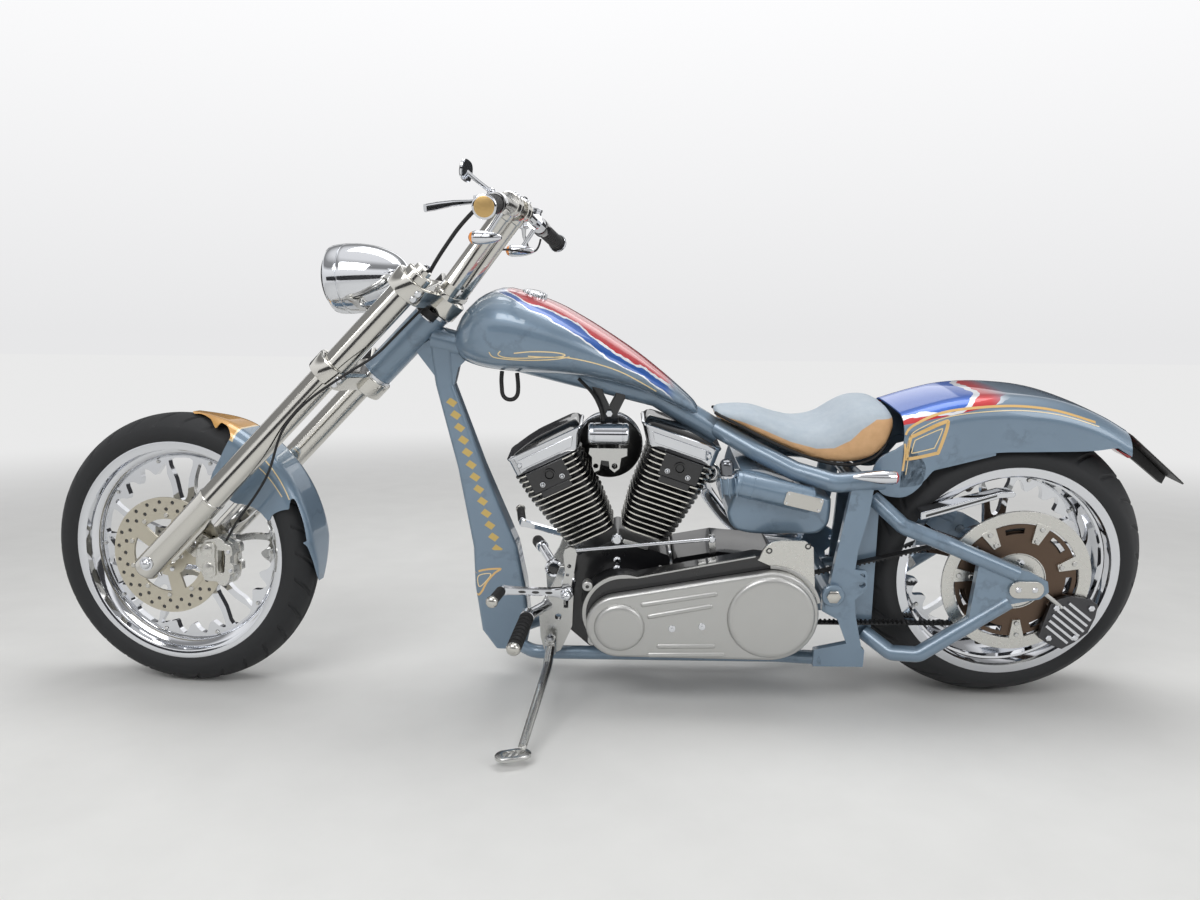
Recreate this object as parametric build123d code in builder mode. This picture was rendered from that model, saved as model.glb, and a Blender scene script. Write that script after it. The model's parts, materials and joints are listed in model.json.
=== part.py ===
"""Chopper motorcycle, built upright and then leaned onto its side stand, in millimetres.

+X points to the rear, -X forwards, -Y to the left, +Z up. While a piece is drawn, the rear axle is at
X = 0, the mid-plane of the machine is Y = 0 and the ground line is Z = 0.
"""

import os
from math import cos, pi, radians, sin, sqrt, tan

from build123d import *

os.makedirs("parts", exist_ok=True)

# Driving dimensions of the machine
WHEELBASE = 2047
RAKE = 44.5
LEAN = 7.84
PARKED_STEER = 10.8
FORK_OFFSET = 46

# Tyres: outer radius, height and half width of the crown arc, widest half width, bead
FRONT_TYRE_R = 349
FRONT_CROWN = 31
FRONT_SHOULDER = 57
FRONT_HALF = 60
FRONT_FLANGE = 283.5
FRONT_RIM_HALF = 50
REAR_TYRE_R = 356
REAR_CROWN = 52
REAR_SHOULDER = 112
REAR_HALF = 122
REAR_FLANGE = 266
REAR_RIM_HALF = 118


def crown_radius(height, half_width):
    """Radius of the arc that crowns a tread of this height and half width."""
    return (height**2 + half_width**2) / (2 * height)


# Both tyres touch the leaning ground: the crown arc's circle decides each axle's height
LEAN_SIN = sin(radians(LEAN))
LEAN_COS = cos(radians(LEAN))
RAKE_SIN = sin(radians(RAKE))
RAKE_COS = cos(radians(RAKE))
STEER_SIN = sin(radians(PARKED_STEER))
STEER_COS = cos(radians(PARKED_STEER))
REAR_ARC_R = crown_radius(REAR_CROWN, REAR_SHOULDER)
REAR_AXLE_Z = REAR_TYRE_R - REAR_ARC_R + REAR_ARC_R / LEAN_COS
FRONT_ARC_R = crown_radius(FRONT_CROWN, FRONT_SHOULDER)
front_axle_tilt = LEAN_SIN * STEER_COS - LEAN_COS * RAKE_SIN * STEER_SIN
front_hub_height = (FRONT_TYRE_R - FRONT_ARC_R) * sqrt(1 - front_axle_tilt**2) + FRONT_ARC_R
front_hub_side = FORK_OFFSET * STEER_SIN
front_hub_drop = FORK_OFFSET * RAKE_SIN * (1 - STEER_COS)
FRONT_AXLE_Z = (front_hub_height - front_hub_side * LEAN_SIN) / LEAN_COS + front_hub_drop

REAR_AXLE = (0, 0, REAR_AXLE_Z)
FRONT_AXLE = (-WHEELBASE, 0, FRONT_AXLE_Z)


def fork_point(along, ahead=0, side=0):
    """A point of the fork: up the legs from the front axle, ahead of them, and to the right."""
    x = FRONT_AXLE[0] + along * RAKE_SIN - ahead * RAKE_COS
    z = FRONT_AXLE[2] + along * RAKE_COS + ahead * RAKE_SIN
    return (x, side, z)


def fork_plane(along, ahead=0, side=0):
    """A plane square to the fork legs; its x axis points forwards and up, its y axis right."""
    return Plane(
        fork_point(along, ahead, side),
        x_dir=(-RAKE_COS, 0, RAKE_SIN),
        z_dir=(RAKE_SIN, 0, RAKE_COS),
    )


STEERING_AXIS = Axis(fork_point(0, -FORK_OFFSET), (RAKE_SIN, 0, RAKE_COS))

# The reference point is on the floor, under the middle of the standing machine
ORIGIN_X = 991
ORIGIN_Y = -129
STANCE = Pos(ORIGIN_X, -ORIGIN_Y, 0) * Rot(LEAN, 0, 0)


def store(piece, steered=False):
    """Leans a finished piece with the machine, the steered ones turned first, and writes its file."""
    solid = piece.rotate(STEERING_AXIS, -PARKED_STEER) if steered else piece
    solid = STANCE * solid
    solid.label = piece.label
    export_step(solid, f"parts/{piece.label}.step")


def wheel_plane(axle):
    """The plane in which a wheel's section is drawn: x is the radius, y is across the machine."""
    return Plane(axle, x_dir=(1, 0, 0), z_dir=(0, 0, 1))


def side_plane(axle, left):
    """A plane that faces left, centred on an axle, this far to the left of the mid-plane."""
    return Plane((axle[0], -left, axle[2]), x_dir=(1, 0, 0), z_dir=(0, -1, 0))


def rod(start, end, radius, mode=Mode.ADD):
    """A round bar from one point to another, in the part that is being built."""
    reach = Vector(*end) - Vector(*start)
    with Locations(Plane(start, z_dir=reach)):
        Cylinder(radius, reach.length, align=(Align.CENTER, Align.CENTER, Align.MIN), mode=mode)


# Tyres, each a crown arc, two bulged walls and a neck between the rim's flanges
BEAD_DEPTH = 12
BEAD_GAP = 5
for name, axle, outer_r, crown, shoulder, half, flange, rim_half in (
    (
        "front_tyre",
        FRONT_AXLE,
        FRONT_TYRE_R,
        FRONT_CROWN,
        FRONT_SHOULDER,
        FRONT_HALF,
        FRONT_FLANGE,
        FRONT_RIM_HALF,
    ),
    ("rear_tyre", REAR_AXLE, REAR_TYRE_R, REAR_CROWN, REAR_SHOULDER, REAR_HALF, REAR_FLANGE, REAR_RIM_HALF),
):
    shoulder_r = outer_r - crown
    wall_r = (shoulder_r + flange) / 2
    neck = rim_half - BEAD_GAP
    with BuildPart() as tyre:
        with BuildSketch(wheel_plane(axle)):
            with BuildLine():
                ThreePointArc((shoulder_r, shoulder), (outer_r, 0), (shoulder_r, -shoulder))
                ThreePointArc((shoulder_r, -shoulder), (wall_r, -half), (flange + 1, -neck))
                Polyline(
                    (flange + 1, -neck),
                    (flange - BEAD_DEPTH, -neck),
                    (flange - BEAD_DEPTH, neck),
                    (flange + 1, neck),
                )
                ThreePointArc((flange + 1, neck), (wall_r, half), (shoulder_r, shoulder))
            make_face()
        revolve(axis=Axis(axle, (0, 1, 0)))
    tyre.part.label = name
    store(tyre.part, steered=name == "front_tyre")

# Cast wheels: a rim with a deep lip, a hub and five paired blades
SPOKES = 5
RIM_WALL = 6
LIP_RUN = 14
WELL_DEPTH = 18
BLADE_THICK = 16
WHEELS = (
    # name, axle, flange radius, half width of the rim, hub radius, half width of the hub
    ("front_wheel", FRONT_AXLE, FRONT_FLANGE, FRONT_RIM_HALF, 42, 58),
    ("rear_wheel", REAR_AXLE, REAR_FLANGE, REAR_RIM_HALF, 55, 96),
)
for name, axle, flange, half, hub_r, hub_half in WHEELS:
    seat_r = flange - BEAD_DEPTH - 0.5
    well_r = flange - BEAD_DEPTH - WELL_DEPTH
    lip = half - 4
    well_half = half - 26
    with BuildPart() as wheel:
        with BuildSketch(wheel_plane(axle)):
            with BuildLine():
                Polyline(
                    (flange, half),
                    (flange, lip),
                    (seat_r, lip),
                    (seat_r, lip - LIP_RUN),
                    (well_r, well_half),
                    (well_r, -well_half),
                    (seat_r, LIP_RUN - lip),
                    (seat_r, -lip),
                    (flange, -lip),
                    (flange, -half),
                    (flange - 8, -half),
                    (seat_r - RIM_WALL, 2 - lip),
                    (seat_r - RIM_WALL, LIP_RUN - lip),
                    (well_r - RIM_WALL, -well_half),
                    (well_r - RIM_WALL, well_half),
                    (seat_r - RIM_WALL, lip - LIP_RUN),
                    (seat_r - RIM_WALL, lip - 2),
                    (flange - 8, half),
                    close=True,
                )
            make_face()
        revolve(axis=Axis(axle, (0, 1, 0)))
        with BuildSketch(side_plane(axle, 0)):
            Circle(hub_r)
        extrude(amount=hub_half, both=True)
        blade_end = well_r - RIM_WALL + 2
        with BuildSketch(side_plane(axle, 0)):
            with PolarLocations(0, SPOKES, start_angle=90):
                Polygon(
                    (hub_r - 8, -16),
                    (hub_r + 70, -9),
                    (blade_end - 70, -12),
                    (blade_end, -46),
                    (blade_end, -22),
                    (blade_end - 44, 0),
                    (blade_end, 22),
                    (blade_end, 46),
                    (blade_end - 70, 12),
                    (hub_r + 70, 9),
                    (hub_r - 8, 16),
                    align=None,
                )
        extrude(amount=BLADE_THICK / 2, both=True)
        with BuildSketch(side_plane(axle, 0)):
            Circle(13)
        extrude(amount=hub_half + 5, both=True, mode=Mode.SUBTRACT)
    wheel.part.label = name
    store(wheel.part, steered=name == "front_wheel")

# Axles, with their nuts
LEG_SPACING = 285
LEG_R = 32.5
AXLE_R = 12.5
NUT_THICK = 8
SWINGARM_Y = 200
ARM_PLATE = 18
for name, axle, seat in (
    ("front_axle", FRONT_AXLE, LEG_SPACING / 2 + LEG_R),
    ("rear_axle", REAR_AXLE, SWINGARM_Y + ARM_PLATE / 2),
):
    reach = seat + 0.3 + NUT_THICK
    with BuildPart() as spindle:
        with BuildSketch(side_plane(axle, -reach)):
            Circle(AXLE_R)
        extrude(amount=2 * reach)
        for end in (-reach, reach - NUT_THICK):
            with BuildSketch(side_plane(axle, end)):
                RegularPolygon(17, 6)
            extrude(amount=NUT_THICK)
    spindle.part.label = name
    store(spindle.part, steered=name == "front_axle")

# Front brake disc, bolted to the left of the hub
DISC_Y = 85
FRONT_DISC_R = 146
DISC_THICK = 5
with BuildPart() as front_disc:
    with BuildSketch(side_plane(FRONT_AXLE, DISC_Y)):
        Circle(FRONT_DISC_R)
        Circle(24, mode=Mode.SUBTRACT)
        with PolarLocations(66, 5, start_angle=36):
            SlotArc(CenterArc((0, 0), 18, 200, 140), 18, mode=Mode.SUBTRACT)
        for row_r, holes, turn in ((116, 24, 0), (134, 24, 7.5)):
            with PolarLocations(row_r, holes, start_angle=turn):
                Circle(4, mode=Mode.SUBTRACT)
    extrude(amount=DISC_THICK)
    with BuildSketch(side_plane(FRONT_AXLE, 58.5)):
        Circle(40)
        Circle(24, mode=Mode.SUBTRACT)
    extrude(amount=DISC_Y - 58.5)
front_disc.part.label = "front_disc"
store(front_disc.part, steered=True)

# Fork legs: polished lower sliders, upper tubes and caps, each leg bored for the axle
LEG_FOOT = -38
SLIDER_TOP = 222
LEG_TOP = 973
with BuildPart() as fork_legs:
    for side in (-LEG_SPACING / 2, LEG_SPACING / 2):
        with BuildSketch(fork_plane(LEG_FOOT, 0, side)):
            Circle(LEG_R)
        extrude(amount=SLIDER_TOP - LEG_FOOT)
        with BuildSketch(fork_plane(SLIDER_TOP, 0, side)):
            Circle(LEG_R - 1.5)
        extrude(amount=LEG_TOP - SLIDER_TOP)
        with BuildSketch(fork_plane(SLIDER_TOP, 0, side)):
            Circle(LEG_R + 1)
        extrude(amount=6)
        with BuildSketch(fork_plane(LEG_TOP, 0, side)):
            Circle(20)
        extrude(amount=12)
    with BuildSketch(side_plane(FRONT_AXLE, -LEG_SPACING)):
        Circle(AXLE_R + 0.2)
    extrude(amount=2 * LEG_SPACING, mode=Mode.SUBTRACT)
fork_legs.part.label = "fork_legs"
store(fork_legs.part, steered=True)

# Triple clamps: two flat yokes that hold the legs, and the steering stem between them
LOWER_CLAMP = 640
UPPER_CLAMP = 908
CLAMP_THICK = 44
CLAMP_EYE = LEG_R + 13
STEM_R = 16
for name, foot in (("lower_triple_clamp", LOWER_CLAMP), ("upper_triple_clamp", UPPER_CLAMP)):
    with BuildPart() as clamp:
        with BuildSketch(fork_plane(foot)):
            with Locations((0, -LEG_SPACING / 2), (0, LEG_SPACING / 2)):
                Circle(CLAMP_EYE)
            with Locations((-FORK_OFFSET, 0)):
                Circle(44)
            with Locations((-FORK_OFFSET / 2, 0)):
                Rectangle(62, LEG_SPACING - 30)
            with Locations((0, -LEG_SPACING / 2), (0, LEG_SPACING / 2)):
                Circle(LEG_R - 1.5 + 0.2, mode=Mode.SUBTRACT)
        extrude(amount=CLAMP_THICK)
        if name == "lower_triple_clamp":
            with BuildSketch(fork_plane(foot + CLAMP_THICK, -FORK_OFFSET)):
                Circle(STEM_R)
            extrude(amount=UPPER_CLAMP - foot - CLAMP_THICK)
    clamp.part.label = name
    store(clamp.part, steered=True)

# Headlamp: a chrome bullet shell between the legs, its lens and bezel, and its bracket
LAMP_X = -1594
LAMP_Z = 1019
LAMP_R = 83
LAMP_TAIL = 150
LAMP_NOSE = 34
LAMP_DROP = 4
LAMP_AXIS = (-cos(radians(LAMP_DROP)), 0, -sin(radians(LAMP_DROP)))
lamp_plane = Plane((LAMP_X, 0, LAMP_Z), x_dir=LAMP_AXIS, z_dir=(0, 1, 0))
with BuildPart() as headlamp_shell:
    with BuildSketch(lamp_plane):
        with BuildLine():
            Line((LAMP_NOSE, 0), (LAMP_NOSE, LAMP_R - 3))
            Line((LAMP_NOSE, LAMP_R - 3), (0, LAMP_R))
            Bezier((0, LAMP_R), (-LAMP_TAIL * 0.5, LAMP_R), (-LAMP_TAIL, LAMP_R * 0.6), (-LAMP_TAIL, 0))
            Line((-LAMP_TAIL, 0), (LAMP_NOSE, 0))
        make_face()
    revolve(axis=Axis((LAMP_X, 0, LAMP_Z), LAMP_AXIS))
    rod(fork_point(925, 8.3), fork_point(925, 36), 16)
    rod(fork_point(925, 28), fork_point(880, 70), 12)
headlamp_shell.part.label = "headlamp_shell"
store(headlamp_shell.part, steered=True)

with BuildPart() as headlamp_lens:
    with BuildSketch(lamp_plane):
        with BuildLine():
            Line((LAMP_NOSE + 0.2, 0), (LAMP_NOSE + 0.2, LAMP_R - 3))
            Line((LAMP_NOSE + 0.2, LAMP_R - 3), (LAMP_NOSE + 9, LAMP_R - 7))
            Bezier(
                (LAMP_NOSE + 9, LAMP_R - 7),
                (LAMP_NOSE + 20, LAMP_R / 2),
                (LAMP_NOSE + 24, 25),
                (LAMP_NOSE + 24, 0),
            )
            Line((LAMP_NOSE + 24, 0), (LAMP_NOSE + 0.2, 0))
        make_face()
    revolve(axis=Axis((LAMP_X, 0, LAMP_Z), LAMP_AXIS))
headlamp_lens.part.label = "headlamp_lens"
store(headlamp_lens.part, steered=True)

# Risers: two thick tubes that lean back from the upper clamp to the bar
RISER_R = 22
RISER_Y = 48
BAR_MID = (-1189, 1185)
BAR_R = 12.7
RISER_PLATE = 12
riser_foot = fork_point(UPPER_CLAMP + CLAMP_THICK + RISER_PLATE - 4, -FORK_OFFSET)
with BuildPart() as risers:
    for side in (-RISER_Y, RISER_Y):
        rod((riser_foot[0], side, riser_foot[2]), (BAR_MID[0], side, BAR_MID[1]), RISER_R)
        rod((BAR_MID[0], side - 24, BAR_MID[1]), (BAR_MID[0], side + 24, BAR_MID[1]), 27)
    with BuildSketch(fork_plane(UPPER_CLAMP + CLAMP_THICK, -FORK_OFFSET)):
        SlotCenterToCenter(2 * RISER_Y, 52, rotation=90)
    extrude(amount=RISER_PLATE)
    rod((BAR_MID[0], -100, BAR_MID[1]), (BAR_MID[0], 100, BAR_MID[1]), BAR_R + 0.2, Mode.SUBTRACT)
risers.part.label = "risers"
store(risers.part, steered=True)

# Handlebar: a nearly straight bar whose ends drop and sweep back
GRIP_END = (-1160, 366, 1138)
GRIP_LENGTH = 130
GRIP_R = 19
bend = (BAR_MID[0], 110, BAR_MID[1])
grip_reach = Vector(*GRIP_END) - Vector(*bend)
grip_along = grip_reach.normalized()


def bar_point(back, side):
    """A point of the bar's end, this far in from the grip's end cap; side is -1 on the left."""
    spot = Vector(*GRIP_END) - grip_along * back
    return (spot.X, spot.Y * side, spot.Z)


with BuildPart() as handlebar:
    for side in (-1, 1):
        rod((BAR_MID[0], 0, BAR_MID[1]), (bend[0], side * bend[1], bend[2]), BAR_R)
        rod((bend[0], side * bend[1], bend[2]), bar_point(6, side), BAR_R)
        with Locations((bend[0], side * bend[1], bend[2])):
            Sphere(BAR_R)
handlebar.part.label = "handlebar"
store(handlebar.part, steered=True)

with BuildPart() as grips:
    for side in (-1, 1):
        rod(bar_point(GRIP_LENGTH, side), bar_point(0, side), GRIP_R)
        rod(bar_point(GRIP_LENGTH + 10, side), bar_point(6, side), BAR_R + 0.2, Mode.SUBTRACT)
grips.part.label = "grips"
store(grips.part, steered=True)

# Hand controls: a clamp, a lever ahead of the grip and the brake's fluid cup on each side
PERCH_BACK = 175
LEVER_TIP = (-1257, 425, 1128)
with BuildPart() as hand_levers:
    for side in (-1, 1):
        perch = bar_point(PERCH_BACK, side)
        pivot = (perch[0] - 38, perch[1] * 1.04, perch[2] + 2)
        rod(bar_point(PERCH_BACK + 22, side), bar_point(PERCH_BACK - 22, side), 20)
        rod(bar_point(PERCH_BACK + 40, side), bar_point(PERCH_BACK - 30, side), BAR_R + 0.2, Mode.SUBTRACT)
        rod((perch[0] - 16, perch[1], perch[2]), pivot, 10)
        rod((pivot[0], pivot[1], pivot[2] - 12), (pivot[0], pivot[1], pivot[2] + 12), 12)
        rod(pivot, (LEVER_TIP[0], LEVER_TIP[1] * side, LEVER_TIP[2]), 6.5)
hand_levers.part.label = "hand_levers"
store(hand_levers.part, steered=True)

# Mirrors on short stalks above the lever clamps
MIRROR_TOP = (-1254, 250, 1266)
with BuildPart() as mirrors:
    for side in (-1, 1):
        perch = bar_point(PERCH_BACK + 8, side)
        head = (MIRROR_TOP[0], MIRROR_TOP[1] * side, MIRROR_TOP[2])
        rod((perch[0] - 14, perch[1], perch[2] + 22), head, 5)
        with Locations(Location(head, (0, 12, 0))):
            Box(12, 74, 42)
mirrors.part.label = "mirrors"
store(mirrors.part, steered=True)

# Bullet signals under the lever clamps; the profile runs from the lens's face to the tail
SIGNAL_PROFILE = ((-36, 0), (-36, 11), (-28, 14.5), (6, 15), (24, 11), (38, 4), (38, 0))
with BuildPart() as front_signals:
    for side in (-1, 1):
        perch = bar_point(PERCH_BACK + 8, side)
        lamp = (perch[0] - 6, perch[1] * 0.86, perch[2] - 42)
        with BuildSketch(Plane(lamp, x_dir=(1, 0, 0), z_dir=(0, -1, 0))):
            with BuildLine():
                Polyline(*SIGNAL_PROFILE, close=True)
            make_face()
        revolve(axis=Axis(lamp, (1, 0, 0)))
        rod((perch[0], perch[1] * 0.86, perch[2] - 20), lamp, 6)
front_signals.part.label = "front_signals"
store(front_signals.part, steered=True)

# Front mudguard: a U-shaped shell around the tyre, from a pointed front horn to a rear tip
GUARD_R = 374
GUARD_HALF = 78
GUARD_WALL = 3
GUARD_SKIRT = 196
GUARD_TAIL = 16
GUARD_SWEEP = 104
GUARD_SIDE = (
    (24, 352),
    (33, 400),
    (400, 400),
    (440, 0),
    (400, -120),
    (366, -88),
    (352, -30),
    (338, 12),
    (300, 92),
    (250, 90),
    (190, 118),
    (84, 180),
    (112, 243),
    (140, 278),
    (152, 300),
    (146, 318),
    (130, 327),
    (112, 328),
    (104, 320),
    (78, 343),
)
guard_start = (cos(radians(GUARD_TAIL)), 0, -sin(radians(GUARD_TAIL)))
guard_up = (sin(radians(GUARD_TAIL)), 0, cos(radians(GUARD_TAIL)))
with BuildPart() as front_fender:
    with BuildSketch(Plane(FRONT_AXLE, x_dir=guard_start, z_dir=guard_up)):
        with Locations(((GUARD_R + GUARD_SKIRT) / 2, 0)):
            RectangleRounded(GUARD_R - GUARD_SKIRT, 2 * GUARD_HALF, 24)
        with Locations(((GUARD_R + GUARD_SKIRT) / 2 - GUARD_WALL - 30, 0)):
            RectangleRounded(
                GUARD_R - GUARD_SKIRT + 60,
                2 * (GUARD_HALF - GUARD_WALL),
                21,
                mode=Mode.SUBTRACT,
            )
        with Locations((GUARD_SKIRT, 0)):
            Rectangle(50, 2 * GUARD_HALF + 4, mode=Mode.SUBTRACT)
    revolve(axis=Axis(FRONT_AXLE, (0, -1, 0)), revolution_arc=GUARD_SWEEP)
    with BuildSketch(side_plane(FRONT_AXLE, -100)):
        with BuildLine():
            Polyline(*GUARD_SIDE, close=True)
        make_face()
    extrude(amount=200, mode=Mode.INTERSECT)
    with BuildSketch(side_plane(FRONT_AXLE, -100)):
        with Locations((334, 80)):
            SlotCenterToCenter(74, 30, rotation=105)
    extrude(amount=200, mode=Mode.SUBTRACT)
    for side in (-1, 1):
        with BuildSketch(Plane((FRONT_AXLE[0], 0, FRONT_AXLE[2] + 300))):
            with BuildLine():
                Polyline((10, side * 10), (60, side * 34), (130, side * 84), (10, side * 84), close=True)
            make_face()
        extrude(amount=100, mode=Mode.SUBTRACT)
        bolt = fork_point(282, -14)
        rod((bolt[0], side * (GUARD_HALF - 1), bolt[2]), (bolt[0], side * (LEG_SPACING / 2 - 20), bolt[2]), 9)
        with BuildSketch(fork_plane(230, 0, side * LEG_SPACING / 2)):
            Circle(LEG_R + 0.3)
        extrude(amount=100, mode=Mode.SUBTRACT)
front_fender.part.label = "front_fender"
store(front_fender.part, steered=True)

# Front brake caliper behind the left leg, on a lug of the slider
with BuildPart() as front_caliper:
    with BuildSketch(side_plane(FRONT_AXLE, 62)):
        with BuildLine():
            Polyline(
                (104, 36),
                (150, 58),
                (186, 40),
                (190, -30),
                (168, -62),
                (112, -52),
                (88, -10),
                close=True,
            )
        make_face()
    extrude(amount=58)
    with BuildSketch(side_plane(FRONT_AXLE, DISC_Y - 4)):
        Circle(FRONT_DISC_R + 6)
    extrude(amount=DISC_THICK + 8, mode=Mode.SUBTRACT)
    with BuildSketch(side_plane(FRONT_AXLE, 96)):
        with BuildLine():
            Polyline((28, 64), (66, 92), (126, 50), (104, 0), (46, 8), close=True)
        make_face()
    extrude(amount=13.5)
front_caliper.part.label = "front_caliper"
store(front_caliper.part, steered=True)

# Frame: neck, backbone, bladed downtube, floor rails, seat rails and rear plates, one weldment
NECK_R = 38
NECK_FOOT = LOWER_CLAMP + CLAMP_THICK + 3
NECK_TOP = UPPER_CLAMP - 3
PLATE_Y = 150
PLATE_THICK = 16
RAIL_Y = 92
RAIL_R = 17
RAIL_Z = 118
PIVOT = (-426, 292)
DOWNTUBE = (
    # height, front edge, rear edge, half width
    (905, -1400, -1345, 24),
    (788, -1387, -1341, 24),
    (582, -1339, -1273, 32),
    (376, -1305, -1194, 40),
    (273, -1303, -1175, 44),
    (150, -1288, -1165, 46),
    (101, -1255, -1175, 46),
)
with BuildPart() as frame:
    with BuildSketch(fork_plane(NECK_FOOT, -FORK_OFFSET)):
        Circle(NECK_R)
    extrude(amount=NECK_TOP - NECK_FOOT)
    for height, front, rear, half in DOWNTUBE:
        with BuildSketch(Plane.XY.offset(height)):
            with Locations(((front + rear) / 2, 0)):
                RectangleRounded(rear - front, 2 * half, 12)
    loft(ruled=True)
    rod((-1392, 0, 900), (-850, 0, 765), 30)
    rod((-850, 0, 765), (-700, 0, 672), 30)
    with BuildSketch(Plane.XZ):
        with BuildLine():
            Polyline(
                (-1432, 872),
                (-1380, 800),
                (-1341, 788),
                (-1330, 830),
                (-1290, 868),
                (-1362, 922),
                close=True,
            )
        make_face()
    extrude(amount=20, both=True)
    for side in (-1, 1):
        for radius, bend_r, route in (
            (
                RAIL_R,
                60,
                (
                    (-1215, 30, RAIL_Z),
                    (-1150, RAIL_Y, RAIL_Z),
                    (-540, RAIL_Y, RAIL_Z),
                    (-440, PLATE_Y + 6, 146),
                ),
            ),
            (
                23,
                60,
                (
                    (-704, 12, 686),
                    (-613, 70, 644),
                    (-527, 112, 608),
                    (-440, 147, 590),
                    (-330, PLATE_Y + 4, 602),
                ),
            ),
        ):
            with BuildLine() as run:
                FilletPolyline(*[(x, side * y, z) for x, y, z in route], radius=bend_r)
            with BuildSketch(Plane(run.line @ 0, z_dir=run.line % 0)):
                Circle(radius)
            sweep()
        with BuildSketch(Plane.XZ.offset(126 if side < 0 else -131.5)):
            with BuildLine():
                Polyline(
                    (-395, 572),
                    (-395, 592),
                    (-340, 606),
                    (-70, 676),
                    (-70, 656),
                    (-240, 610),
                    (-300, 575),
                    close=True,
                )
            make_face()
        extrude(amount=5.5)
        with BuildSketch(Plane.XZ.offset(PLATE_Y if side < 0 else -PLATE_Y - PLATE_THICK)):
            with BuildLine():
                Polyline(
                    (-402, 600),
                    (-352, 606),
                    (-361, 514),
                    (-378, 432),
                    (-381, 377),
                    (-350, 358),
                    (-350, 330),
                    (-376, 305),
                    (-370, 262),
                    (-350, 180),
                    (-342, 172),
                    (-342, 128),
                    (-464, 128),
                    (-464, 172),
                    (-387, 190),
                    (-413, 253),
                    (-452, 275),
                    (-452, 310),
                    (-438, 343),
                    (-432, 386),
                    close=True,
                )
            make_face()
            with Locations((-361, 344)):
                Circle(8, mode=Mode.SUBTRACT)
        extrude(amount=PLATE_THICK)
    rod((PIVOT[0], -PLATE_Y - 24, PIVOT[1]), (PIVOT[0], PLATE_Y + 24, PIVOT[1]), 21)
    rod((-560, -RAIL_Y, RAIL_Z), (-560, RAIL_Y, RAIL_Z), 14)
    rod((-384, -PLATE_Y, 584), (-384, PLATE_Y, 584), 14)
    with BuildSketch(fork_plane(NECK_FOOT - 1, -FORK_OFFSET)):
        Circle(STEM_R + 1)
    extrude(amount=NECK_TOP - NECK_FOOT + 2, mode=Mode.SUBTRACT)
frame.part.label = "frame"
store(frame.part)

# Swinging arm: a tubular triangle on each side, joined behind the pivot
ARM_R = 19
with BuildPart() as swingarm:
    for side in (-1, 1):
        for route in (
            ((-342, 124, 548), (-282, 176, 496), (-185, SWINGARM_Y, 462), (-20, SWINGARM_Y, 392)),
            ((-334, 124, 200), (-282, 174, 172), (-225, SWINGARM_Y, 182), (-30, SWINGARM_Y, 322)),
        ):
            with BuildLine() as run:
                FilletPolyline(*[(x, side * y, z) for x, y, z in route], radius=28)
            with BuildSketch(Plane(run.line @ 0, z_dir=run.line % 0)):
                Circle(ARM_R)
            sweep()
        with BuildSketch(Plane.XZ.offset(112 if side < 0 else -124)):
            with BuildLine():
                Polyline((-360, 556), (-326, 540), (-318, 190), (-350, 190), (-372, 292), close=True)
            make_face()
        extrude(amount=12)
        with BuildSketch(Plane.XZ.offset((SWINGARM_Y if side < 0 else -SWINGARM_Y) - ARM_PLATE / 2)):
            with BuildLine():
                Polyline(
                    (-110, 430),
                    (10, 399),
                    (52, 376),
                    (58, 350),
                    (40, 332),
                    (-30, 318),
                    (-120, 262),
                    close=True,
                )
            make_face()
        extrude(amount=ARM_PLATE)
        rod((-350, side * 110, 292), (PIVOT[0] + 8, side * 110, PIVOT[1]), 13)
    rod((PIVOT[0], -130, PIVOT[1]), (PIVOT[0], 130, PIVOT[1]), 30)
    rod((PIVOT[0], -140, PIVOT[1]), (PIVOT[0], 140, PIVOT[1]), 21.2, Mode.SUBTRACT)
    with BuildSketch(side_plane(REAR_AXLE, -SWINGARM_Y - 30)):
        Circle(AXLE_R + 0.2)
    extrude(amount=2 * SWINGARM_Y + 60, mode=Mode.SUBTRACT)
swingarm.part.label = "swingarm"
store(swingarm.part)

# Rear brake ring and belt pulley on the left of the hub
BELT_Y = 128
BELT_WIDTH = 20
PULLEY_R = 118
FRONT_PULLEY = (-583, 264)
FRONT_PULLEY_R = 46
RING_Y = 160
RING_R = 175
with BuildPart() as rear_pulley:
    for depth, radius, thick in (
        (96.3, 62, 30),
        (BELT_Y - 2, PULLEY_R, BELT_WIDTH + 4),
        (BELT_Y + 20, 40, 11.7),
    ):
        with BuildSketch(side_plane(REAR_AXLE, depth)):
            Circle(radius)
            Circle(30, mode=Mode.SUBTRACT)
        extrude(amount=thick)
rear_pulley.part.label = "rear_pulley"
store(rear_pulley.part)

with BuildPart() as rear_brake_ring:
    with BuildSketch(side_plane(REAR_AXLE, RING_Y)):
        Circle(RING_R)
        Circle(RING_R - 30, mode=Mode.SUBTRACT)
        with PolarLocations(0, 7, start_angle=20):
            with Locations(((RING_R - 20 + 60) / 2, 0)):
                Rectangle(RING_R - 20 - 60, 20)
        Circle(70)
        Circle(22, mode=Mode.SUBTRACT)
    extrude(amount=6)
rear_brake_ring.part.label = "rear_brake_ring"
store(rear_brake_ring.part)

# Toothed belt: a closed loop around both pulleys
with BuildPart() as drive_belt:
    for proud, mode in ((6, Mode.ADD), (0.3, Mode.SUBTRACT)):
        with BuildSketch(Plane.XZ.offset(BELT_Y)):
            with Locations((0, REAR_AXLE_Z)):
                Circle(PULLEY_R + proud)
            with Locations(FRONT_PULLEY):
                Circle(FRONT_PULLEY_R + proud)
            make_hull()
        extrude(amount=BELT_WIDTH, mode=mode)
drive_belt.part.label = "drive_belt"
store(drive_belt.part)

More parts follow.
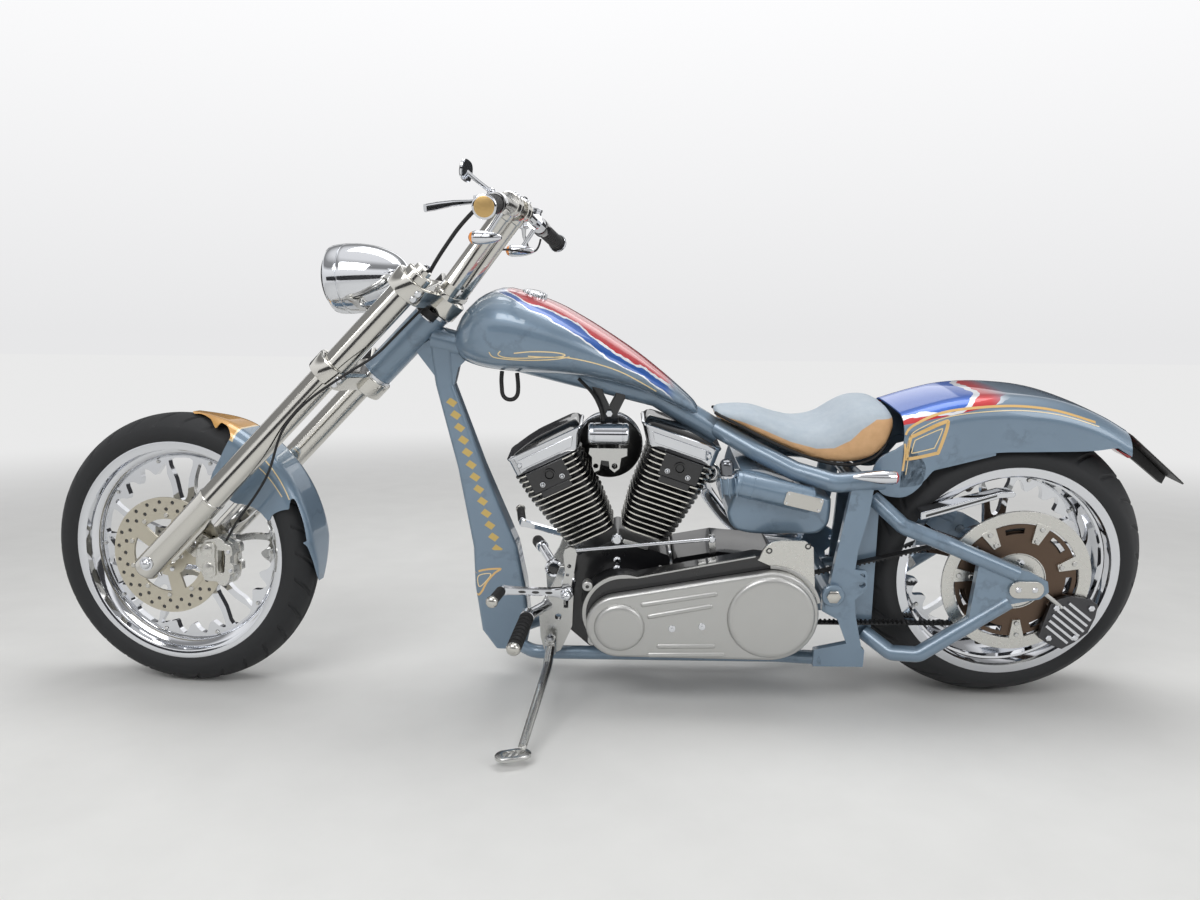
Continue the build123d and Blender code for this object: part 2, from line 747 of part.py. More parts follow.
# Rear caliper, finned, under the ring, and the polished guard over the belt
with BuildPart() as rear_caliper:
    with BuildSketch(side_plane(REAR_AXLE, RING_Y - 9)):
        with BuildLine():
            Polyline((82, -52), (128, -30), (196, -50), (182, -126), (124, -170), (62, -140), close=True)
        make_face()
    extrude(amount=30)
    with BuildSketch(side_plane(REAR_AXLE, RING_Y - 3)):
        Circle(RING_R + 5)
    extrude(amount=12, mode=Mode.SUBTRACT)
    rod((110, -175, REAR_AXLE_Z - 60), (46, -184.7, REAR_AXLE_Z - 10), 6)
rear_caliper.part.label = "rear_caliper"
store(rear_caliper.part)

with BuildPart() as belt_guard:
    with BuildSketch(Plane.XZ.offset(BELT_Y - 1)):
        with BuildLine():
            Polyline((-240, 508), (-60, 560), (-26, 560), (-26, 548), (-60, 546), (-240, 488), close=True)
        make_face()
    extrude(amount=37)
belt_guard.part.label = "belt_guard"
store(belt_guard.part)

# Engine: a closed case with two finned cylinders in a 45 degree V, rocker boxes and intake
CRANK = (-932, 250)
CYLINDERS = (
    # place, lean from upright, which way its outer side faces along the ahead axis
    ("front", -26, 1),
    ("rear", 19, -1),
)
BARREL_FOOT = 168
BARREL_TOP = 385
BARREL_R = 58
FIN_WIDTH = 156
FINS = 16
FIN_REACH = (
    # height, inner end, outer end
    (168, 60, 65),
    (250, 66, 84),
    (320, 64, 98),
    (385, 66, 104),
)
ROCKER_LAYERS = (
    # height, inner end, outer end, width, corner
    (BARREL_TOP + 0.5, 72, 100, 132, 16),
    (BARREL_TOP + 48, 100, 100, 136, 18),
    (BARREL_TOP + 53, 98, 84, 126, 20),
    (BARREL_TOP + 66, 88, 12, 96, 22),
)
CASE_OUTLINE = (
    (-1062, 180),
    (-1080, 330),
    (-1070, 361),
    (-942, 422),
    (-813, 378),
    (-812, 340),
    (-820, 170),
    (-900, 132),
    (-1010, 132),
)
with BuildPart() as crankcase:
    with BuildSketch(Plane.XZ):
        with BuildLine():
            Polyline(*CASE_OUTLINE, close=True)
        make_face()
        fillet(vertices(), 14)
    extrude(amount=82, both=True)
crankcase.part.label = "crankcase"
store(crankcase.part)

with BuildPart() as transmission:
    with BuildSketch(Plane.XZ):
        with BuildLine():
            Polyline(
                (-806, 190),
                (-806, 372),
                (-700, 392),
                (-560, 380),
                (-530, 340),
                (-530, 200),
                (-600, 160),
                (-770, 160),
                close=True,
            )
        make_face()
        fillet(vertices(), 14)
    extrude(amount=84, both=True)
    with BuildSketch(Plane.XZ.offset(84)):
        with Locations(FRONT_PULLEY):
            Circle(FRONT_PULLEY_R)
    extrude(amount=BELT_Y + BELT_WIDTH - 84)
transmission.part.label = "transmission"
store(transmission.part)

def fin_reach(height):
    """How far a fin reaches inwards and outwards from its cylinder's axis."""
    for (low, inner_low, outer_low), (high, inner_high, outer_high) in zip(FIN_REACH, FIN_REACH[1:]):
        if height <= high:
            share = (height - low) / (high - low)
            return (
                inner_low + (inner_high - inner_low) * share,
                outer_low + (outer_high - outer_low) * share,
            )
    return FIN_REACH[-1][1:]


def cylinder_plane(lean, height, shift=0):
    """A plane square to a cylinder at this height above the crank; its x axis points ahead."""
    up = (sin(radians(lean)), 0, cos(radians(lean)))
    ahead = (-up[2], 0, up[0])
    spot = (
        CRANK[0] + up[0] * height + ahead[0] * shift,
        0,
        CRANK[1] + up[2] * height + ahead[2] * shift,
    )
    return Plane(spot, x_dir=ahead, z_dir=up)


for place, lean, outward in CYLINDERS:
    with BuildPart() as cylinder:
        with BuildSketch(cylinder_plane(lean, BARREL_FOOT)):
            RectangleRounded(2 * BARREL_R, 2 * BARREL_R, 40)
        extrude(amount=BARREL_TOP - BARREL_FOOT)
        for fin in range(FINS):
            height = BARREL_FOOT + 2 + fin * (BARREL_TOP - BARREL_FOOT - 8) / (FINS - 1)
            inner, outer = fin_reach(height)
            with BuildSketch(cylinder_plane(lean, height, outward * (outer - inner) / 2)):
                RectangleRounded(inner + outer, FIN_WIDTH, 30)
            extrude(amount=4)
        with BuildSketch(Plane.XZ):
            with BuildLine():
                Polyline(*CASE_OUTLINE, close=True)
            make_face()
        extrude(amount=90, both=True, mode=Mode.SUBTRACT)
    cylinder.part.label = f"{place}_cylinder"
    store(cylinder.part)

for place, lean, outward in CYLINDERS:
    with BuildPart() as rocker_box:
        for height, inner, outer, width, corner in ROCKER_LAYERS:
            with BuildSketch(cylinder_plane(lean, height, outward * (outer - inner) / 2)):
                RectangleRounded(inner + outer, width, corner)
        loft(ruled=True)
    rocker_box.part.label = f"{place}_rocker_box"
    store(rocker_box.part)

INTAKE_Z = 664
with BuildPart() as intake_cover:
    rod((-1016, -66, INTAKE_Z), (-918, -66, INTAKE_Z), 27)
    rod((-967, -60, INTAKE_Z - 20), (-967, -60, 570), 18)
    rod((-967, -70, 606), (-967, 60, 606), 24)
intake_cover.part.label = "intake_cover"
store(intake_cover.part)

with BuildPart() as air_cleaner:
    with BuildSketch(Plane.XZ.offset(-96)):
        with Locations((-966, 590)):
            Circle(88)
    extrude(amount=-62)
    with BuildSketch(Plane.XZ.offset(-60)):
        with Locations((-966, 590)):
            Circle(30)
    extrude(amount=-36)
air_cleaner.part.label = "air_cleaner"
store(air_cleaner.part)

# Exhaust: two pipes from a port on each head that sweep down the right side and run straight back
with BuildPart() as exhaust:
    for port, route in (
        (
            (-1178, 36, 514),
            (
                (-1199, 36, 505),
                (-1196, 130, 470),
                (-1112, 206, 424),
                (-948, 206, 254),
                (-600, 206, 234),
                (-262, 206, 234),
            ),
        ),
        (
            (-716, 38, 541),
            ((-700, 38, 535), (-720, 150, 500), (-700, 206, 430), (-600, 206, 312), (-300, 206, 304)),
        ),
    ):
        with BuildLine() as run:
            FilletPolyline(*route, radius=44)
        with BuildSketch(Plane(run.line @ 0, z_dir=run.line % 0)):
            Circle(22)
            Circle(19, mode=Mode.SUBTRACT)
        sweep()
        rod(port, route[0], 16)
exhaust.part.label = "exhaust"
store(exhaust.part)

# Primary drive on the left: a black belt housing and its pressed silver cover
PRIMARY_FRONT = (-937, 234)
PRIMARY_REAR = (-583, 264)
HOUSING_RIM = (-927, 258)
HOUSING_RIM_R = 98
HOUSING_TOP = ((-943, 355), (-896, 350), (-622, 408), (-560, 400), (-520, 340), (-583, 264), (-937, 234))
HOUSING_BRACKET = (
    (-622, 400),
    (-606, 424),
    (-587, 443),
    (-564, 448),
    (-509, 447),
    (-489, 430),
    (-480, 330),
    (-484, 264),
    (-583, 264),
)
with BuildPart() as primary_housing:
    with BuildSketch(Plane.XZ.offset(82.3)):
        with Locations(PRIMARY_FRONT):
            Circle(94)
    extrude(amount=70)
    with BuildSketch(Plane.XZ.offset(152)):
        with Locations(PRIMARY_FRONT):
            Circle(78)
        with Locations(PRIMARY_REAR):
            Circle(112)
        make_hull()
        with Locations(HOUSING_RIM):
            Circle(HOUSING_RIM_R)
        with BuildLine():
            Polyline(*HOUSING_TOP, close=True)
        make_face()
    extrude(amount=44)
    with BuildSketch(Plane.XZ.offset(190)):
        with BuildLine():
            Polyline(*HOUSING_BRACKET, close=True)
        make_face()
    extrude(amount=6)
primary_housing.part.label = "primary_housing"
store(primary_housing.part)

with BuildPart() as primary_cover:
    with BuildSketch(Plane.XZ.offset(196.3)):
        with Locations(PRIMARY_FRONT):
            Circle(78)
        with Locations(PRIMARY_REAR):
            Circle(112)
        make_hull()
    extrude(amount=24)
    with BuildSketch(Plane.XZ.offset(220.3)):
        with Locations(PRIMARY_FRONT):
            Circle(60)
        with Locations(PRIMARY_REAR):
            Circle(103)
    extrude(amount=10)
primary_cover.part.label = "primary_cover"
store(primary_cover.part)

# Oil tank behind the engine, with its round canister and blank plate
with BuildPart() as oil_tank:
    with BuildSketch(Plane.XZ):
        with BuildLine():
            Polyline(
                (-650, 596),
                (-560, 572),
                (-442, 528),
                (-442, 470),
                (-470, 440),
                (-610, 438),
                (-672, 452),
                (-684, 490),
                close=True,
            )
        make_face()
        fillet(vertices(), 18)
    extrude(amount=140, both=True)
    rod((-672, -150, 572), (-490, -150, 530), 31)
oil_tank.part.label = "oil_tank"
store(oil_tank.part)

# Fuel tank: a long teardrop shell over the backbone, hollowed by a tunnel for it
TANK_SECTIONS = (
    # x, underside, top, width
    (-1336, 852, 898, 76),
    (-1304, 828, 954, 172),
    (-1220, 812, 1000, 280),
    (-1100, 806, 968, 300),
    (-970, 788, 896, 250),
    (-850, 748, 812, 170),
    (-750, 700, 726, 84),
)
CAP_PLANE = Plane((-1148, 0, 970), x_dir=(0, 1, 0), z_dir=(0.2, 0, 1))
CAP_R = 30
with BuildPart() as fuel_tank:
    for x, under, top, width in TANK_SECTIONS:
        with BuildSketch(Plane((x, 0, (under + top) / 2), x_dir=(0, 1, 0), z_dir=(1, 0, 0))):
            RectangleRounded(width, top - under, (top - under) * 0.42)
    loft()
    for start, end in (((-1395, 0, 928), (-850, 0, 765)), ((-850, 0, 765), (-700, 0, 672))):
        rod(start, end, 33, Mode.SUBTRACT)
    with BuildSketch(Plane.XZ):
        with BuildLine():
            Polyline((-1400, 700), (-1400, 928), (-850, 765), (-700, 672), (-700, 600), close=True)
        make_face()
    extrude(amount=33, both=True, mode=Mode.SUBTRACT)
    with BuildSketch(CAP_PLANE):
        Circle(CAP_R + 0.3)
    extrude(amount=40, mode=Mode.SUBTRACT)
fuel_tank.part.label = "fuel_tank"
store(fuel_tank.part)

with BuildPart() as fuel_cap:
    with BuildSketch(CAP_PLANE):
        Circle(CAP_R)
    extrude(amount=26)
fuel_cap.part.label = "fuel_cap"
store(fuel_cap.part)

# Seat: a solo saddle, dished between its nose and its raised back
SEAT_HALF = 118
with BuildPart() as seat:
    with BuildSketch(Plane.XZ):
        with BuildLine():
            Polyline(
                (-713, 718),
                (-640, 719),
                (-541, 693),
                (-496, 686),
                (-451, 699),
                (-406, 735),
                (-340, 748),
                (-297, 726),
                (-292, 652),
                (-345, 644),
                (-395, 632),
                (-446, 632),
                (-527, 650),
                (-607, 690),
                (-700, 716),
                close=True,
            )
        make_face()
    extrude(amount=SEAT_HALF, both=True)
    with BuildSketch(Plane.XY.offset(560)):
        with BuildLine():
            Polyline(
                (-720, -52),
                (-720, 52),
                (-600, 78),
                (-480, 120),
                (-360, 140),
                (-285, 120),
                (-285, -120),
                (-360, -140),
                (-480, -120),
                (-600, -78),
                close=True,
            )
        make_face()
        fillet(vertices(), 12)
    extrude(amount=220, mode=Mode.INTERSECT)
seat.part.label = "seat"
store(seat.part)

# Rear mudguard: a deep shell with a rounded crown whose sides come down over the tyre's wall
REAR_GUARD_HALF = 136
REAR_GUARD_WALL = 4
REAR_GUARD_CROWN = 54
GUARD_TOP = ((-286, 728), (-150, 767), (-3, 773), (120, 750), (236, 698))
guard_solids = []
for inset, front in ((0, -286), (REAR_GUARD_WALL, -290)):
    with BuildPart() as guard_body:
        with BuildSketch(Plane.XZ):
            with BuildLine():
                crown = Spline(*[(x, z - inset) for x, z in GUARD_TOP])
                Polyline(
                    crown @ 1,
                    (246 - inset, 650),
                    (246 - inset, 500),
                    (front, 500),
                    (front, 722),
                    crown @ 0,
                )
            make_face()
        extrude(amount=REAR_GUARD_HALF - inset, both=True)
        along = guard_body.edges().filter_by(lambda edge: edge.length > 300 and edge.center().Z > 700)
        fillet(along, REAR_GUARD_CROWN - inset)
    guard_solids.append(guard_body.part)
with BuildPart() as rear_fender:
    add(guard_solids[0])
    add(guard_solids[1], mode=Mode.SUBTRACT)
    with BuildSketch(Plane.XZ):
        with BuildLine():
            Polyline(
                (-300, 400),
                (-300, 560),
                (-236, 570),
                (-206, 606),
                (-147, 632),
                (-70, 646),
                (20, 648),
                (150, 655),
                (260, 650),
                (260, 400),
                close=True,
            )
        make_face()
    extrude(amount=REAR_GUARD_HALF + 5, both=True, mode=Mode.SUBTRACT)
rear_fender.part.label = "rear_fender"
store(rear_fender.part)

# Plate carrier behind the mudguard, with a blank plate
with BuildPart() as plate_carrier:
    with BuildSketch(Plane.XZ):
        with BuildLine():
            Polyline((250, 668), (262, 676), (412, 552), (400, 536), (250, 640), close=True)
        make_face()
    extrude(amount=80, both=True)
plate_carrier.part.label = "plate_carrier"
store(plate_carrier.part)

# Rear bullet signals on the ends of the seat rails, their lenses to the rear
REAR_LAMP = (-350, 202, 604)
with BuildPart() as rear_signals:
    for side in (-1, 1):
        lamp = (REAR_LAMP[0], side * REAR_LAMP[1], REAR_LAMP[2])
        with BuildSketch(Plane(lamp, x_dir=(-1, 0, 0), z_dir=(0, -1, 0))):
            with BuildLine():
                Polyline((-38, 0), (-38, 12), (-30, 16), (0, 16), (36, 10), (66, 3), (66, 0), close=True)
            make_face()
        revolve(axis=Axis(lamp, (1, 0, 0)))
        rod((REAR_LAMP[0], side * (PLATE_Y + 28), REAR_LAMP[2] - 2), lamp, 8)
rear_signals.part.label = "rear_signals"
store(rear_signals.part)

# The side stand turns on a tilted pin between two lugs of the left control plate
STAND_PIVOT = (-1104, -150, 150)
STAND_TILT = 17.5


def stand_hinge(along):
    """A point on the side stand's pin, this far up from its middle."""
    side = STAND_PIVOT[1] - along * sin(radians(STAND_TILT))
    return (STAND_PIVOT[0], side, STAND_PIVOT[2] + along * cos(radians(STAND_TILT)))


# Forward foot controls: a plate, a lever and a peg on each side
for name, side in (("left_foot_controls", -1), ("right_foot_controls", 1)):
    with BuildPart() as foot_controls:
        plate_side = Plane.XZ.offset(112 if side < 0 else -130)
        with BuildSketch(plate_side):
            with BuildLine():
                Polyline(
                    (-1130, 160),
                    (-1120, 122),
                    (-1084, 120),
                    (-1050, 190),
                    (-1046, 330),
                    (-1080, 350),
                    (-1098, 300),
                    (-1140, 230),
                    close=True,
                )
            make_face()
        extrude(amount=18)
        rod((-1060, side * 128, 306), (-1060, side * 196, 306), 15)
        rod((-1060, side * 186, 306), (-1208, side * 232, 330), 9)
        rod((-1208, side * 225, 332), (-1222, side * 318, 340), 11)
        rod((-1112, side * 124, 246), (-1152, side * 225, 262), 14)
        rod((-1152, side * 222, 262), (-1176, side * 345, 232), 17)
        if side < 0:
            for near, far, web in ((-25, -18.5, -1), (18.5, 25, 5)):
                rod(stand_hinge(near), stand_hinge(far), 13)
                lug = stand_hinge((near + far) / 2)
                rod((lug[0], -120, lug[2] + web), (lug[0], lug[1], lug[2] + web), 3)
    foot_controls.part.label = name
    store(foot_controls.part)

# Side stand: a bent leg whose oval foot lies flat on the leaning ground
STAND_KNEE = (-1108, -214, 122)
STAND_TREAD_X = -1160
STAND_TREAD_REACH = 500
STAND_TREAD = (STAND_TREAD_X, -STAND_TREAD_REACH * LEAN_COS, STAND_TREAD_REACH * LEAN_SIN)
with BuildPart() as side_stand:
    rod(stand_hinge(-18), stand_hinge(18), 14)
    rod(STAND_PIVOT, STAND_KNEE, 12)
    rod(STAND_KNEE, (STAND_TREAD_X + 18, STAND_TREAD[1] + 20, STAND_TREAD[2] + 12), 10)
    with Locations(STAND_KNEE):
        Sphere(12.5)
    with BuildSketch(Plane(STAND_TREAD, x_dir=(1, 0, 0), z_dir=(0, LEAN_SIN, LEAN_COS))):
        SlotCenterToCenter(34, 44, rotation=20)
    extrude(amount=9)
side_stand.part.label = "side_stand"
store(side_stand.part)

# Cables and hoses, each a tube of straight runs joined by the widest arcs that fit
CORDS = (
    # name, radius, turns with the fork, points along its route
    (
        "clutch_cable",
        4.5,
        True,
        (
            (-1226, -194, 1157),
            (-1262, -178, 1130),
            (-1310, -140, 1086),
            (-1350, -106, 1047),
            (-1368, -93, 1023.5),
        ),
    ),
    (
        "throttle_cable",
        2.5,
        True,
        (
            (-1170, 190, 1132),
            (-1172, 178, 1104),
            (-1192, 150, 1094),
            (-1228, 110, 1100),
            (-1268, 88, 1096),
            (-1308, 84, 1072),
            (-1345, 84, 1043),
            (-1369.4, 84, 1021.6),
        ),
    ),
    (
        "brake_hose",
        3,
        True,
        (
            fork_point(905.5, -46, -104),
            fork_point(868, -47, -112),
            fork_point(815, -50, -128),
            fork_point(762, -55, -152),
            fork_point(712, -47, -184),
            fork_point(660, -36, -190),
            fork_point(606, -24, -188),
            fork_point(550, -18, -183),
            fork_point(490, -22, -181),
            fork_point(440, -40, -171),
            fork_point(388, -56, -151),
            fork_point(338, -63, -134),
            fork_point(286, -67, -121),
            fork_point(236, -70, -113),
            fork_point(192, -75, -109),
            fork_point(153.6, -85.4, -108),
        ),
    ),
    (
        "fuel_hose",
        5,
        False,
        (
            (-1221, -48, 810),
            (-1223.5, -48, 792),
            (-1222.5, -49, 772),
            (-1221.5, -49.5, 753),
            (-1211, -50, 742),
            (-1195, -50, 742),
            (-1184.5, -49.5, 753),
            (-1183, -49, 772),
            (-1184, -48, 790),
            (-1185.5, -48, 806),
        ),
    ),
    (
        "engine_hose",
        4,
        False,
        (
            (-1040, -46, 794),
            (-1026, -46, 780),
            (-1008, -47, 762),
            (-993, -49, 738),
            (-984, -53, 714),
            (-980, -57, 693.5),
        ),
    ),
)
for name, radius, steered, route in CORDS:
    runs = [Vector(*after) - Vector(*before) for before, after in zip(route, route[1:])]
    bends = []
    for before, after in zip(runs, runs[1:]):
        turn = before.get_angle(after)
        bends.append(0.45 * min(before.length, after.length) / tan(radians(turn) / 2))
    print(name, "bend radii", [round(bend, 1) for bend in bends])
    with BuildPart() as cord:
        with BuildLine() as run:
            FilletPolyline(*route, radius=bends)
        with BuildSketch(Plane(run.line @ 0, z_dir=run.line % 0)):
            Circle(radius)
        sweep()
    length = sum(edge.length for edge in run.edges())
    print(
        name,
        "length",
        round(length),
        "volume",
        round(cord.part.volume),
        "expected",
        round(length * pi * radius**2),
    )
    cord.part.label = name
    store(cord.part, steered=steered)
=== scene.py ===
# %% [markdown]
# # A chopper motorcycle, dressed for the studio
# The machine stands on its side stand. The construction comes packed as a frame of rigid bodies. This
# lesson gives every surface its finish, and rebuilds the pieces whose look needs finer modelling than
# a plain solid has: tyres, wheels, painted shells, engine trim, the seat and the hoses.

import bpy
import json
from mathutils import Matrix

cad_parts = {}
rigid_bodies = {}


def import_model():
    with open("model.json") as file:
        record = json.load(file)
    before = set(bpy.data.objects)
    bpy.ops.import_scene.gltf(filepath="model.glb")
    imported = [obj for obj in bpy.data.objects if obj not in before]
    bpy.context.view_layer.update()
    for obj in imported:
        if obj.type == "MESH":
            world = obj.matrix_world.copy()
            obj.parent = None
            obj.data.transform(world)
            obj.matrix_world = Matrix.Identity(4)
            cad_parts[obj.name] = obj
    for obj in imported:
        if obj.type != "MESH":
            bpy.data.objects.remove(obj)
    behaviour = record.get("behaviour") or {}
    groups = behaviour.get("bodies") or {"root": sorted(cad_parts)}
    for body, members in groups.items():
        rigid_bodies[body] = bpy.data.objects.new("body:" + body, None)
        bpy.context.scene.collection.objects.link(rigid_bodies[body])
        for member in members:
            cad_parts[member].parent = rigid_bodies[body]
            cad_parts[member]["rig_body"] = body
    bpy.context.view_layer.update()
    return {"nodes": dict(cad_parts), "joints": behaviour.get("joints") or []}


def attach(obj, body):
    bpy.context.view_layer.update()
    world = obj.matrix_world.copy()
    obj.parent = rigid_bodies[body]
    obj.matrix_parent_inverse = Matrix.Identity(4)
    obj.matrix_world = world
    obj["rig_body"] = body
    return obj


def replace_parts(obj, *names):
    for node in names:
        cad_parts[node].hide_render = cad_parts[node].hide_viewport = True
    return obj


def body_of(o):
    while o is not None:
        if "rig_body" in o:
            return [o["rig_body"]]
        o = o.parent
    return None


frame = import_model()

import json
from math import asin, atan2, cos, degrees, hypot, pi, radians, sin, sqrt

import bmesh
import bpy
from mathutils import Matrix, Vector
from mathutils.bvhtree import BVHTree

nodes = frame["nodes"]
joints = {joint["name"]: joint for joint in frame["joints"]}

# %% [markdown]
# ## The machine's own axes
# The machine leans, and its fork is turned. Pieces are drawn upright in millimetres, with the rear axle
# at X = 0, the mid-plane at Y = 0 and the ground at Z = 0, because its sizes are easy to read that way.
# One matrix leans them into place, and a second one turns the steered pieces too. Both matrices come
# from the frame's joints, so the drawing can't drift away from the solids.

# %% Matrices of the leaning machine and of its turned fork
MM = 0.001
RAKE = radians(44.5)
PARKED_STEER = radians(10.8)

rear_spin = joints["rear_wheel_spin"]
LEAN = atan2(rear_spin["axis"][2], rear_spin["axis"][1])
lean_turn = Matrix.Rotation(LEAN, 4, "X")
REAR_AXLE_Z = (lean_turn.inverted() @ Vector(rear_spin["pos_m"])).z / MM
hub_drawn = Vector((0, 0, REAR_AXLE_Z * MM))
BIKE = Matrix.Translation(Vector(rear_spin["pos_m"]) - lean_turn @ hub_drawn) @ lean_turn @ Matrix.Scale(MM, 4)

head = joints["steering_head"]
head_pos = Vector(head["pos_m"])
steer_turn = Matrix.Rotation(-PARKED_STEER, 4, Vector(head["axis"]))
FORK = Matrix.Translation(head_pos) @ steer_turn @ Matrix.Translation(-head_pos) @ BIKE
front_hub_drawn = FORK.inverted() @ Vector(joints["front_wheel_spin"]["pos_m"])
FRONT_AXLE_X = front_hub_drawn.x
FRONT_AXLE_Z = front_hub_drawn.z
FRONT_HUB = (FRONT_AXLE_X, 0, FRONT_AXLE_Z)
REAR_HUB = (0, 0, REAR_AXLE_Z)
LEFT, RIGHT, BACK = (0, -1, 0), (0, 1, 0), (1, 0, 0)
SIDES = ((-1, "left"), (1, "right"))
print("lean", degrees(LEAN), "rear axle height", REAR_AXLE_Z, "front axle", FRONT_AXLE_X, FRONT_AXLE_Z)


def drawn_in(body):
    """The matrix that takes a drawn point of a body into its place."""
    return FORK if body in ("steering", "front_wheel") else BIKE


def fork_point(along, ahead=0, side=0):
    """A drawn point: this far up the fork legs, ahead of them and to the right."""
    x = FRONT_AXLE_X + along * sin(RAKE) - ahead * cos(RAKE)
    z = FRONT_AXLE_Z + along * cos(RAKE) + ahead * sin(RAKE)
    return Vector((x, side, z))


# %% [markdown]
# ## Writing materials as sums
# A finish is easier to read as an expression than as a list of links. `Value` wraps a socket, and its
# operators add the Math nodes. `Finish` starts a material, adds any other node with one method, and
# sends values to the shader.

# %% Helpers for materials


class Value:
    """A number that varies over a surface."""

    def __init__(self, finish, socket):
        self.finish = finish
        self.socket = socket

    def __add__(self, other):
        return self.finish.math("ADD", self, other)

    def __sub__(self, other):
        return self.finish.math("SUBTRACT", self, other)

    def __rsub__(self, other):
        return self.finish.math("SUBTRACT", other, self)

    def __mul__(self, other):
        return self.finish.math("MULTIPLY", self, other)

    def __truediv__(self, other):
        return self.finish.math("DIVIDE", self, other)

    __radd__ = __add__
    __rmul__ = __mul__


class Finish:
    """A material, and the nodes that are added to it."""

    def __init__(self, name, color, roughness, metallic=0.0, **fixed):
        self.material = bpy.data.materials.new(name)
        self.material.use_nodes = True
        self.tree = self.material.node_tree
        self.shader = self.tree.nodes["Principled BSDF"]
        self.shader.inputs["Base Color"].default_value = (*color, 1)
        self.shader.inputs["Roughness"].default_value = roughness
        self.shader.inputs["Metallic"].default_value = metallic
        for name_, value in fixed.items():
            self.shader.inputs[name_.replace("_", " ")].default_value = value

    def node(self, kind, settings=(), output=0, **inputs):
        """Adds a node: its type, its settings, which output to give back, and its sockets' values."""
        made = self.tree.nodes.new(kind)
        for name_, value in dict(settings).items():
            if name_ == "stops":
                ramp = made.color_ramp
                while len(ramp.elements) < len(value):
                    ramp.elements.new(0.5)
                for stop, (place, shade) in zip(ramp.elements, value):
                    stop.position = place
                    stop.color = (*shade, 1)
            else:
                setattr(made, name_, value)
        for name_, value in inputs.items():
            socket = made.inputs[int(name_[1:])] if name_[1:].isdigit() else made.inputs[name_.replace("_", " ")]
            self.feed(socket, value)
        return Value(self, made.outputs[output])

    def feed(self, socket, value):
        """Sets a socket to a number or a colour, or links a value to it."""
        if isinstance(value, Value):
            self.tree.links.new(value.socket, socket)
        elif isinstance(value, (tuple, list, Vector)) and len(value) < len(socket.default_value):
            socket.default_value = (*value, 1)
        else:
            socket.default_value = value

    def math(self, operation, *values):
        """A Math node on one to three values."""
        sockets = {f"i{index}": value for index, value in enumerate(values)}
        return self.node("ShaderNodeMath", {"operation": operation}, **sockets)

    def mix(self, amount, first, second):
        """The first colour where the amount is 0, the second where it is 1."""
        return self.node("ShaderNodeMix", {"data_type": "RGBA"}, output=2, i0=amount, i6=first, i7=second)

    def place(self):
        """The surface point in the machine's rest position, in metres."""
        return self.node("ShaderNodeTexCoord", output=3)

    def drawn(self, matrix):
        """The drawn X, Y and Z of a surface point, in millimetres."""
        made = []
        for row in matrix.inverted()[:3]:
            settings = {"operation": "DOT_PRODUCT"}
            reach = self.node("ShaderNodeVectorMath", settings, output=1, i0=self.place(), i1=tuple(row.xyz))
            made.append(reach - -row[3])
        return made

    def noise(self, scale, detail=3.0, roughness=0.55, stretch=(1, 1, 1)):
        """Cloudy noise from 0 to 1, with this many clouds in a metre."""
        where = self.node("ShaderNodeMapping", Vector=self.place(), Scale=stretch)
        return self.node("ShaderNodeTexNoise", Vector=where, Scale=scale, Detail=detail, Roughness=roughness)

    def step(self, value, low, high):
        """0 below the low end, 1 above the high end, and smooth between."""
        return self.node(
            "ShaderNodeMapRange",
            {"interpolation_type": "SMOOTHSTEP", "clamp": True},
            Value=value,
            From_Min=low,
            From_Max=high,
        )

    def bump(self, height, distance, strength=1.0):
        """Sends a height to the shader's normal, in metres at height 1."""
        bumped = self.node("ShaderNodeBump", Height=height, Distance=distance, Strength=strength)
        self.feed(self.shader.inputs["Normal"], bumped)

    def send(self, **values):
        """Links values to the shader's own sockets, and gives back the material."""
        for name_, value in values.items():
            self.feed(self.shader.inputs[name_.replace("_", " ")], value)
        return self.material


# %% [markdown]
# ## Helpers for shapes
# Most pieces are one of four things: a turned ring, a bent tube, a plate cut from an outline, or a
# closed skin stretched over a row of sections. Each has one short function that draws in millimetres
# and then moves the mesh into its place.

# %% Helpers for shapes


def placed(name, data):
    """A new object in the scene."""
    made = bpy.data.objects.new(name, data)
    bpy.context.scene.collection.objects.link(made)
    return made


def baked(piece):
    """A mesh of a piece as its modifiers show it."""
    bpy.context.view_layer.update()
    return bpy.data.meshes.new_from_object(piece.evaluated_get(bpy.context.evaluated_depsgraph_get()))


def angles(count):
    """Evenly spaced angles of a full turn, from 0."""
    return [2 * pi * step / count for step in range(count)]


def finish_mesh(name, mesh, material, body="frame", matrix=None, smooth_angle=40, bevel=0.0, clean=True):
    """Moves a drawn mesh into place, gives it its material and lets it ride on its body."""
    mesh.transform(matrix or drawn_in(body))
    if clean:
        work = bmesh.new()
        work.from_mesh(mesh)
        bmesh.ops.recalc_face_normals(work, faces=work.faces)
        work.to_mesh(mesh)
        work.free()
    piece = placed(name, mesh)
    mesh.materials.append(material)
    mesh.shade_smooth()
    if bevel:
        edge = piece.modifiers.new("soft edges", "BEVEL")
        edge.width = bevel * MM
        edge.segments = 2
        edge.limit_method = "ANGLE"
        edge.angle_limit = radians(35)
        edge.harden_normals = True
    mesh.set_sharp_from_angle(angle=radians(smooth_angle))
    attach(piece, body)
    return piece


def build(name, points, faces, material, body="frame", **finish):
    """A mesh from drawn points and faces."""
    mesh = bpy.data.meshes.new(name)
    mesh.from_pydata([tuple(point) for point in points], [], faces)
    return finish_mesh(name, mesh, material, body, **finish)


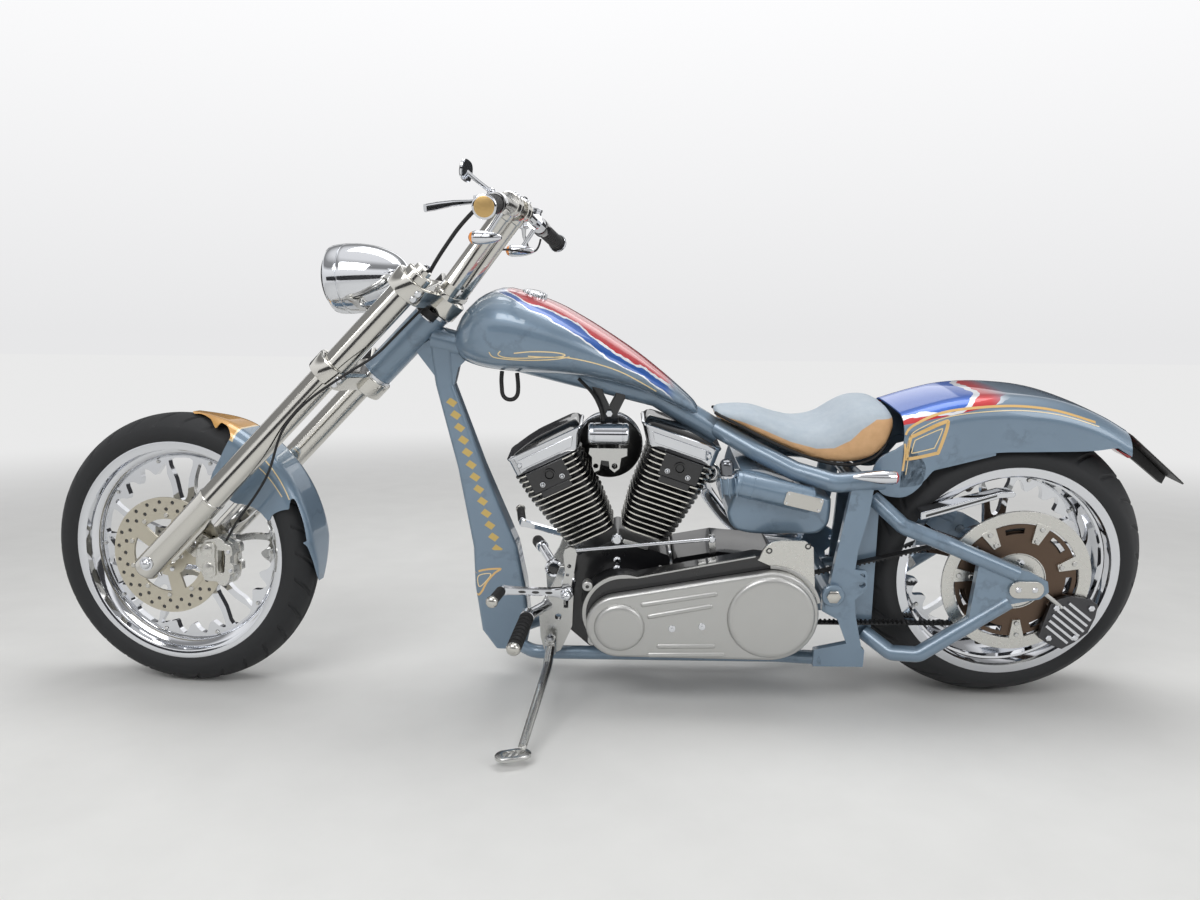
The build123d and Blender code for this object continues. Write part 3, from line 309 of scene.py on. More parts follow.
def basis(origin, direction):
    """A matrix that puts a local Z axis along a drawn direction, at a drawn point."""
    z_axis = Vector(direction).normalized()
    x_axis = Vector((0, 0, 1)).cross(z_axis)
    if x_axis.length < 1e-4:
        x_axis = Vector((1, 0, 0))
    x_axis.normalize()
    y_axis = z_axis.cross(x_axis)
    turn = Matrix((x_axis, y_axis, z_axis)).transposed().to_4x4()
    return Matrix.Translation(Vector(origin)) @ turn


def turned(name, profile, origin, direction, material, body="frame", around=64, closed=False, **finish):
    """A ring turned about an axis; the profile's pairs are radius and height along the axis."""
    place = basis(origin, direction)
    points = []
    for angle in angles(around):
        for radius, height in profile:
            points.append(place @ Vector((radius * cos(angle), radius * sin(angle), height)))
    rows = len(profile)
    faces = []
    for step in range(around):
        here = step * rows
        there = ((step + 1) % around) * rows
        for row in range(rows if closed else rows - 1):
            after = (row + 1) % rows
            faces.append((here + row, there + row, there + after, here + after))
    piece = build(name, points, faces, material, body, **finish)
    weld = piece.modifiers.new("poles", "WELD")
    weld.merge_threshold = 0.00002
    return piece


def tube(name, route, radius, material, body="frame", smooth=True):
    """A round bar along a drawn route, bent smoothly between its ends."""
    curve = bpy.data.curves.new(name, "CURVE")
    curve.dimensions = "3D"
    curve.bevel_depth = radius * MM
    curve.bevel_resolution = 6
    curve.resolution_u = 8
    curve.use_fill_caps = True
    spline = curve.splines.new("NURBS" if smooth else "POLY")
    spline.points.add(len(route) - 1)
    for point, spot in zip(spline.points, route):
        point.co = (*(drawn_in(body) @ Vector(spot)), 1)
    if smooth:
        spline.order_u = min(3, len(route))
        spline.use_endpoint_u = True
    piece = placed(name, curve)
    curve.materials.append(material)
    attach(piece, body)
    return piece


def plate(name, outline, depth, thickness, material, body="frame", origin=(0, 0, 0), holes=(), **finish):
    """A plate cut from an outline of X and Z, its face this far to the left of the origin."""
    stand_up = Matrix(((1, 0, 0, 0), (0, 0, -1, 0), (0, 1, 0, 0), (0, 0, 0, 1)))
    work = bmesh.new()
    rings = []
    for loop in (outline, *holes):
        corners = [work.verts.new((x, z, 0)) for x, z in loop]
        rings.append([work.edges.new((corners[i - 1], corners[i])) for i in range(len(corners))])
    bmesh.ops.triangle_fill(
        work, use_beauty=True, use_dissolve=False, edges=[edge for ring in rings for edge in ring],
    )
    grown = bmesh.ops.extrude_face_region(work, geom=list(work.faces))
    moved = [item for item in grown["geom"] if isinstance(item, bmesh.types.BMVert)]
    bmesh.ops.translate(work, verts=moved, vec=(0, 0, thickness))
    bmesh.ops.translate(work, verts=list(work.verts), vec=(0, 0, depth))
    bmesh.ops.dissolve_limit(work, angle_limit=radians(1), verts=list(work.verts), edges=list(work.edges))
    mesh = bpy.data.meshes.new(name)
    work.to_mesh(mesh)
    work.free()
    mesh.transform(Matrix.Translation(Vector(origin)) @ stand_up)
    return finish_mesh(name, mesh, material, body, **finish)


def skin(name, sections, material, body="frame", capped=True, **finish):
    """A skin over a row of closed sections, each a list of the same number of drawn points."""
    count = len(sections[0])
    points = [point for section in sections for point in section]
    faces = []
    for row in range(len(sections) - 1):
        for column in range(count):
            after = (column + 1) % count
            here = row * count
            there = here + count
            faces.append((here + column, here + after, there + after, there + column))
    if capped:
        faces.append(tuple(reversed(range(count))))
        faces.append(tuple(range(len(points) - count, len(points))))
    return build(name, points, faces, material, body, **finish)


def circle_outline(x, z, radius, count):
    """Points round a circle."""
    return [(x + radius * cos(a), z + radius * sin(a)) for a in angles(count)]


def arc_points(x, y, radius, start, end, count=14):
    """Points along an arc of a plan, its angles in degrees."""
    made = []
    for index in range(count + 1):
        angle = radians(start + (end - start) * index / count)
        made.append((x + radius * cos(angle), y + radius * sin(angle)))
    return made


def squashed(value, power):
    """A sine or cosine raised to a power, its sign kept, which squares a circle's corners."""
    return abs(value) ** power * (1 if value > 0 else -1)


def joined(name, pieces):
    """Makes one piece of several that share a body, keeping each one's finish."""
    bpy.context.view_layer.update()
    work = bmesh.new()
    graph = bpy.context.evaluated_depsgraph_get()
    body = body_of(pieces[0])
    slots = []
    for piece in pieces:
        shown = piece.evaluated_get(graph)
        mesh = bpy.data.meshes.new_from_object(shown)
        for material in piece.data.materials:
            if material not in slots:
                slots.append(material)
        remap = [slots.index(material) for material in piece.data.materials]
        for polygon in mesh.polygons:
            polygon.material_index = remap[min(polygon.material_index, len(remap) - 1)]
        mesh.transform(piece.matrix_world)
        work.from_mesh(mesh)
        bpy.data.meshes.remove(mesh)
    whole = bpy.data.meshes.new(name)
    work.to_mesh(whole)
    work.free()
    for piece in pieces:
        bpy.data.objects.remove(piece)
    result = placed(name, whole)
    for material in slots:
        whole.materials.append(material)
    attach(result, body[0] if isinstance(body, (list, tuple)) else body)
    return result


# %% [markdown]
# ## A plain studio
# The camera stands where the photographer stood, at the left of the machine. Polished metal shows only
# what is around it, so the world is white near the horizon, dark higher up and white again overhead.
# That gives chrome its dark and light bands. Diffuse surfaces take a weaker world and four wide lamps.

# %% Camera
camera_data = bpy.data.cameras.new("camera")
camera_data.lens = 26.8
camera_data.sensor_width = 36
camera_data.clip_start = 0.05
camera = placed("camera", camera_data)
yaw, down, roll = radians(0.775), radians(7.40), radians(0.509)
forward = Vector((-sin(yaw) * cos(down), cos(yaw) * cos(down), -sin(down)))
level_right = Vector((cos(yaw), sin(yaw), 0))
level_up = level_right.cross(forward)
camera_right = cos(roll) * level_right + sin(roll) * level_up
camera_up = cos(roll) * level_up - sin(roll) * level_right
CAMERA_REACH = Vector((-0.9585, -2.2788, 0.903))
machine_origin = BIKE.to_translation()
eye = Vector((machine_origin.x, machine_origin.y, 0)) + CAMERA_REACH
axes = Matrix((camera_right, camera_up, -forward)).transposed().to_4x4()
camera.matrix_world = Matrix.Translation(eye) @ axes
bpy.context.scene.camera = camera
bpy.context.scene.view_settings.view_transform = "Standard"
print("camera looks along", tuple(forward))


# %% World, lamps and floor
def tint(red, green, blue):
    """A colour from its screen values, as the shaders need it."""
    return tuple(((v / 255 + 0.055) / 1.055) ** 2.4 if v > 10 else v / 255 / 12.92 for v in (red, green, blue))


world = bpy.data.worlds.new("studio")
world.use_nodes = True
bpy.context.scene.world = world
sky = world.node_tree.nodes
sky_links = world.node_tree.links
rays = sky.new("ShaderNodeLightPath")
seen = sky.new("ShaderNodeMath")
seen.operation = "MAXIMUM"
sky_links.new(rays.outputs["Is Camera Ray"], seen.inputs[0])
sky_links.new(rays.outputs["Is Glossy Ray"], seen.inputs[1])
seen_through = sky.new("ShaderNodeMath")
seen_through.operation = "MAXIMUM"
sky_links.new(seen.outputs[0], seen_through.inputs[0])
sky_links.new(rays.outputs["Is Transmission Ray"], seen_through.inputs[1])
strength = sky.new("ShaderNodeMapRange")
strength.inputs["To Min"].default_value = 0.62
strength.inputs["To Max"].default_value = 1.0
sky_links.new(seen_through.outputs[0], strength.inputs["Value"])
where = sky.new("ShaderNodeTexCoord")
split = sky.new("ShaderNodeSeparateXYZ")
sky_links.new(where.outputs["Generated"], split.inputs[0])
bands = sky.new("ShaderNodeValToRGB")
levels = ((0.0, 0.80), (0.36, 1.0), (0.50, 0.26), (0.68, 0.32), (0.86, 0.9), (1.0, 0.95))
while len(bands.color_ramp.elements) < len(levels):
    bands.color_ramp.elements.new(0.5)
for stop, (height, grey) in zip(bands.color_ramp.elements, levels):
    stop.position = height
    stop.color = (grey, grey, grey * 1.01, 1)
sky_links.new(split.outputs["Z"], bands.inputs[0])
sky_links.new(bands.outputs[0], sky["Background"].inputs["Color"])
sky_links.new(strength.outputs[0], sky["Background"].inputs["Strength"])

LAMPS = (
    # name, place, target, width, height, power
    ("key", (-1.6, -3.2, 3.4), (0, 0, 0.5), 2.6, 1.6, 70),
    ("fill", (3.2, -2.6, 2.2), (0.3, 0, 0.5), 2.0, 2.0, 30),
    ("top", (0.2, 0.6, 3.8), (0, 0, 0.4), 3.4, 1.6, 55),
    ("back", (0.4, 3.6, 2.4), (0, 0, 0.5), 3.0, 1.6, 12),
)
for name, place, target, width, height, power in LAMPS:
    lamp_data = bpy.data.lights.new(name, "AREA")
    lamp_data.shape = "RECTANGLE"
    lamp_data.size = width
    lamp_data.size_y = height
    lamp_data.energy = power
    lamp = placed(name, lamp_data)
    lamp.location = place
    lamp.rotation_euler = (Vector(target) - Vector(place)).to_track_quat("-Z", "Y").to_euler()

floor_mesh = bpy.data.meshes.new("floor")
floor_mesh.from_pydata([(-30, -30, 0), (30, -30, 0), (30, 30, 0), (-30, 30, 0)], [], [(0, 1, 2, 3)])
floor = placed("floor", floor_mesh)
FLAGS = (
    # name, place, width, height: dark cards that only polished metal sees
    ("flag_near", (0, -4.6, 0.85), 13, 1.25),
    ("flag_far", (0, 4.6, 1.4), 13, 2.5),
)
card_dark = Finish("dark card", (0.05, 0.05, 0.055), 0.9).material
for name, place, width, height in FLAGS:
    card_mesh = bpy.data.meshes.new(name)
    corners = [(x * width / 2, 0, z * height / 2) for x, z in ((-1, -1), (1, -1), (1, 1), (-1, 1))]
    card_mesh.from_pydata(corners, [], [(0, 1, 2, 3)])
    card = placed(name, card_mesh)
    card.location = place
    card.visible_camera = False
    card.visible_shadow = False
    card.visible_diffuse = False
    card.data.materials.append(card_dark)
print("lamps", len(LAMPS), "cards", len(FLAGS))

# %% [markdown]
# ## Finishes of the metal and rubber parts
# Every finish has its own small faults: chrome is faintly smeared, cast alloy has a grain, and paint and
# rubber have a mottle. On metal they sit in the roughness and the bump only, because a colour change
# would look like dirt.

# %% Plain finishes
floor_finish = Finish("pale floor", tint(226, 226, 224), 0.85)
grain = floor_finish.noise(6, detail=4)
floor_finish.send(Base_Color=floor_finish.mix(grain, tint(222, 222, 220), tint(232, 232, 230)))
light_path = floor_finish.node("ShaderNodeLightPath")
glossy = floor_finish.node("ShaderNodeLightPath", output=3)
through = floor_finish.node("ShaderNodeLightPath", output=6)
away = floor_finish.node("ShaderNodeVectorMath", {"operation": "LENGTH"}, output=1, i0=floor_finish.place())
far = floor_finish.step(away, 2.4, 6.5)
paper = floor_finish.node("ShaderNodeEmission", Color=(0.82, 0.82, 0.82), Strength=1.0)
shown = floor_finish.math("MAXIMUM", floor_finish.math("MAXIMUM", light_path, glossy), through)
blend = floor_finish.node("ShaderNodeMixShader", i0=far * shown)
floor_nodes = floor_finish.tree.nodes
floor_finish.tree.links.new(floor_finish.shader.outputs[0], blend.socket.node.inputs[1])
floor_finish.tree.links.new(paper.socket, blend.socket.node.inputs[2])
floor_finish.tree.links.new(blend.socket, floor_nodes["Material Output"].inputs["Surface"])
floor.data.materials.append(floor_finish.material)


def metal(name, color, roughness, haze, scale=30, height=0.0, stretch=(1, 1, 1)):
    """Bare metal whose roughness wanders by the haze, with a little surface height where asked."""
    made = Finish(name, color, roughness, metallic=1.0)
    cloud = made.noise(scale, detail=4, stretch=stretch)
    if height:
        made.bump(made.noise(scale * 12, detail=2, stretch=stretch), height, 0.6)
    return made.send(Roughness=cloud * haze + (roughness - haze / 2))


chrome = metal("polished chrome", tint(222, 224, 228), 0.07, 0.06)
bright_steel = metal("bright steel", tint(205, 205, 203), 0.24, 0.10, scale=60)
satin_alloy = metal("satin fork alloy", tint(206, 204, 198), 0.22, 0.10, scale=18, height=0.00004)
cast_alloy = metal("cast alloy", tint(196, 196, 194), 0.40, 0.14, scale=40, height=0.00012)
machined = metal("machined alloy", tint(214, 213, 208), 0.28, 0.08, scale=80, height=0.00003)
disc_steel = metal("warm disc steel", tint(206, 200, 184), 0.42, 0.12, scale=90, height=0.00002)
bronze = metal("dark bronze plate", tint(104, 88, 76), 0.42, 0.16, scale=50, height=0.00005)
dark_alloy = metal("dark cast alloy", tint(84, 84, 86), 0.38, 0.14, scale=50, height=0.00008)
dark_chrome = metal("dark chrome", tint(120, 122, 126), 0.12, 0.06)


def painted(name, color, roughness, shift=1.25, scale=20, height=0.00005, coat=0.0):
    """Paint, plastic or rubber with a faint mottle in its colour and sheen."""
    made = Finish(name, color, roughness, Coat_Weight=coat, Coat_Roughness=0.05)
    cloud = made.noise(scale, detail=5)
    lighter = tuple(min(v * shift, 1) for v in color)
    if height:
        made.bump(made.noise(scale * 25, detail=2), height, 0.5)
    return made.send(Base_Color=made.mix(cloud, color, lighter), Roughness=cloud * 0.16 + (roughness - 0.08))


black_enamel = painted("black engine enamel", tint(22, 22, 24), 0.30, shift=1.5, height=0.0, coat=0.6)
black_plastic = painted("black plastic", tint(24, 24, 25), 0.45, shift=1.6)
black_rubber = painted("black rubber", tint(20, 20, 21), 0.62, shift=1.7, scale=40)
tyre_rubber = painted("tyre rubber", tint(30, 31, 33), 0.70, shift=1.45, scale=30, height=0.00012)
gloss_black = painted("gloss black", tint(12, 12, 13), 0.18, shift=1.6, height=0.0, coat=1.0)
amber_glass = painted("amber glass", tint(236, 140, 26), 0.16, shift=1.15, height=0.0, coat=1.0)
red_glass = painted("red glass", tint(176, 20, 22), 0.16, shift=1.2, height=0.0, coat=1.0)
cream_white = painted("blank plate white", tint(226, 226, 220), 0.4, shift=1.04, height=0.0)
cream_paint = painted("cream paint", tint(240, 214, 160), 0.30, shift=1.08, height=0.0, coat=1.0)
gold_paint = painted("gold paint", tint(218, 178, 112), 0.30, shift=1.2, height=0.0, coat=1.0)

clear_finish = Finish("clear lens glass", tint(246, 248, 250), 0.03, Transmission_Weight=1.0, IOR=1.45)
clear_glass = clear_finish.send(Roughness=clear_finish.noise(40) * 0.03)


# %% Steel-blue lacquer
def blue_lacquer(name, decorate=None, base=tint(118, 139, 158)):
    """Metallic lacquer under clear coat, with smoky airbrushed veins and the piece's own decoration."""
    made = Finish(name, base, 0.36, metallic=0.30, Coat_Weight=1.0, Coat_Roughness=0.03)
    cloud = made.noise(7, detail=5, roughness=0.6)
    vein = made.step(made.math("ABSOLUTE", made.noise(5, detail=6, roughness=0.62) - 0.5), 0.0, 0.035)
    smoky = tuple(v * 0.62 for v in base)
    bright = tuple(min(v * 1.12, 1) for v in base)
    color = made.mix(cloud, tuple(v * 0.90 for v in base), bright)
    color = made.mix((1 - vein) * made.step(cloud, 0.46, 0.62) * 0.55, color, smoky)
    if decorate:
        color = decorate(made, color)
    flake = made.noise(900, detail=1)
    return made.send(Base_Color=color, Roughness=flake * 0.18 + 0.27)


plain_blue = blue_lacquer("steel-blue lacquer")
print("finishes", len(bpy.data.materials))

# %% Dress the solids
DRESS = (
    (plain_blue, "frame swingarm oil_tank fuel_tank front_fender rear_fender"),
    (chrome, "front_wheel rear_wheel headlamp_shell risers handlebar mirrors front_signals front_rocker_box"),
    (chrome, "rear_rocker_box intake_cover fuel_cap front_axle rear_axle rear_signals left_foot_controls"),
    (chrome, "right_foot_controls side_stand belt_guard exhaust air_cleaner hand_levers"),
    (satin_alloy, "fork_legs lower_triple_clamp upper_triple_clamp"),
    (cast_alloy, "primary_cover"),
    (machined, "front_caliper rear_caliper rear_brake_ring"),
    (disc_steel, "front_disc"),
    (bronze, "rear_pulley"),
    (black_enamel, "front_cylinder rear_cylinder primary_housing crankcase transmission"),
    (black_rubber, "drive_belt grips"),
    (black_plastic, "plate_carrier"),
    (tyre_rubber, "front_tyre rear_tyre"),
    (clear_glass, "headlamp_lens"),
    (black_rubber, "seat"),
)
for finish, names in DRESS:
    for name in names.split():
        node = nodes[name]
        node.data.materials.clear()
        node.data.materials.append(finish)
print("undressed solids", [name for name in nodes if not any(name in names.split() for _, names in DRESS)])

# %% [markdown]
# ## Tyres
# A road tyre is a smooth ring whose crown is cut by slanting grooves. The ring is drawn as a grid of
# points: one row for each place round the tyre, one column for each place over its section. The rows
# are sheared, so that the grid's own lines run along the grooves, and a groove is a row that sinks in.
# That gives sharp, even grooves that show in outline too, which a bump map would not.

# %% A tyre with slanting grooves


def tyre_section(outer, crown, shoulder, half, flange, neck, across=26):
    """Radius, side and share of tread over a tyre's section, from the left bead to the right one."""
    arc_r = (crown**2 + shoulder**2) / (2 * crown)
    wall_r = (outer - crown + flange) / 2
    spots = []
    for step in range(5):
        share = step / 5
        swell = sin(share * pi / 2)
        spots.append((flange - 8 + (wall_r - flange + 8) * share, -neck - (half - neck) * swell, 0))
    for step in range(4):
        share = step / 4
        spots.append((wall_r + (outer - crown - wall_r) * share, -half + (half - shoulder) * share**2, 0))
    for step in range(across + 1):
        side = -shoulder + 2 * shoulder * step / across
        spots.append((outer - arc_r + sqrt(arc_r**2 - side**2), side, side / shoulder))
    return spots + [(r, -side, 0) for r, side, _ in reversed(spots[:9])]


def groove_depth(tread, share, sizes):
    """How deep the groove is at a place over the tread (-1 to 1) and along one pitch (0 to 1)."""
    depth, inner, outer, width = sizes
    over = abs(tread)
    if over < inner or over > outer:
        return 0.0
    ends = min((over - inner) / 0.12, (outer - over) / 0.10, 1)
    return depth * max(0, ends) if abs(share - 0.5) < width else 0.0


def tyre(node, body, axle, section, pitches, shear, sizes):
    """Draws a tyre, its grooves sheared forwards towards the shoulders."""
    rows_per_pitch = 20
    rows = pitches * rows_per_pitch
    points = []
    for row in range(rows):
        share = (row % rows_per_pitch) / rows_per_pitch
        for radius, side, tread in section:
            bend = shear * abs(tread) ** 1.3 if tread else shear
            half_pitch = pi / pitches if tread > 0 else 0
            angle = 2 * pi * row / rows + bend + half_pitch * min(abs(tread) * 3, 1)
            deep = radius - groove_depth(tread, share, sizes)
            points.append((axle[0] + deep * cos(angle), side, axle[2] + deep * sin(angle)))
    count = len(section)
    faces = []
    for row in range(rows):
        here = row * count
        there = ((row + 1) % rows) * count
        for column in range(count - 1):
            faces.append((here + column, there + column, there + column + 1, here + column + 1))
    piece = build(node + "_tread", points, faces, tyre_rubber, body, smooth_angle=38)
    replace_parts(piece, node)
    return piece


front_section = tyre_section(349, 31, 57, 60, 283.5, 47)
rear_section = tyre_section(356, 52, 112, 122, 266, 114, across=34)
front_tyre = tyre("front_tyre", "front_wheel", FRONT_HUB, front_section, 30, 0.16, (5.0, 0.10, 1.0, 0.075))
rear_tyre = tyre("rear_tyre", "rear_wheel", REAR_HUB, rear_section, 26, 0.30, (6.0, 0.12, 1.0, 0.07))
print("tyre faces", len(front_tyre.data.polygons), len(rear_tyre.data.polygons))

# %% [markdown]
# ## Wheels
# Each wheel is cut from one forging: a polished rim with a deep lip, and a flat web with five slots and
# with five windows that end in flame-like points. The rim is a turned profile. The web is a plate with
# holes, because every edge of it shows, and a plate's bevel catches the light as the real cut edge does.

# %% Rims, webs and hubs


def eased(before, here, there, after, steps):
    """Points on a smooth curve from here towards there, with one given point on each side."""
    made = []
    for t in (step / steps for step in range(steps)):
        spot = []
        for a, b, c, d in zip(before, here, there, after):
            bend, twist = 2 * a - 5 * b + 4 * c - d, 3 * b - a - 3 * c + d
            spot.append(0.5 * (2 * b + (c - a) * t + bend * t * t + twist * t**3))
        made.append(tuple(spot))
    return made


def smooth_loop(points, steps=4):
    """A closed curve through given points."""
    count = len(points)
    made = []
    for index in range(count):
        made += eased(*(points[(index + k) % count] for k in (-1, 0, 1, 2)), steps)
    return made


def smooth_rows(rows, steps):
    """Rows of numbers with smooth rows between them."""
    made = []
    last = len(rows) - 1
    for index in range(last):
        made += eased(rows[max(index - 1, 0)], rows[index], rows[index + 1], rows[min(index + 2, last)], steps)
    return made + [tuple(rows[-1])]


def polar(points, turn):
    """Radius and degrees to X and Z, turned clockwise from straight up."""
    return [(r * sin(radians(a + turn)), r * cos(radians(a + turn))) for r, a in points]


FRONT_RIM = (
    (283.5, 50), (283.5, 47), (273, 45.5), (268, 40), (266, 30), (251, 24), (251, -24), (266, -30), (268, -40),
    (273, -45.5), (283.5, -47), (283.5, -50), (281, -50.4), (263, -50), (259, -47), (257, -28), (243, -21),
    (238, -10), (238, 10), (243, 21), (257, 28), (259, 47), (263, 50), (281, 50.4),
)
REAR_RIM = (
    (266, 118), (266, 114), (254, 112), (252, 94), (236, 90), (236, -90), (252, -94), (254, -112), (266, -114),
    (266, -118), (263, -118.4), (246, -118), (242, -114), (241, -92), (228, -84), (222, -60), (222, 30), (228, 60),
    (241, 84), (242, 114), (246, 118), (263, 118.4),
)
WINDOW = (
    (80, -15), (80, 15), (120, 22.5), (165, 25), (196, 24), (224, 25), (208, 18), (203, 14.5), (221, 11.5),
    (231, 7), (210, 3.5), (203, 0), (219, -3), (229, -8), (208, -11.5), (202, -15), (217, -18), (227, -22.5),
    (196, -24.5), (165, -25), (120, -22.5),
)
SLOT = ((128, -4), (132, 4), (180, 6), (228, 8.5), (233, 0), (228, -8.5), (180, -6))
PAIR_TURN = -2.5
RIM_BOLTS = 10
WEB_THICK = 16
for name, axle, profile, web_left, reach, scale, hub, hub_half in (
    ("front_wheel", FRONT_HUB, FRONT_RIM, -8, 241, 1.0, 42, 57),
    ("rear_wheel", REAR_HUB, REAR_RIM, 4, 226, 0.93, 56, 95),
):
    pieces = [turned(name + "_rim", profile, axle, LEFT, chrome, name, around=128, closed=True)]
    holes = []
    for pair in range(5):
        turn = 72 * pair + PAIR_TURN
        holes.append(smooth_loop([(x * scale, z * scale) for x, z in polar(WINDOW, turn + 36)], 3))
        holes.append(smooth_loop([(x * scale, z * scale) for x, z in polar(SLOT, turn)], 3))
    outline = circle_outline(0, 0, reach, 96)
    pieces.append(plate(
        name + "_web", outline, web_left, WEB_THICK, chrome, name, origin=axle, holes=holes, bevel=1.4,
    ))
    hub_profile = (
        (13, hub_half), (hub - 12, hub_half), (hub - 8, hub_half - 3), (hub - 10, hub_half - 14),
        (hub, hub_half - 22),
        (hub + 10, 18), (hub + 16, 12), (hub + 16, -12), (hub + 10, -18), (hub, 22 - hub_half),
        (hub - 8, 3 - hub_half),
        (hub - 12, -hub_half), (13, -hub_half),
    )
    pieces.append(turned(name + "_hub", hub_profile, axle, LEFT, chrome, name, closed=True))
    face = web_left + WEB_THICK
    bolt_profile = ((0, face + 4), (4.2, face + 4), (5, face + 3), (5, face - 2), (0, face - 2))
    for index in range(RIM_BOLTS):
        angle = 2 * pi * (index + 0.5) / RIM_BOLTS
        spot = (axle[0] + (reach - 9) * sin(angle), 0, axle[2] + (reach - 9) * cos(angle))
        pieces.append(turned(f"{name}_bolt_{index}", bolt_profile, spot, LEFT, bright_steel, name, around=6))
    whole = joined(name + "_forged", pieces)
    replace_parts(whole, name)
    print(name, "faces", len(whole.data.polygons))

# %% [markdown]
# ## Painted shells
# The tank and both mudguards are pressed from sheet and filled smooth. Each is a skin over a row of
# sections. The sections are worked out from a short table by a smooth curve, so the shell has no flat
# spots. The front mudguard's cut-outs come from a boolean with its own side outline, because a section
# can't say where a hook or a slot is.

# %% Helpers for shells


def carve(piece, cutter, operation):
    """Cuts one closed mesh with another, and keeps the result as the piece's own mesh."""
    cut = piece.modifiers.new("cut", "BOOLEAN")
    cut.operation = operation
    cut.solver = "EXACT"
    cut.object = cutter
    mesh = baked(piece)
    piece.modifiers.remove(cut)
    old = piece.data
    piece.data = mesh
    bpy.data.meshes.remove(old)
    bpy.data.objects.remove(cutter)


def surface_of(piece):
    """A search tree over a piece's finished surface."""
    mesh = baked(piece)
    mesh.transform(piece.matrix_world)
    tree = BVHTree.FromPolygons([v.co for v in mesh.vertices], [p.vertices for p in mesh.polygons])
    bpy.data.meshes.remove(mesh)
    return tree


def laid_on(tree, matrix, x, z, side, lift):
    """The place just over a surface, seen square from the side, for a drawn X and Z."""
    start = matrix @ Vector((x, side * 400, z))
    direction = (matrix.to_3x3() @ Vector((0, -side, 0))).normalized()
    spot, normal, _, _ = tree.ray_cast(start, direction)
    if spot is None:
        return None
    if normal.dot(direction) > 0:
        normal = -normal
    return spot + normal * lift * MM


def pinstripe(name, tree, route, width, side, material, body="frame", closed=False, steps=6, lift=0.35):
    """A painted line that lies on a surface along a drawn route of X and Z."""
    matrix = drawn_in(body)
    path = smooth_loop(route, steps) if closed else smooth_rows(route, steps)
    points = []
    rows = []
    count = len(path)
    for index, (x, z) in enumerate(path):
        after = path[(index + 1) % count] if closed or index + 1 < count else path[index]
        before = path[index - 1] if closed or index else path[index]
        dx, dz = after[0] - before[0], after[1] - before[1]
        size = hypot(dx, dz) or 1
        off = (-dz / size * width / 2, dx / size * width / 2)
        pair = [laid_on(tree, matrix, x + k * off[0], z + k * off[1], side, lift) for k in (1, 0, -1)]
        if None in pair:
            rows.append(None)
            continue
        rows.append(len(points))
        points.extend(pair)
    faces = []
    for index in range(count if closed else count - 1):
        here, there = rows[index], rows[(index + 1) % count]
        if here is not None and there is not None:
            faces.append((here, here + 1, there + 1, there))
            faces.append((here + 1, here + 2, there + 2, there + 1))
    return build(name, points, faces, material, body, matrix=Matrix.Identity(4), clean=False)


# %% [markdown]
# ## Fuel tank
# A long teardrop: round and full behind the steering head, and drawn out to a tail over the seat rails.
# Its section is a squashed circle, round at both ends of the tank and squarer between them.

# %% Fuel tank
TANK_ROWS = (
    # x, underside, top, width, roundness
    (-1336, 868, 884, 30, 2.0),
    (-1329, 850, 912, 92, 2.1),
    (-1306, 831, 950, 170, 2.3),
    (-1262, 817, 986, 240, 2.5),
    (-1200, 809, 1000, 284, 2.6),
    (-1100, 806, 968, 300, 2.6),
    (-1030, 800, 932, 284, 2.5),
    (-970, 789, 896, 252, 2.4),
    (-900, 769, 850, 206, 2.3),
    (-840, 743, 804, 160, 2.2),
    (-790, 718, 762, 116, 2.1),
    (-762, 705, 736, 84, 2.0),
    (-752, 704, 722, 40, 2.0),
)
TUNNEL_HALF = 34


RIBBONS = (
    # where a band starts and stops below the crest, and its colour
    (-90, 10, tint(196, 30, 42)),
    (10, 15, tint(236, 238, 242)),
    (15, 33, tint(20, 84, 166)),
    (33, 37, tint(236, 238, 242)),
)


def banded(made, color, height, bands, within, grow=1):
    """Lays bands of colour over a finish: each from its start to its stop, measured by a height."""
    for low, high, shade in bands:
        start, stop = grow * low, grow * high
        over = made.math("COMPARE", height, (start + stop) / 2, (stop - start) / 2)
        color = made.mix(over * within, color, shade)
    return color


def ribbon_bands(made, color):
    """Flowing red, white and blue bands along the tank's back."""
    x, y, z = made.drawn(BIKE)
    back = x + 1200
    crest = 1000 - back * 0.28 - back * back * 0.00074
    sway = made.math("SINE", x / 36) * 7 + made.noise(11, detail=3) * 40 - 20
    drop = crest - z + sway * made.step(x, -1210, -1080)
    ahead = made.step(x, -1270, -1180)
    within = ahead * (1 - made.step(x, -842, -806))
    deep = 0.30 + made.step(x, -1200, -1060) * 0.70
    return banded(made, color, drop, RIBBONS, within, deep)


tank_paint = blue_lacquer("tank lacquer", ribbon_bands)


def tank_section(x, under, top, width, power, around=40):
    """A closed section with a tunnel for the backbone under it."""
    middle, high, half = (under + top) / 2, (top - under) / 2, width / 2
    backbone = 928 - (x + 1395) * 163 / 545 if x < -850 else 765 - (x + 850) * 93 / 150
    roof = min(backbone + TUNNEL_HALF, top - 10)
    gap = min(TUNNEL_HALF + 2, half * 0.5)
    made = []
    for step in range(around + 1):
        angle = -pi / 2 + 2 * pi * step / around
        c, s = cos(angle), sin(angle)
        across = half * squashed(c, 2 / power)
        up = middle + high * squashed(s, 2 / power)
        if abs(across) < gap and s < 0:
            across = gap if step < around / 2 else -gap
        made.append((x, across, up))
    roof = max(roof, under + 1)
    return made + [(x, -gap, roof), (x, 0, roof + 3), (x, gap, roof)]


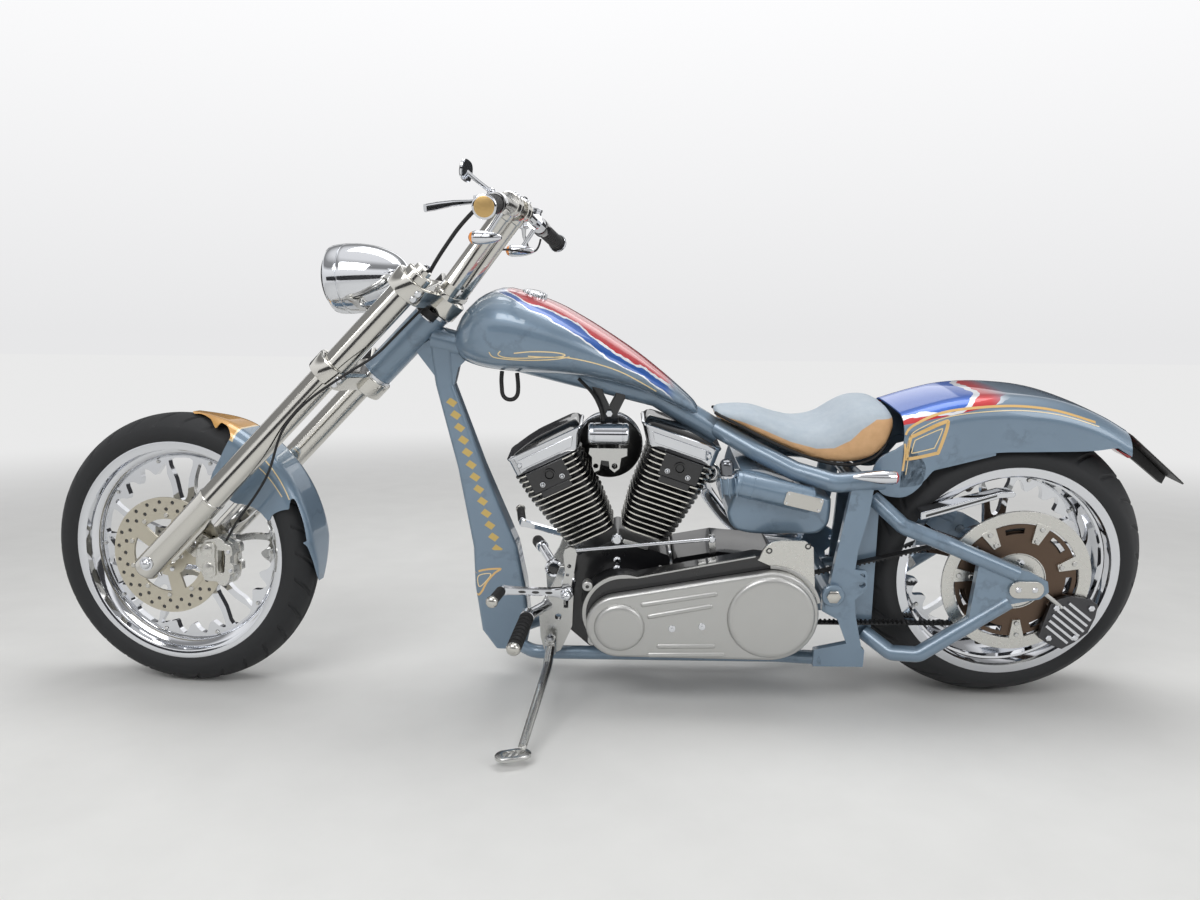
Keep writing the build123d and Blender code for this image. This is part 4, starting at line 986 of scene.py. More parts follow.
tank = skin(
    "tank_shell", [tank_section(*row) for row in smooth_rows(TANK_ROWS, 3)], tank_paint, smooth_angle=50
)
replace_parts(tank, "fuel_tank")
tank_tree = surface_of(tank)
trims = []
for side, tag in SIDES:
    routes = (
        ((-1240, 868), (-1232, 857), (-1205, 853), (-1150, 852), (-1090, 856), (-1056, 862)),
        (
            (-1213, 872), (-1218, 862), (-1190, 856), (-1110, 860), (-1062, 860), (-1000, 846), (-942, 824),
            (-896, 798), (-856, 772),
        ),
        ((-1182, 868), (-1140, 873), (-1090, 872), (-1066, 866), (-1090, 861), (-1150, 862)),
    )
    for index, route in enumerate(routes):
        trims.append(pinstripe(f"tank_line_{tag}_{index}", tank_tree, route, 2.6, side, cream_paint))
joined("tank_pinstripes", trims)
print("tank faces", len(tank.data.polygons))

# %% [markdown]
# ## Rear mudguard
# The rear mudguard is a deep U over the wide tyre. Its crown follows one long curve, and its lower edge
# steps up over the swinging arm and then follows the tyre. Each section hangs from the crown's curve
# down to that edge, so the two outlines give its shape.

# %% Rear mudguard
GUARD_CROWN = (
    (-286, 728), (-218, 750), (-150, 767), (-76, 774), (0, 772), (66, 764), (130, 747), (190, 722), (240, 694),
)
GUARD_EDGE = (
    (-286, 560), (-262, 562), (-236, 570), (-206, 606), (-147, 632), (-70, 646), (20, 649), (110, 651), (160, 654),
    (200, 660), (224, 656), (240, 650),
)
REAR_GUARD_HALF = 136
REAR_GUARD_CORNER = 54


def height_on(rows, x):
    """The height of a smooth outline at a drawn X."""
    path = smooth_rows(rows, 8)
    for (x0, z0), (x1, z1) in zip(path, path[1:]):
        if x0 <= x <= x1:
            return z0 + (z1 - z0) * (x - x0) / (x1 - x0)
    return path[-1][1]


def guard_section(x, inset):
    """An open U section, from the left lower edge over the crown to the right one."""
    half, corner = REAR_GUARD_HALF - inset, REAR_GUARD_CORNER - inset
    top = height_on(GUARD_CROWN, x) - inset
    foot = height_on(GUARD_EDGE, x)
    bend = top - corner
    made = []
    for step in range(7):
        made.append((x, -half, foot + (bend - foot) * step / 6))
    for step in range(1, 8):
        angle = pi / 2 * step / 8
        made.append((x, -half + corner * (1 - cos(angle)), bend + corner * sin(angle)))
    for step in range(6):
        across = (-half + corner) * (1 - step / 6)
        made.append((x, across, top + 5 * (1 - (across / half) ** 2) - 5 * (1 - ((half - corner) / half) ** 2)))
    return made + [(x, 0, top + 5 * ((half - corner) / half) ** 2)] + [(x, -y, z) for _, y, z in reversed(made)]


guard_stations = [-286 + 526 * i / 44 for i in range(45)]
outer = [guard_section(x, 0) for x in guard_stations]
inner = [list(reversed(guard_section(x, 3.5))) for x in guard_stations]
loops = [o + i for o, i in zip(outer, inner)]
GUARD_RIBBONS = (
    # the height at which a band starts and stops, and its colour
    (668, 676, tint(236, 238, 242)),
    (676, 706, tint(200, 32, 40)),
    (706, 713, tint(236, 238, 242)),
    (713, 790, tint(24, 92, 190)),
)


def guard_bands(made, color):
    """Flowing bands over the front of the rear mudguard's crown."""
    x, y, z = made.drawn(BIKE)
    sway = made.math("SINE", x / 34) * 7 + made.noise(9, detail=3) * 40 - 20
    rise = z - (x + 286) * 0.36 + sway
    above = made.step(z - (x + 286) * 0.24 - 706, 0, 2)
    within = above * (1 - made.step(x, -96, -30))
    return banded(made, color, rise, GUARD_RIBBONS, within)


guard_paint = blue_lacquer("rear mudguard lacquer", guard_bands)
rear_guard = skin("rear_mudguard", loops, guard_paint, smooth_angle=42)
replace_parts(rear_guard, "rear_fender")
guard_tree = surface_of(rear_guard)
trims = []
PANEL_OUT = ((-272, 678), (-262, 686), (-200, 716), (-190, 712), (-204, 650), (-212, 643), (-268, 630), (-276, 636))
PANEL_IN = ((-262, 671), (-256, 677), (-208, 700), (-202, 697), (-214, 660), (-220, 655), (-262, 644), (-266, 648))
EDGE_LINE = (
    (-283, 600), (-281, 640), (-282, 690), (-250, 716), (-195, 738), (-120, 750), (-30, 754), (60, 744), (150, 718),
)
for side, tag in SIDES:
    trims.append(pinstripe(f"panel_gold_{tag}", guard_tree, PANEL_OUT, 8, side, gold_paint, closed=True))
    trims.append(pinstripe(f"panel_cream_{tag}", guard_tree, PANEL_IN, 2.4, side, cream_paint, closed=True, lift=0.5))
    trims.append(pinstripe(f"edge_gold_{tag}", guard_tree, EDGE_LINE, 5, side, gold_paint, steps=10))
    lower = [(x + 8, z - 9) for x, z in EDGE_LINE]
    trims.append(pinstripe(f"edge_cream_{tag}", guard_tree, lower, 1.8, side, cream_paint, steps=10))
WEB = (
    (-352, 596), (-338, 630), (-304, 650), (-276, 662), (-232, 620), (-232, 576), (-246, 554), (-268, 538),
    (-292, 535), (-318, 540), (-334, 552), (-345, 572),
)
for side in (-1, 1):
    depth = 129.5 if side < 0 else -136
    trims.append(plate(f"mudguard_web_{side}", smooth_loop(WEB, 3), depth, 6.5, plain_blue, bevel=1.2))
joined("rear_mudguard_lines", trims)
print("rear mudguard faces", len(rear_guard.data.polygons))

# %% [markdown]
# ## Front mudguard
# The front mudguard hugs the tyre from a pointed horn at the top to a long tip behind. It is turned as
# a full U about the axle, and its side outline is then cut through it: the horn, the hook behind it,
# the skirt inside the fork leg and the long open notch over the tread.

# %% Front mudguard
FRONT_GUARD_R = 364
FRONT_GUARD_HALF = 70
FRONT_OUTLINE = (
    (37, 351), (40, 392), (240, 392), (420, 200), (428, 0), (392, -98), (362, -86), (358, -60), (357, -14), (355, 10),
    (352, 33), (345, 43), (351, 47), (350, 57), (347, 76), (342, 98), (335, 120), (328, 139), (321, 151), (315, 149),
    (313, 138), (312, 127), (303, 125), (286, 120), (268, 109), (262, 97), (253, 99), (240, 113), (221, 126),
    (192, 134), (166, 138), (112, 176), (113, 203), (124, 224), (137, 247), (148, 268), (158, 285), (165, 299),
    (161, 311), (152, 322), (140, 328), (130, 330), (120, 318), (97, 337), (61, 348),
)
inner_r = FRONT_GUARD_R - 3
section = []
for radius, half, corner in ((FRONT_GUARD_R, FRONT_GUARD_HALF, 34), (inner_r, FRONT_GUARD_HALF - 3, 31)):
    arm = [(196, half)]
    arm += [(196 + (radius - corner - 196) * i / 6, half) for i in range(1, 7)]
    arm += [
        (radius - corner + corner * sin(a), half - corner + corner * cos(a))
        for a in (pi / 2 * i / 8 for i in range(1, 9))
    ]
    arm += [(radius, (half - corner) * (1 - i / 4)) for i in range(1, 4)]
    whole = arm + [(radius, 0)] + [(r, -s) for r, s in reversed(arm)]
    section += whole if radius == FRONT_GUARD_R else list(reversed(whole))
rows = []
for step in range(97):
    angle = radians(-18 + 108 * step / 96)
    late = min(max((degrees(angle) - 62) / 22, 0), 1)
    share = late * late * (3 - 2 * late)
    tip = min(max((6 - degrees(angle)) / 18, 0), 1)
    row = []
    for r, s in section:
        near = r - 9 * share * (r > 300)
        row.append((
            FRONT_AXLE_X + near * cos(angle), s * (1 - 0.62 * share) * (1 - 0.72 * tip),
            FRONT_AXLE_Z + near * sin(angle),
        ))
    rows.append(row)


def horn_mask(made, color):
    """A gold horn, parted from the blue by a cream line."""
    x, y, z = made.drawn(FORK)
    ahead, over = x - FRONT_AXLE_X, z - FRONT_AXLE_Z
    edge = ahead - over * 0.31 - 78
    reach = made.math("SQRT", ahead * ahead + over * over)
    gold = made.mix(made.noise(14, detail=3), tint(204, 148, 74), tint(226, 176, 100))
    horn = made.step(reach, 333, 334)
    color = made.mix((1 - made.step(edge, 3.5, 4.5)) * horn, color, tint(240, 216, 170))
    return made.mix((1 - made.step(edge, -1, 0)) * made.step(reach, 337, 338), color, gold)


front_paint = blue_lacquer("front mudguard lacquer", horn_mask)
front_guard = skin("front_mudguard", rows, front_paint, "steering", smooth_angle=42)


def prism(outline, half):
    """A closed bar through the machine from a drawn outline about the front axle."""
    count = len(outline)
    points = [(FRONT_AXLE_X + x, y, FRONT_AXLE_Z + z) for y in (-half, half) for x, z in outline]
    faces = [tuple(range(count)), tuple(range(2 * count - 1, count - 1, -1))]
    faces += [(i, (i + 1) % count, count + (i + 1) % count, count + i) for i in range(count)]
    return build("cutter", points, faces, plain_blue, "steering", smooth_angle=180)


carve(front_guard, prism(smooth_loop(FRONT_OUTLINE, 3), 120), "INTERSECT")
front_guard.data.set_sharp_from_angle(angle=radians(42))
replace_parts(front_guard, "front_fender")
front_tree = surface_of(front_guard)
trims = []
for side, tag in SIDES:
    for index, route in enumerate((
        ((206, 282), (250, 245), (282, 206), (306, 164), (322, 122), (331, 86), (336, 54)),
        ((196, 262), (222, 240), (252, 214), (276, 186), (296, 156)),
    )):
        spots = [(FRONT_AXLE_X + x, FRONT_AXLE_Z + z) for x, z in route]
        trims.append(pinstripe(f"front_line_{tag}_{index}", front_tree, spots, 2.2, side, cream_paint, "steering"))
joined("front_mudguard_lines", trims)
print("front mudguard faces", len(front_guard.data.polygons))

# %% [markdown]
# ## Fork, lamp and controls
# The fork legs are polished alloy tubes, so they are turned about the rake. A raised ring marks the top
# of each slider, and the foot is rolled over. Everything here is drawn in the fork's own frame and then
# turned with it, so it steers with the solids.

# %% Fork legs
LEG_R = 32.5
LEG_Y = 142.5
UP_LEG = (sin(RAKE), 0, cos(RAKE))
polished = metal("polished fork alloy", tint(212, 210, 204), 0.13, 0.06, scale=14, height=0.00002, stretch=(1, 1, 1))
leg_profile = (
    (0, 0), (22, 0), (28, 2), (31, 6), (32.5, 12), (32.5, 257), (33.4, 258), (33.4, 263), (32.0, 264.5),
    (31.0, 266), (31.0, 1004), (30.2, 1007), (28, 1009), (21, 1010), (20, 1012), (20, 1018), (18.5, 1021), (0, 1022),
)
legs = []
for side, tag in SIDES:
    pieces = [turned(
        f"{tag}_leg", leg_profile, fork_point(-38, 0, side * LEG_Y), UP_LEG, polished, "steering", around=72,
    )]
    rib = [(-24, 0), (-14, -9), (120, -9), (168, 0), (176, 6), (-24, 6)]
    lug = [fork_point(52 + a * 0.9, -29 + b, 0) for a, b in rib]
    pieces.append(plate(
        f"{tag}_leg_rib", [(p.x, p.z) for p in lug], -side * LEG_Y - 7, 14, polished, "steering", bevel=1.5,
    ))
    cap = ((0, 14), (6, 13), (10, 10), (12, 6), (12.5, 3), (17, 2.5), (17, 0), (0, 0))
    seat = (FRONT_AXLE_X, side * (LEG_Y + LEG_R - 1.5), FRONT_AXLE_Z)
    pieces.append(turned(f"{tag}_axle_cap", cap, seat, (0, side, 0), chrome, "steering", around=40))
    pinch = ((0, 8), (4, 8), (5, 7), (5, -4), (0, -4))
    pieces.append(turned(
        f"{tag}_pinch_bolt", pinch, fork_point(-18, -30, side * LEG_Y), (cos(RAKE), 0, -sin(RAKE)), chrome,
        "steering", around=20,
    ))
    legs.extend(pieces)
legs = joined("fork_legs_polished", legs)
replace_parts(legs, "fork_legs")

# %% [markdown]
# The yokes are thick plates that clamp each leg with two pinch bolts. The solids already have that plan.
# Rounded rims are added here, since a milled yoke catches a bright line along every edge.

# %% Yokes


def yoke_plan():
    """The outline of a yoke: X ahead of the legs, Y across."""
    made = arc_points(0, LEG_Y, 45.5, -28, 172)
    made += arc_points(-46, 0, 44, 96, 264)
    made += arc_points(0, -LEG_Y, 45.5, 188, 388)
    made += [(8, -60), (8, 60)]
    return made


LOWER_YOKE, UPPER_YOKE, YOKE_THICK = 640, 908, 44
for name, foot in (("lower_triple_clamp", LOWER_YOKE), ("upper_triple_clamp", UPPER_YOKE)):
    layers = []
    for height, shrink in ((0, 3), (1, 1), (3.5, 0), (YOKE_THICK - 3.5, 0), (YOKE_THICK - 1, 1), (YOKE_THICK, 3)):
        ring = []
        for x, y in yoke_plan():
            ring.append(fork_point(foot + height, x * (1 - shrink / 90) - 1, y * (1 - shrink / 190)))
        layers.append(ring)
    block = skin(name + "_plate", layers, polished, "steering", smooth_angle=34)
    bore = ((0, -60), (LEG_R - 1.2, -60), (LEG_R - 1.2, 60), (0, 60))
    for side in (-1, 1):
        middle = fork_point(foot + YOKE_THICK / 2, 0, side * LEG_Y)
        carve(block, turned("bore", bore, middle, UP_LEG, polished, "steering"), "DIFFERENCE")
    pieces = [block]
    for side in (-1, 1):
        bolt = ((0, 6), (6, 6), (7.5, 4.5), (7.5, -1), (0, -1))
        for height in (14, 30):
            spot = fork_point(foot + height, -34, side * (LEG_Y + 28))
            pieces.append(turned(
                "yoke_bolt", bolt, spot, (0.6 * cos(RAKE), side * 0.8, -0.6 * sin(RAKE)), chrome, "steering",
                around=20,
            ))
    if foot == LOWER_YOKE:
        pieces.append(turned("stem", ((16, 0), (16, 226)), fork_point(683, -46, 0), UP_LEG, satin_alloy, "steering"))
        cup = ((16, 0), (40, 0), (40, 8), (16, 8))
        for height in (684, 897):
            pieces.append(turned("head_cup", cup, fork_point(height, -46, 0), UP_LEG, chrome, "steering"))
    else:
        nut = ((0, 20), (14, 20), (17, 17), (17, 0), (0, 0))
        pieces.append(turned(
            "stem_nut", nut, fork_point(foot + YOKE_THICK + 10, -46, 0), UP_LEG, chrome, "steering", around=6,
        ))
    yoke = joined(name + "_milled", pieces)
    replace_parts(yoke, name)
print("fork dressed")

# %% [markdown]
# The lamp is a spun bullet. A fine gap parts its rim from its shell, and a bowl with a bulb sits behind
# clear glass, because a flat chrome wall behind the lens would look like a toy.

# %% Headlamp
LAMP = Vector((-1594, 0, 1019))
LAMP_DIR = Vector((-cos(radians(4)), 0, -sin(radians(4))))


def lamp_tail(t):
    """A point of the shell's curve from the rim to the tail: height along the axis and radius."""
    points = ((0, 83), (-75, 83), (-150, 49.8), (-150, 0))
    weights = ((1 - t) ** 3, 3 * t * (1 - t) ** 2, 3 * t * t * (1 - t), t**3)
    return tuple(sum(w * p[i] for w, p in zip(weights, points)) for i in (0, 1))


shell_profile = [(radius, height) for height, radius in (lamp_tail(1 - step / 28) for step in range(29))]
shell_profile += [
    (82.6, 1.0), (81.6, 1.6), (81.6, 3.0), (82.8, 3.8), (82.9, 8), (82.4, 20), (81, 30), (79, 35.5), (76.5, 37),
    (74, 36.5), (73, 34),
]
shell_profile += [(68, 18), (58, -2), (44, -18), (26, -28), (10, -31), (0, -31)]
glass_profile = [
    (0, 58), (25, 57), (45, 53.5), (62, 47), (73.5, 38), (74, 36), (73.5, 34), (61, 43.5), (44, 50), (25, 53.5),
    (0, 54.5),
]
bulb_profile = [(0, 12), (5, 11), (7.5, 7), (7.5, -14), (11, -18), (11, -31), (0, -31)]
lamp = [turned("lamp_bullet", shell_profile, LAMP, LAMP_DIR, chrome, "steering", around=96)]
lamp.append(turned("lamp_bulb", bulb_profile, LAMP, LAMP_DIR, cream_paint, "steering", around=24))
stalk_foot = fork_point(925, 8.3)
stalk_knee = fork_point(925, 36)
lamp.append(tube("lamp_stem", (stalk_foot, stalk_knee), 15, chrome, "steering", smooth=False))
lamp.append(tube("lamp_arm", (fork_point(928, 24), fork_point(905, 48), fork_point(880, 70)), 11, chrome, "steering"))
bracket = [
    fork_point(a, b, 0)
    for a, b in ((874, 48), (960, 30), (968, 40), (956, 52), (886, 82), (866, 76), (862, 58))
]
for depth in (-14, 8):
    lamp.append(plate("lamp_bracket", [(p.x, p.z) for p in bracket], depth, 6, chrome, "steering", bevel=1))
lamp = joined("headlamp_bullet", lamp)
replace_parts(lamp, "headlamp_shell")
lens = turned("headlamp_glass", glass_profile, LAMP, LAMP_DIR, clear_glass, "steering", around=96)
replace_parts(lens, "headlamp_lens")

# %% [markdown]
# Two fat risers lean back from the upper yoke to the bar. Each ends in a drum that clamps the bar with
# two screws. Below the yoke, each has a black bush on a chrome washer.

# %% Risers
BAR_MID = Vector((-1189, 0, 1185))
BAR_R = 12.7
riser_foot = fork_point(UPPER_YOKE + YOKE_THICK + 8, -46)
risers = []
plan = [fork_point(952, -46 + x, y) for x, y in arc_points(0, 48, 26, 0, 180) + arc_points(0, -48, 26, 180, 360)]
layers = []
for height, shrink in ((0.2, 0), (9.5, 0), (11.5, 1.0), (12, 2.4)):
    layers.append([p + Vector(UP_LEG) * height + (fork_point(952, -46) - p).normalized() * shrink for p in plan])
risers.append(skin("riser_plate", layers, polished, "steering", smooth_angle=34))
for side in (-1, 1):
    foot = Vector((riser_foot.x, side * 48, riser_foot.z))
    top = Vector((BAR_MID.x, side * 48, BAR_MID.z))
    reach = (top - foot).length
    post = (
        (0, 0), (22, 0), (22, 24), (22.6, 25), (22.6, 27), (22, 28), (22, reach - 34), (24, reach - 32),
        (24, reach - 16), (20, reach - 10), (0, reach - 6),
    )
    risers.append(turned("riser_post", post, foot, top - foot, polished, "steering"))
    drum = ((13, -24), (25, -24), (27, -22), (27, -9), (26, -8), (26, 8), (27, 9), (27, 22), (25, 24), (13, 24))
    risers.append(turned("riser_drum", drum, top, RIGHT, polished, "steering", closed=True))
    along = (top - foot).normalized()
    for y in (-15, 15):
        screw = ((0, 5), (2.6, 5), (2.6, 2.4), (3, 6), (5.6, 6), (6.4, 5), (6.4, -8), (0, -8))
        risers.append(turned(
            "riser_screw", screw, top + along * 24 + Vector((0, y, 0)), along, chrome, "steering", around=18,
        ))
    bush = ((14, 0), (24, 0), (25, 2), (25, 16), (24, 18), (14, 18))
    risers.append(turned("riser_bush", bush, fork_point(889.5, -46, side * 48), UP_LEG, black_rubber, "steering"))
    washer = ((0, -3), (26, -3), (26, 0), (0, 0))
    risers.append(turned("riser_washer", washer, fork_point(889.5, -46, side * 48), UP_LEG, chrome, "steering"))
risers = joined("risers_polished", risers)
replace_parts(risers, "risers")

# %% [markdown]
# The grips are ribbed rubber with a polished metal cap, which is the brightest spot of the bars in the
# photograph. Its warm gold colour is a painted reflection of the warm ground. The levers are flat
# polished blades, the left mirror turns its wedge to the camera, and a bullet signal with an amber lens
# hangs under each clamp.

# %% Grips, levers, mirrors and signals
GRIP_END = Vector((-1160, 366, 1138))
# The caps' gold tint is a painted reflection of the warm ground in their polished ends.
warm_reflection_gold = metal("anodised gold", tint(214, 180, 122), 0.40, 0.10, scale=60)
mirror_glass = metal("mirror glass", tint(200, 204, 210), 0.03, 0.02)


def side_of(vector, side):
    """The same drawn point on the left or the right."""
    return Vector((vector.x, vector.y * side, vector.z))


bend = Vector((BAR_MID.x, 110, BAR_MID.z))
grip_way = (GRIP_END - bend).normalized()


def bar_point(back, side):
    """A point of the bar's end, this far in from the cap."""
    return side_of(GRIP_END - grip_way * back, side)


def blade(name, spots, material):
    """A flat bar through spots of a drawn point, half height and half thickness."""
    sections = []
    for index, (spot, tall, thick) in enumerate(spots):
        before = spots[max(index - 1, 0)][0]
        after = spots[min(index + 1, len(spots) - 1)][0]
        way = (after - before).normalized()
        up = Vector((0, 0, 1))
        out = way.cross(up).normalized()
        up = out.cross(way)
        ring = []
        for angle in angles(16):
            ring.append(spot + up * tall * squashed(cos(angle), 0.6) + out * thick * squashed(sin(angle), 0.6))
        sections.append(ring)
    return skin(name, sections, material, "steering", smooth_angle=60)


grip_profile = [(13.0, 0), (19, 1)]
for ring_index in range(9):
    start = 8 + ring_index * 12.6
    grip_profile += [(19, start), (17.6, start + 1.2), (17.6, start + 2.6), (19, start + 3.8)]
grip_profile += [(19, 118), (22, 120), (22, 124), (13, 125)]
grips, levers, mirrors, signals = [], [], [], []
for side in (-1, 1):
    inner = bar_point(130, side)
    way = side_of(grip_way, side)
    grips.append(turned("grip_sleeve", grip_profile, inner, way, black_rubber, "steering", around=40))
    ring = ((17, 130), (22, 130), (24, 128.6), (24.4, 127), (24.4, 124.5), (20, 123), (17, 123))
    grips.append(turned("grip_ring", ring, inner, way, chrome, "steering", around=48, closed=True))
    cap = ((0, 131), (18.6, 131), (20, 130.4), (20.4, 129), (20.4, 123), (0, 123))
    grips.append(turned("grip_cap", cap, inner, way, warm_reflection_gold, "steering", around=48))
    perch = bar_point(175, side)
    pivot = perch + Vector((-38, perch.y * 0.04, 2))
    clamp = ((BAR_R, -22), (19, -22), (20, -21), (20, 21), (19, 22), (BAR_R, 22))
    levers.append(turned("perch_clamp", clamp, perch, way, chrome, "steering", around=40, closed=True))
    arm = [perch + (pivot - perch) * t for t in (0.35, 0.7, 1.0)]
    levers.append(blade("perch_arm", [(arm[0], 11, 13), (arm[1], 10, 11), (arm[2], 9, 9)], chrome))
    pin = ((0, -12), (9, -12), (11, -11), (11, 11), (9, 12), (0, 12))
    levers.append(turned("lever_pin", pin, pivot, (0, 0, 1), chrome, "steering", around=32))
    tip = side_of(Vector((-1257, 425, 1128)), side)
    mid = pivot.lerp(tip, 0.5) + Vector((-5, 0, 2))
    spots = [
        (pivot, 5, 7), (pivot.lerp(mid, 0.45), 5, 6), (mid, 6.5, 4), (mid.lerp(tip, 0.6), 8, 3.4), (tip, 7.5, 3.2),
    ]
    levers.append(blade("lever_blade", spots, chrome))
    box = bar_point(147, side)
    switch = ((BAR_R, -16), (19, -16), (22, -13), (22, 11), (20, 14), (BAR_R, 14))
    levers.append(turned("switch_box", switch, box, way, gloss_black, "steering", around=36, closed=True))
    if side > 0:
        cup = perch + Vector((-14, 2, 20))
        cup_profile = ((0, -8), (20, -8), (22, -6), (22, 12), (24, 13), (24, 18), (21, 20), (0, 20))
        levers.append(turned("fluid_cup", cup_profile, cup, (0.12, 0, 1), chrome, "steering", around=40))
    foot = bar_point(183, side) + Vector((-14, 0, 22))
    head_spot = side_of(Vector((-1232, 250, 1226)), side)
    ball = ((0, -9), (7, -8), (9, -3), (9, 4), (6, 8), (0, 9))
    mirrors.append(turned("mirror_ball", ball, foot, (head_spot - foot), chrome, "steering", around=24))
    stalk = (foot, foot.lerp(head_spot, 0.5) + Vector((-6, 0, 2)), head_spot)
    mirrors.append(tube("mirror_stalk", stalk, 4.6, chrome, "steering"))
    tilt = Matrix.Rotation(radians(12), 3, "Y")
    back_layers = []
    for shift, scale in ((6.5, 0.0), (5.5, 0.55), (3, 0.86), (0, 1.0), (-4, 1.0)):
        ring = []
        for angle in angles(28):
            c, s = cos(angle), sin(angle)
            wide = 37 * squashed(c, 0.7) * max(scale, 0.02)
            tall = (21 * squashed(s, 0.8) + 3 * c * side) * max(scale, 0.02)
            ring.append(head_spot + tilt @ Vector((-shift, wide, tall)))
        back_layers.append(ring)
    mirrors.append(skin("mirror_back", back_layers, chrome, "steering", smooth_angle=50))
    face = [
        head_spot + tilt @ Vector((4.4, (p - head_spot).y * 0.93, (tilt.inverted() @ (p - head_spot)).z * 0.9))
        for p in back_layers[-1]
    ]
    face_back = [p + tilt @ Vector((-1.5, 0, 0)) for p in face]
    mirrors.append(skin("mirror_face", [face_back, face], mirror_glass, "steering"))
    seat = bar_point(183, side)
    lamp_spot = Vector((seat.x - 36, seat.y * 0.86, seat.z - 70))
    bullet = ((0, -38), (4, -37), (8, -30), (12, -16), (14.4, 0), (15, 12), (15, 22), (14, 24), (13.6, 26), (0, 26))
    signals.append(turned("signal_shell", bullet, lamp_spot, (-1, 0, 0), chrome, "steering", around=40))
    glass = ((0, 36), (5, 35.4), (9.5, 33), (12.6, 29), (13.2, 26), (13.2, 24.5), (0, 24.5))
    signals.append(turned("signal_lens", glass, lamp_spot, (-1, 0, 0), amber_glass, "steering", around=40))
    signals.append(tube(
        "signal_stalk", (Vector((seat.x, seat.y * 0.86, seat.z - 18)), lamp_spot), 5.5, chrome, "steering",
        smooth=False,
    ))
for name, pieces, old in (
    ("grips_ribbed", grips, "grips"),
    ("hand_controls", levers, "hand_levers"),
    ("mirrors_wedge", mirrors, "mirrors"),
    ("front_signals_bullet", signals, "front_signals"),
):
    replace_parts(joined(name, pieces), old)
bar_end, bar_bend = bar_point(6, -1), side_of(bend, -1)
bar_route = [bar_end, bar_bend + (bar_end - bar_bend).normalized() * 14, bar_bend + Vector((0, 14, 0))]
bar_route += [side_of(p, -1) for p in reversed(bar_route)]
bar = tube("bar_bent", bar_route, BAR_R, chrome, "steering")
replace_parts(bar, "handlebar")
print("hand controls dressed")

# %% [markdown]
# ## Front brake
# The rotor is a warm grey ring with two rows of drilled holes, riveted to a cast carrier. The caliper
# sits behind the left leg. It is built as stacked plates with windows, because that's how its stepped
# face reads from the side.

# %% Front disc and caliper
outer = circle_outline(0, 0, 146, 96)
holes = [circle_outline(0, 0, 103, 72)]
for row_r, count, turn in ((116, 24, 0), (134, 24, 7.5)):
    for index in range(count):
        angle = radians(turn + 360 * index / count)
        holes.append(circle_outline(row_r * cos(angle), row_r * sin(angle), 5, 12))
rotor = [plate("rotor", outer, 85, 5, disc_steel, "front_wheel", origin=FRONT_HUB, holes=holes)]
windows = [circle_outline(0, 0, 25, 40)]
for index in range(5):
    turn = 360 * index / 5 + 36 + PAIR_TURN
    windows.append(arc_points(0, 0, 92, turn - 24, turn + 24, 10) + arc_points(0, 0, 52, turn + 17, turn - 17, 8))
# A gloss black ring inside the rotor's thickness shows through the drilled holes as painted shade, where the real holes
# are open.
rotor.append(plate(
    "rotor_core", circle_outline(0, 0, 143, 96), 86.8, 1.4, gloss_black, "front_wheel", origin=FRONT_HUB,
    holes=[circle_outline(0, 0, 105, 72)],
))
rotor.append(plate(
    "rotor_carrier", circle_outline(0, 0, 106, 80), 84.2, 6.6, disc_steel, "front_wheel", origin=FRONT_HUB,
    holes=windows, bevel=0.8,
))
for index in range(10):
    angle = radians(36 * index + 18)
    rivet = ((0, 3), (5, 3), (6.5, 1.5), (6.5, -1), (0, -1))
    spot = (FRONT_AXLE_X + 101 * cos(angle), -90.5, FRONT_AXLE_Z + 101 * sin(angle))
    rotor.append(turned("rivet", rivet, spot, LEFT, satin_alloy, "front_wheel", around=14))
for index in range(5):
    angle = radians(72 * index)
    bolt = ((0, 5), (5, 5), (6, 4), (6, -1), (0, -1))
    spot = (FRONT_AXLE_X + 36 * cos(angle), -90.5, FRONT_AXLE_Z + 36 * sin(angle))
    rotor.append(turned("disc_bolt", bolt, spot, LEFT, chrome, "front_wheel", around=16))
rotor.append(turned(
    "disc_hub", ((24, 58.5), (44, 58.5), (44, 85), (24, 85)), FRONT_HUB, LEFT, satin_alloy, "front_wheel",
    closed=True,
))
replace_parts(joined("front_disc_drilled", rotor), "front_disc")

body_out = [
    (92, 14), (100, 40), (112, 42), (118, 52), (140, 56), (152, 60), (166, 52), (170, 44), (184, 40), (188, 30),
    (188, 16), (182, 12), (182, -4), (190, -10), (190, -28), (180, -34), (176, -50), (166, -62), (150, -60),
    (144, -52), (124, -52), (112, -50), (104, -30), (90, -12),
]
pad_window = [(150, 26), (166, 26), (168, 12), (166, -14), (164, -28), (150, -28), (148, -12), (150, 6)]
caliper = [plate(
    "caliper_outer", body_out, 99.5, 18, machined, "steering", origin=FRONT_HUB, holes=[pad_window], bevel=1.6,
)]
caliper.append(plate("caliper_inner", body_out, 63, 17.5, machined, "steering", origin=FRONT_HUB, bevel=1.6))
bridge = [(152, 58), (166, 50), (184, 38), (187, 18), (170, 20), (158, 40)]
caliper.append(plate("caliper_bridge", bridge, 80, 20, machined, "steering", origin=FRONT_HUB, bevel=1))
bridge = [(166, -60), (176, -48), (186, -30), (187, -14), (172, -16), (160, -38)]
caliper.append(plate("caliper_bridge_low", bridge, 80, 20, machined, "steering", origin=FRONT_HUB, bevel=1))
boss = [
    (98, 30), (116, 34), (122, 46), (140, 46), (146, 34), (144, 10), (146, -12), (144, -36), (126, -44), (112, -36),
    (108, -20), (98, -8),
]
caliper.append(plate("caliper_boss", boss, 117, 6, machined, "steering", origin=FRONT_HUB, bevel=1.6))
hanger = [
    (24, 58), (34, 72), (66, 94), (84, 86), (92, 66), (112, 60), (126, 50), (122, 30), (104, 2), (80, 4), (60, 20),
    (40, 30),
]
opening = [(58, 46), (74, 56), (88, 44), (84, 28), (66, 30)]
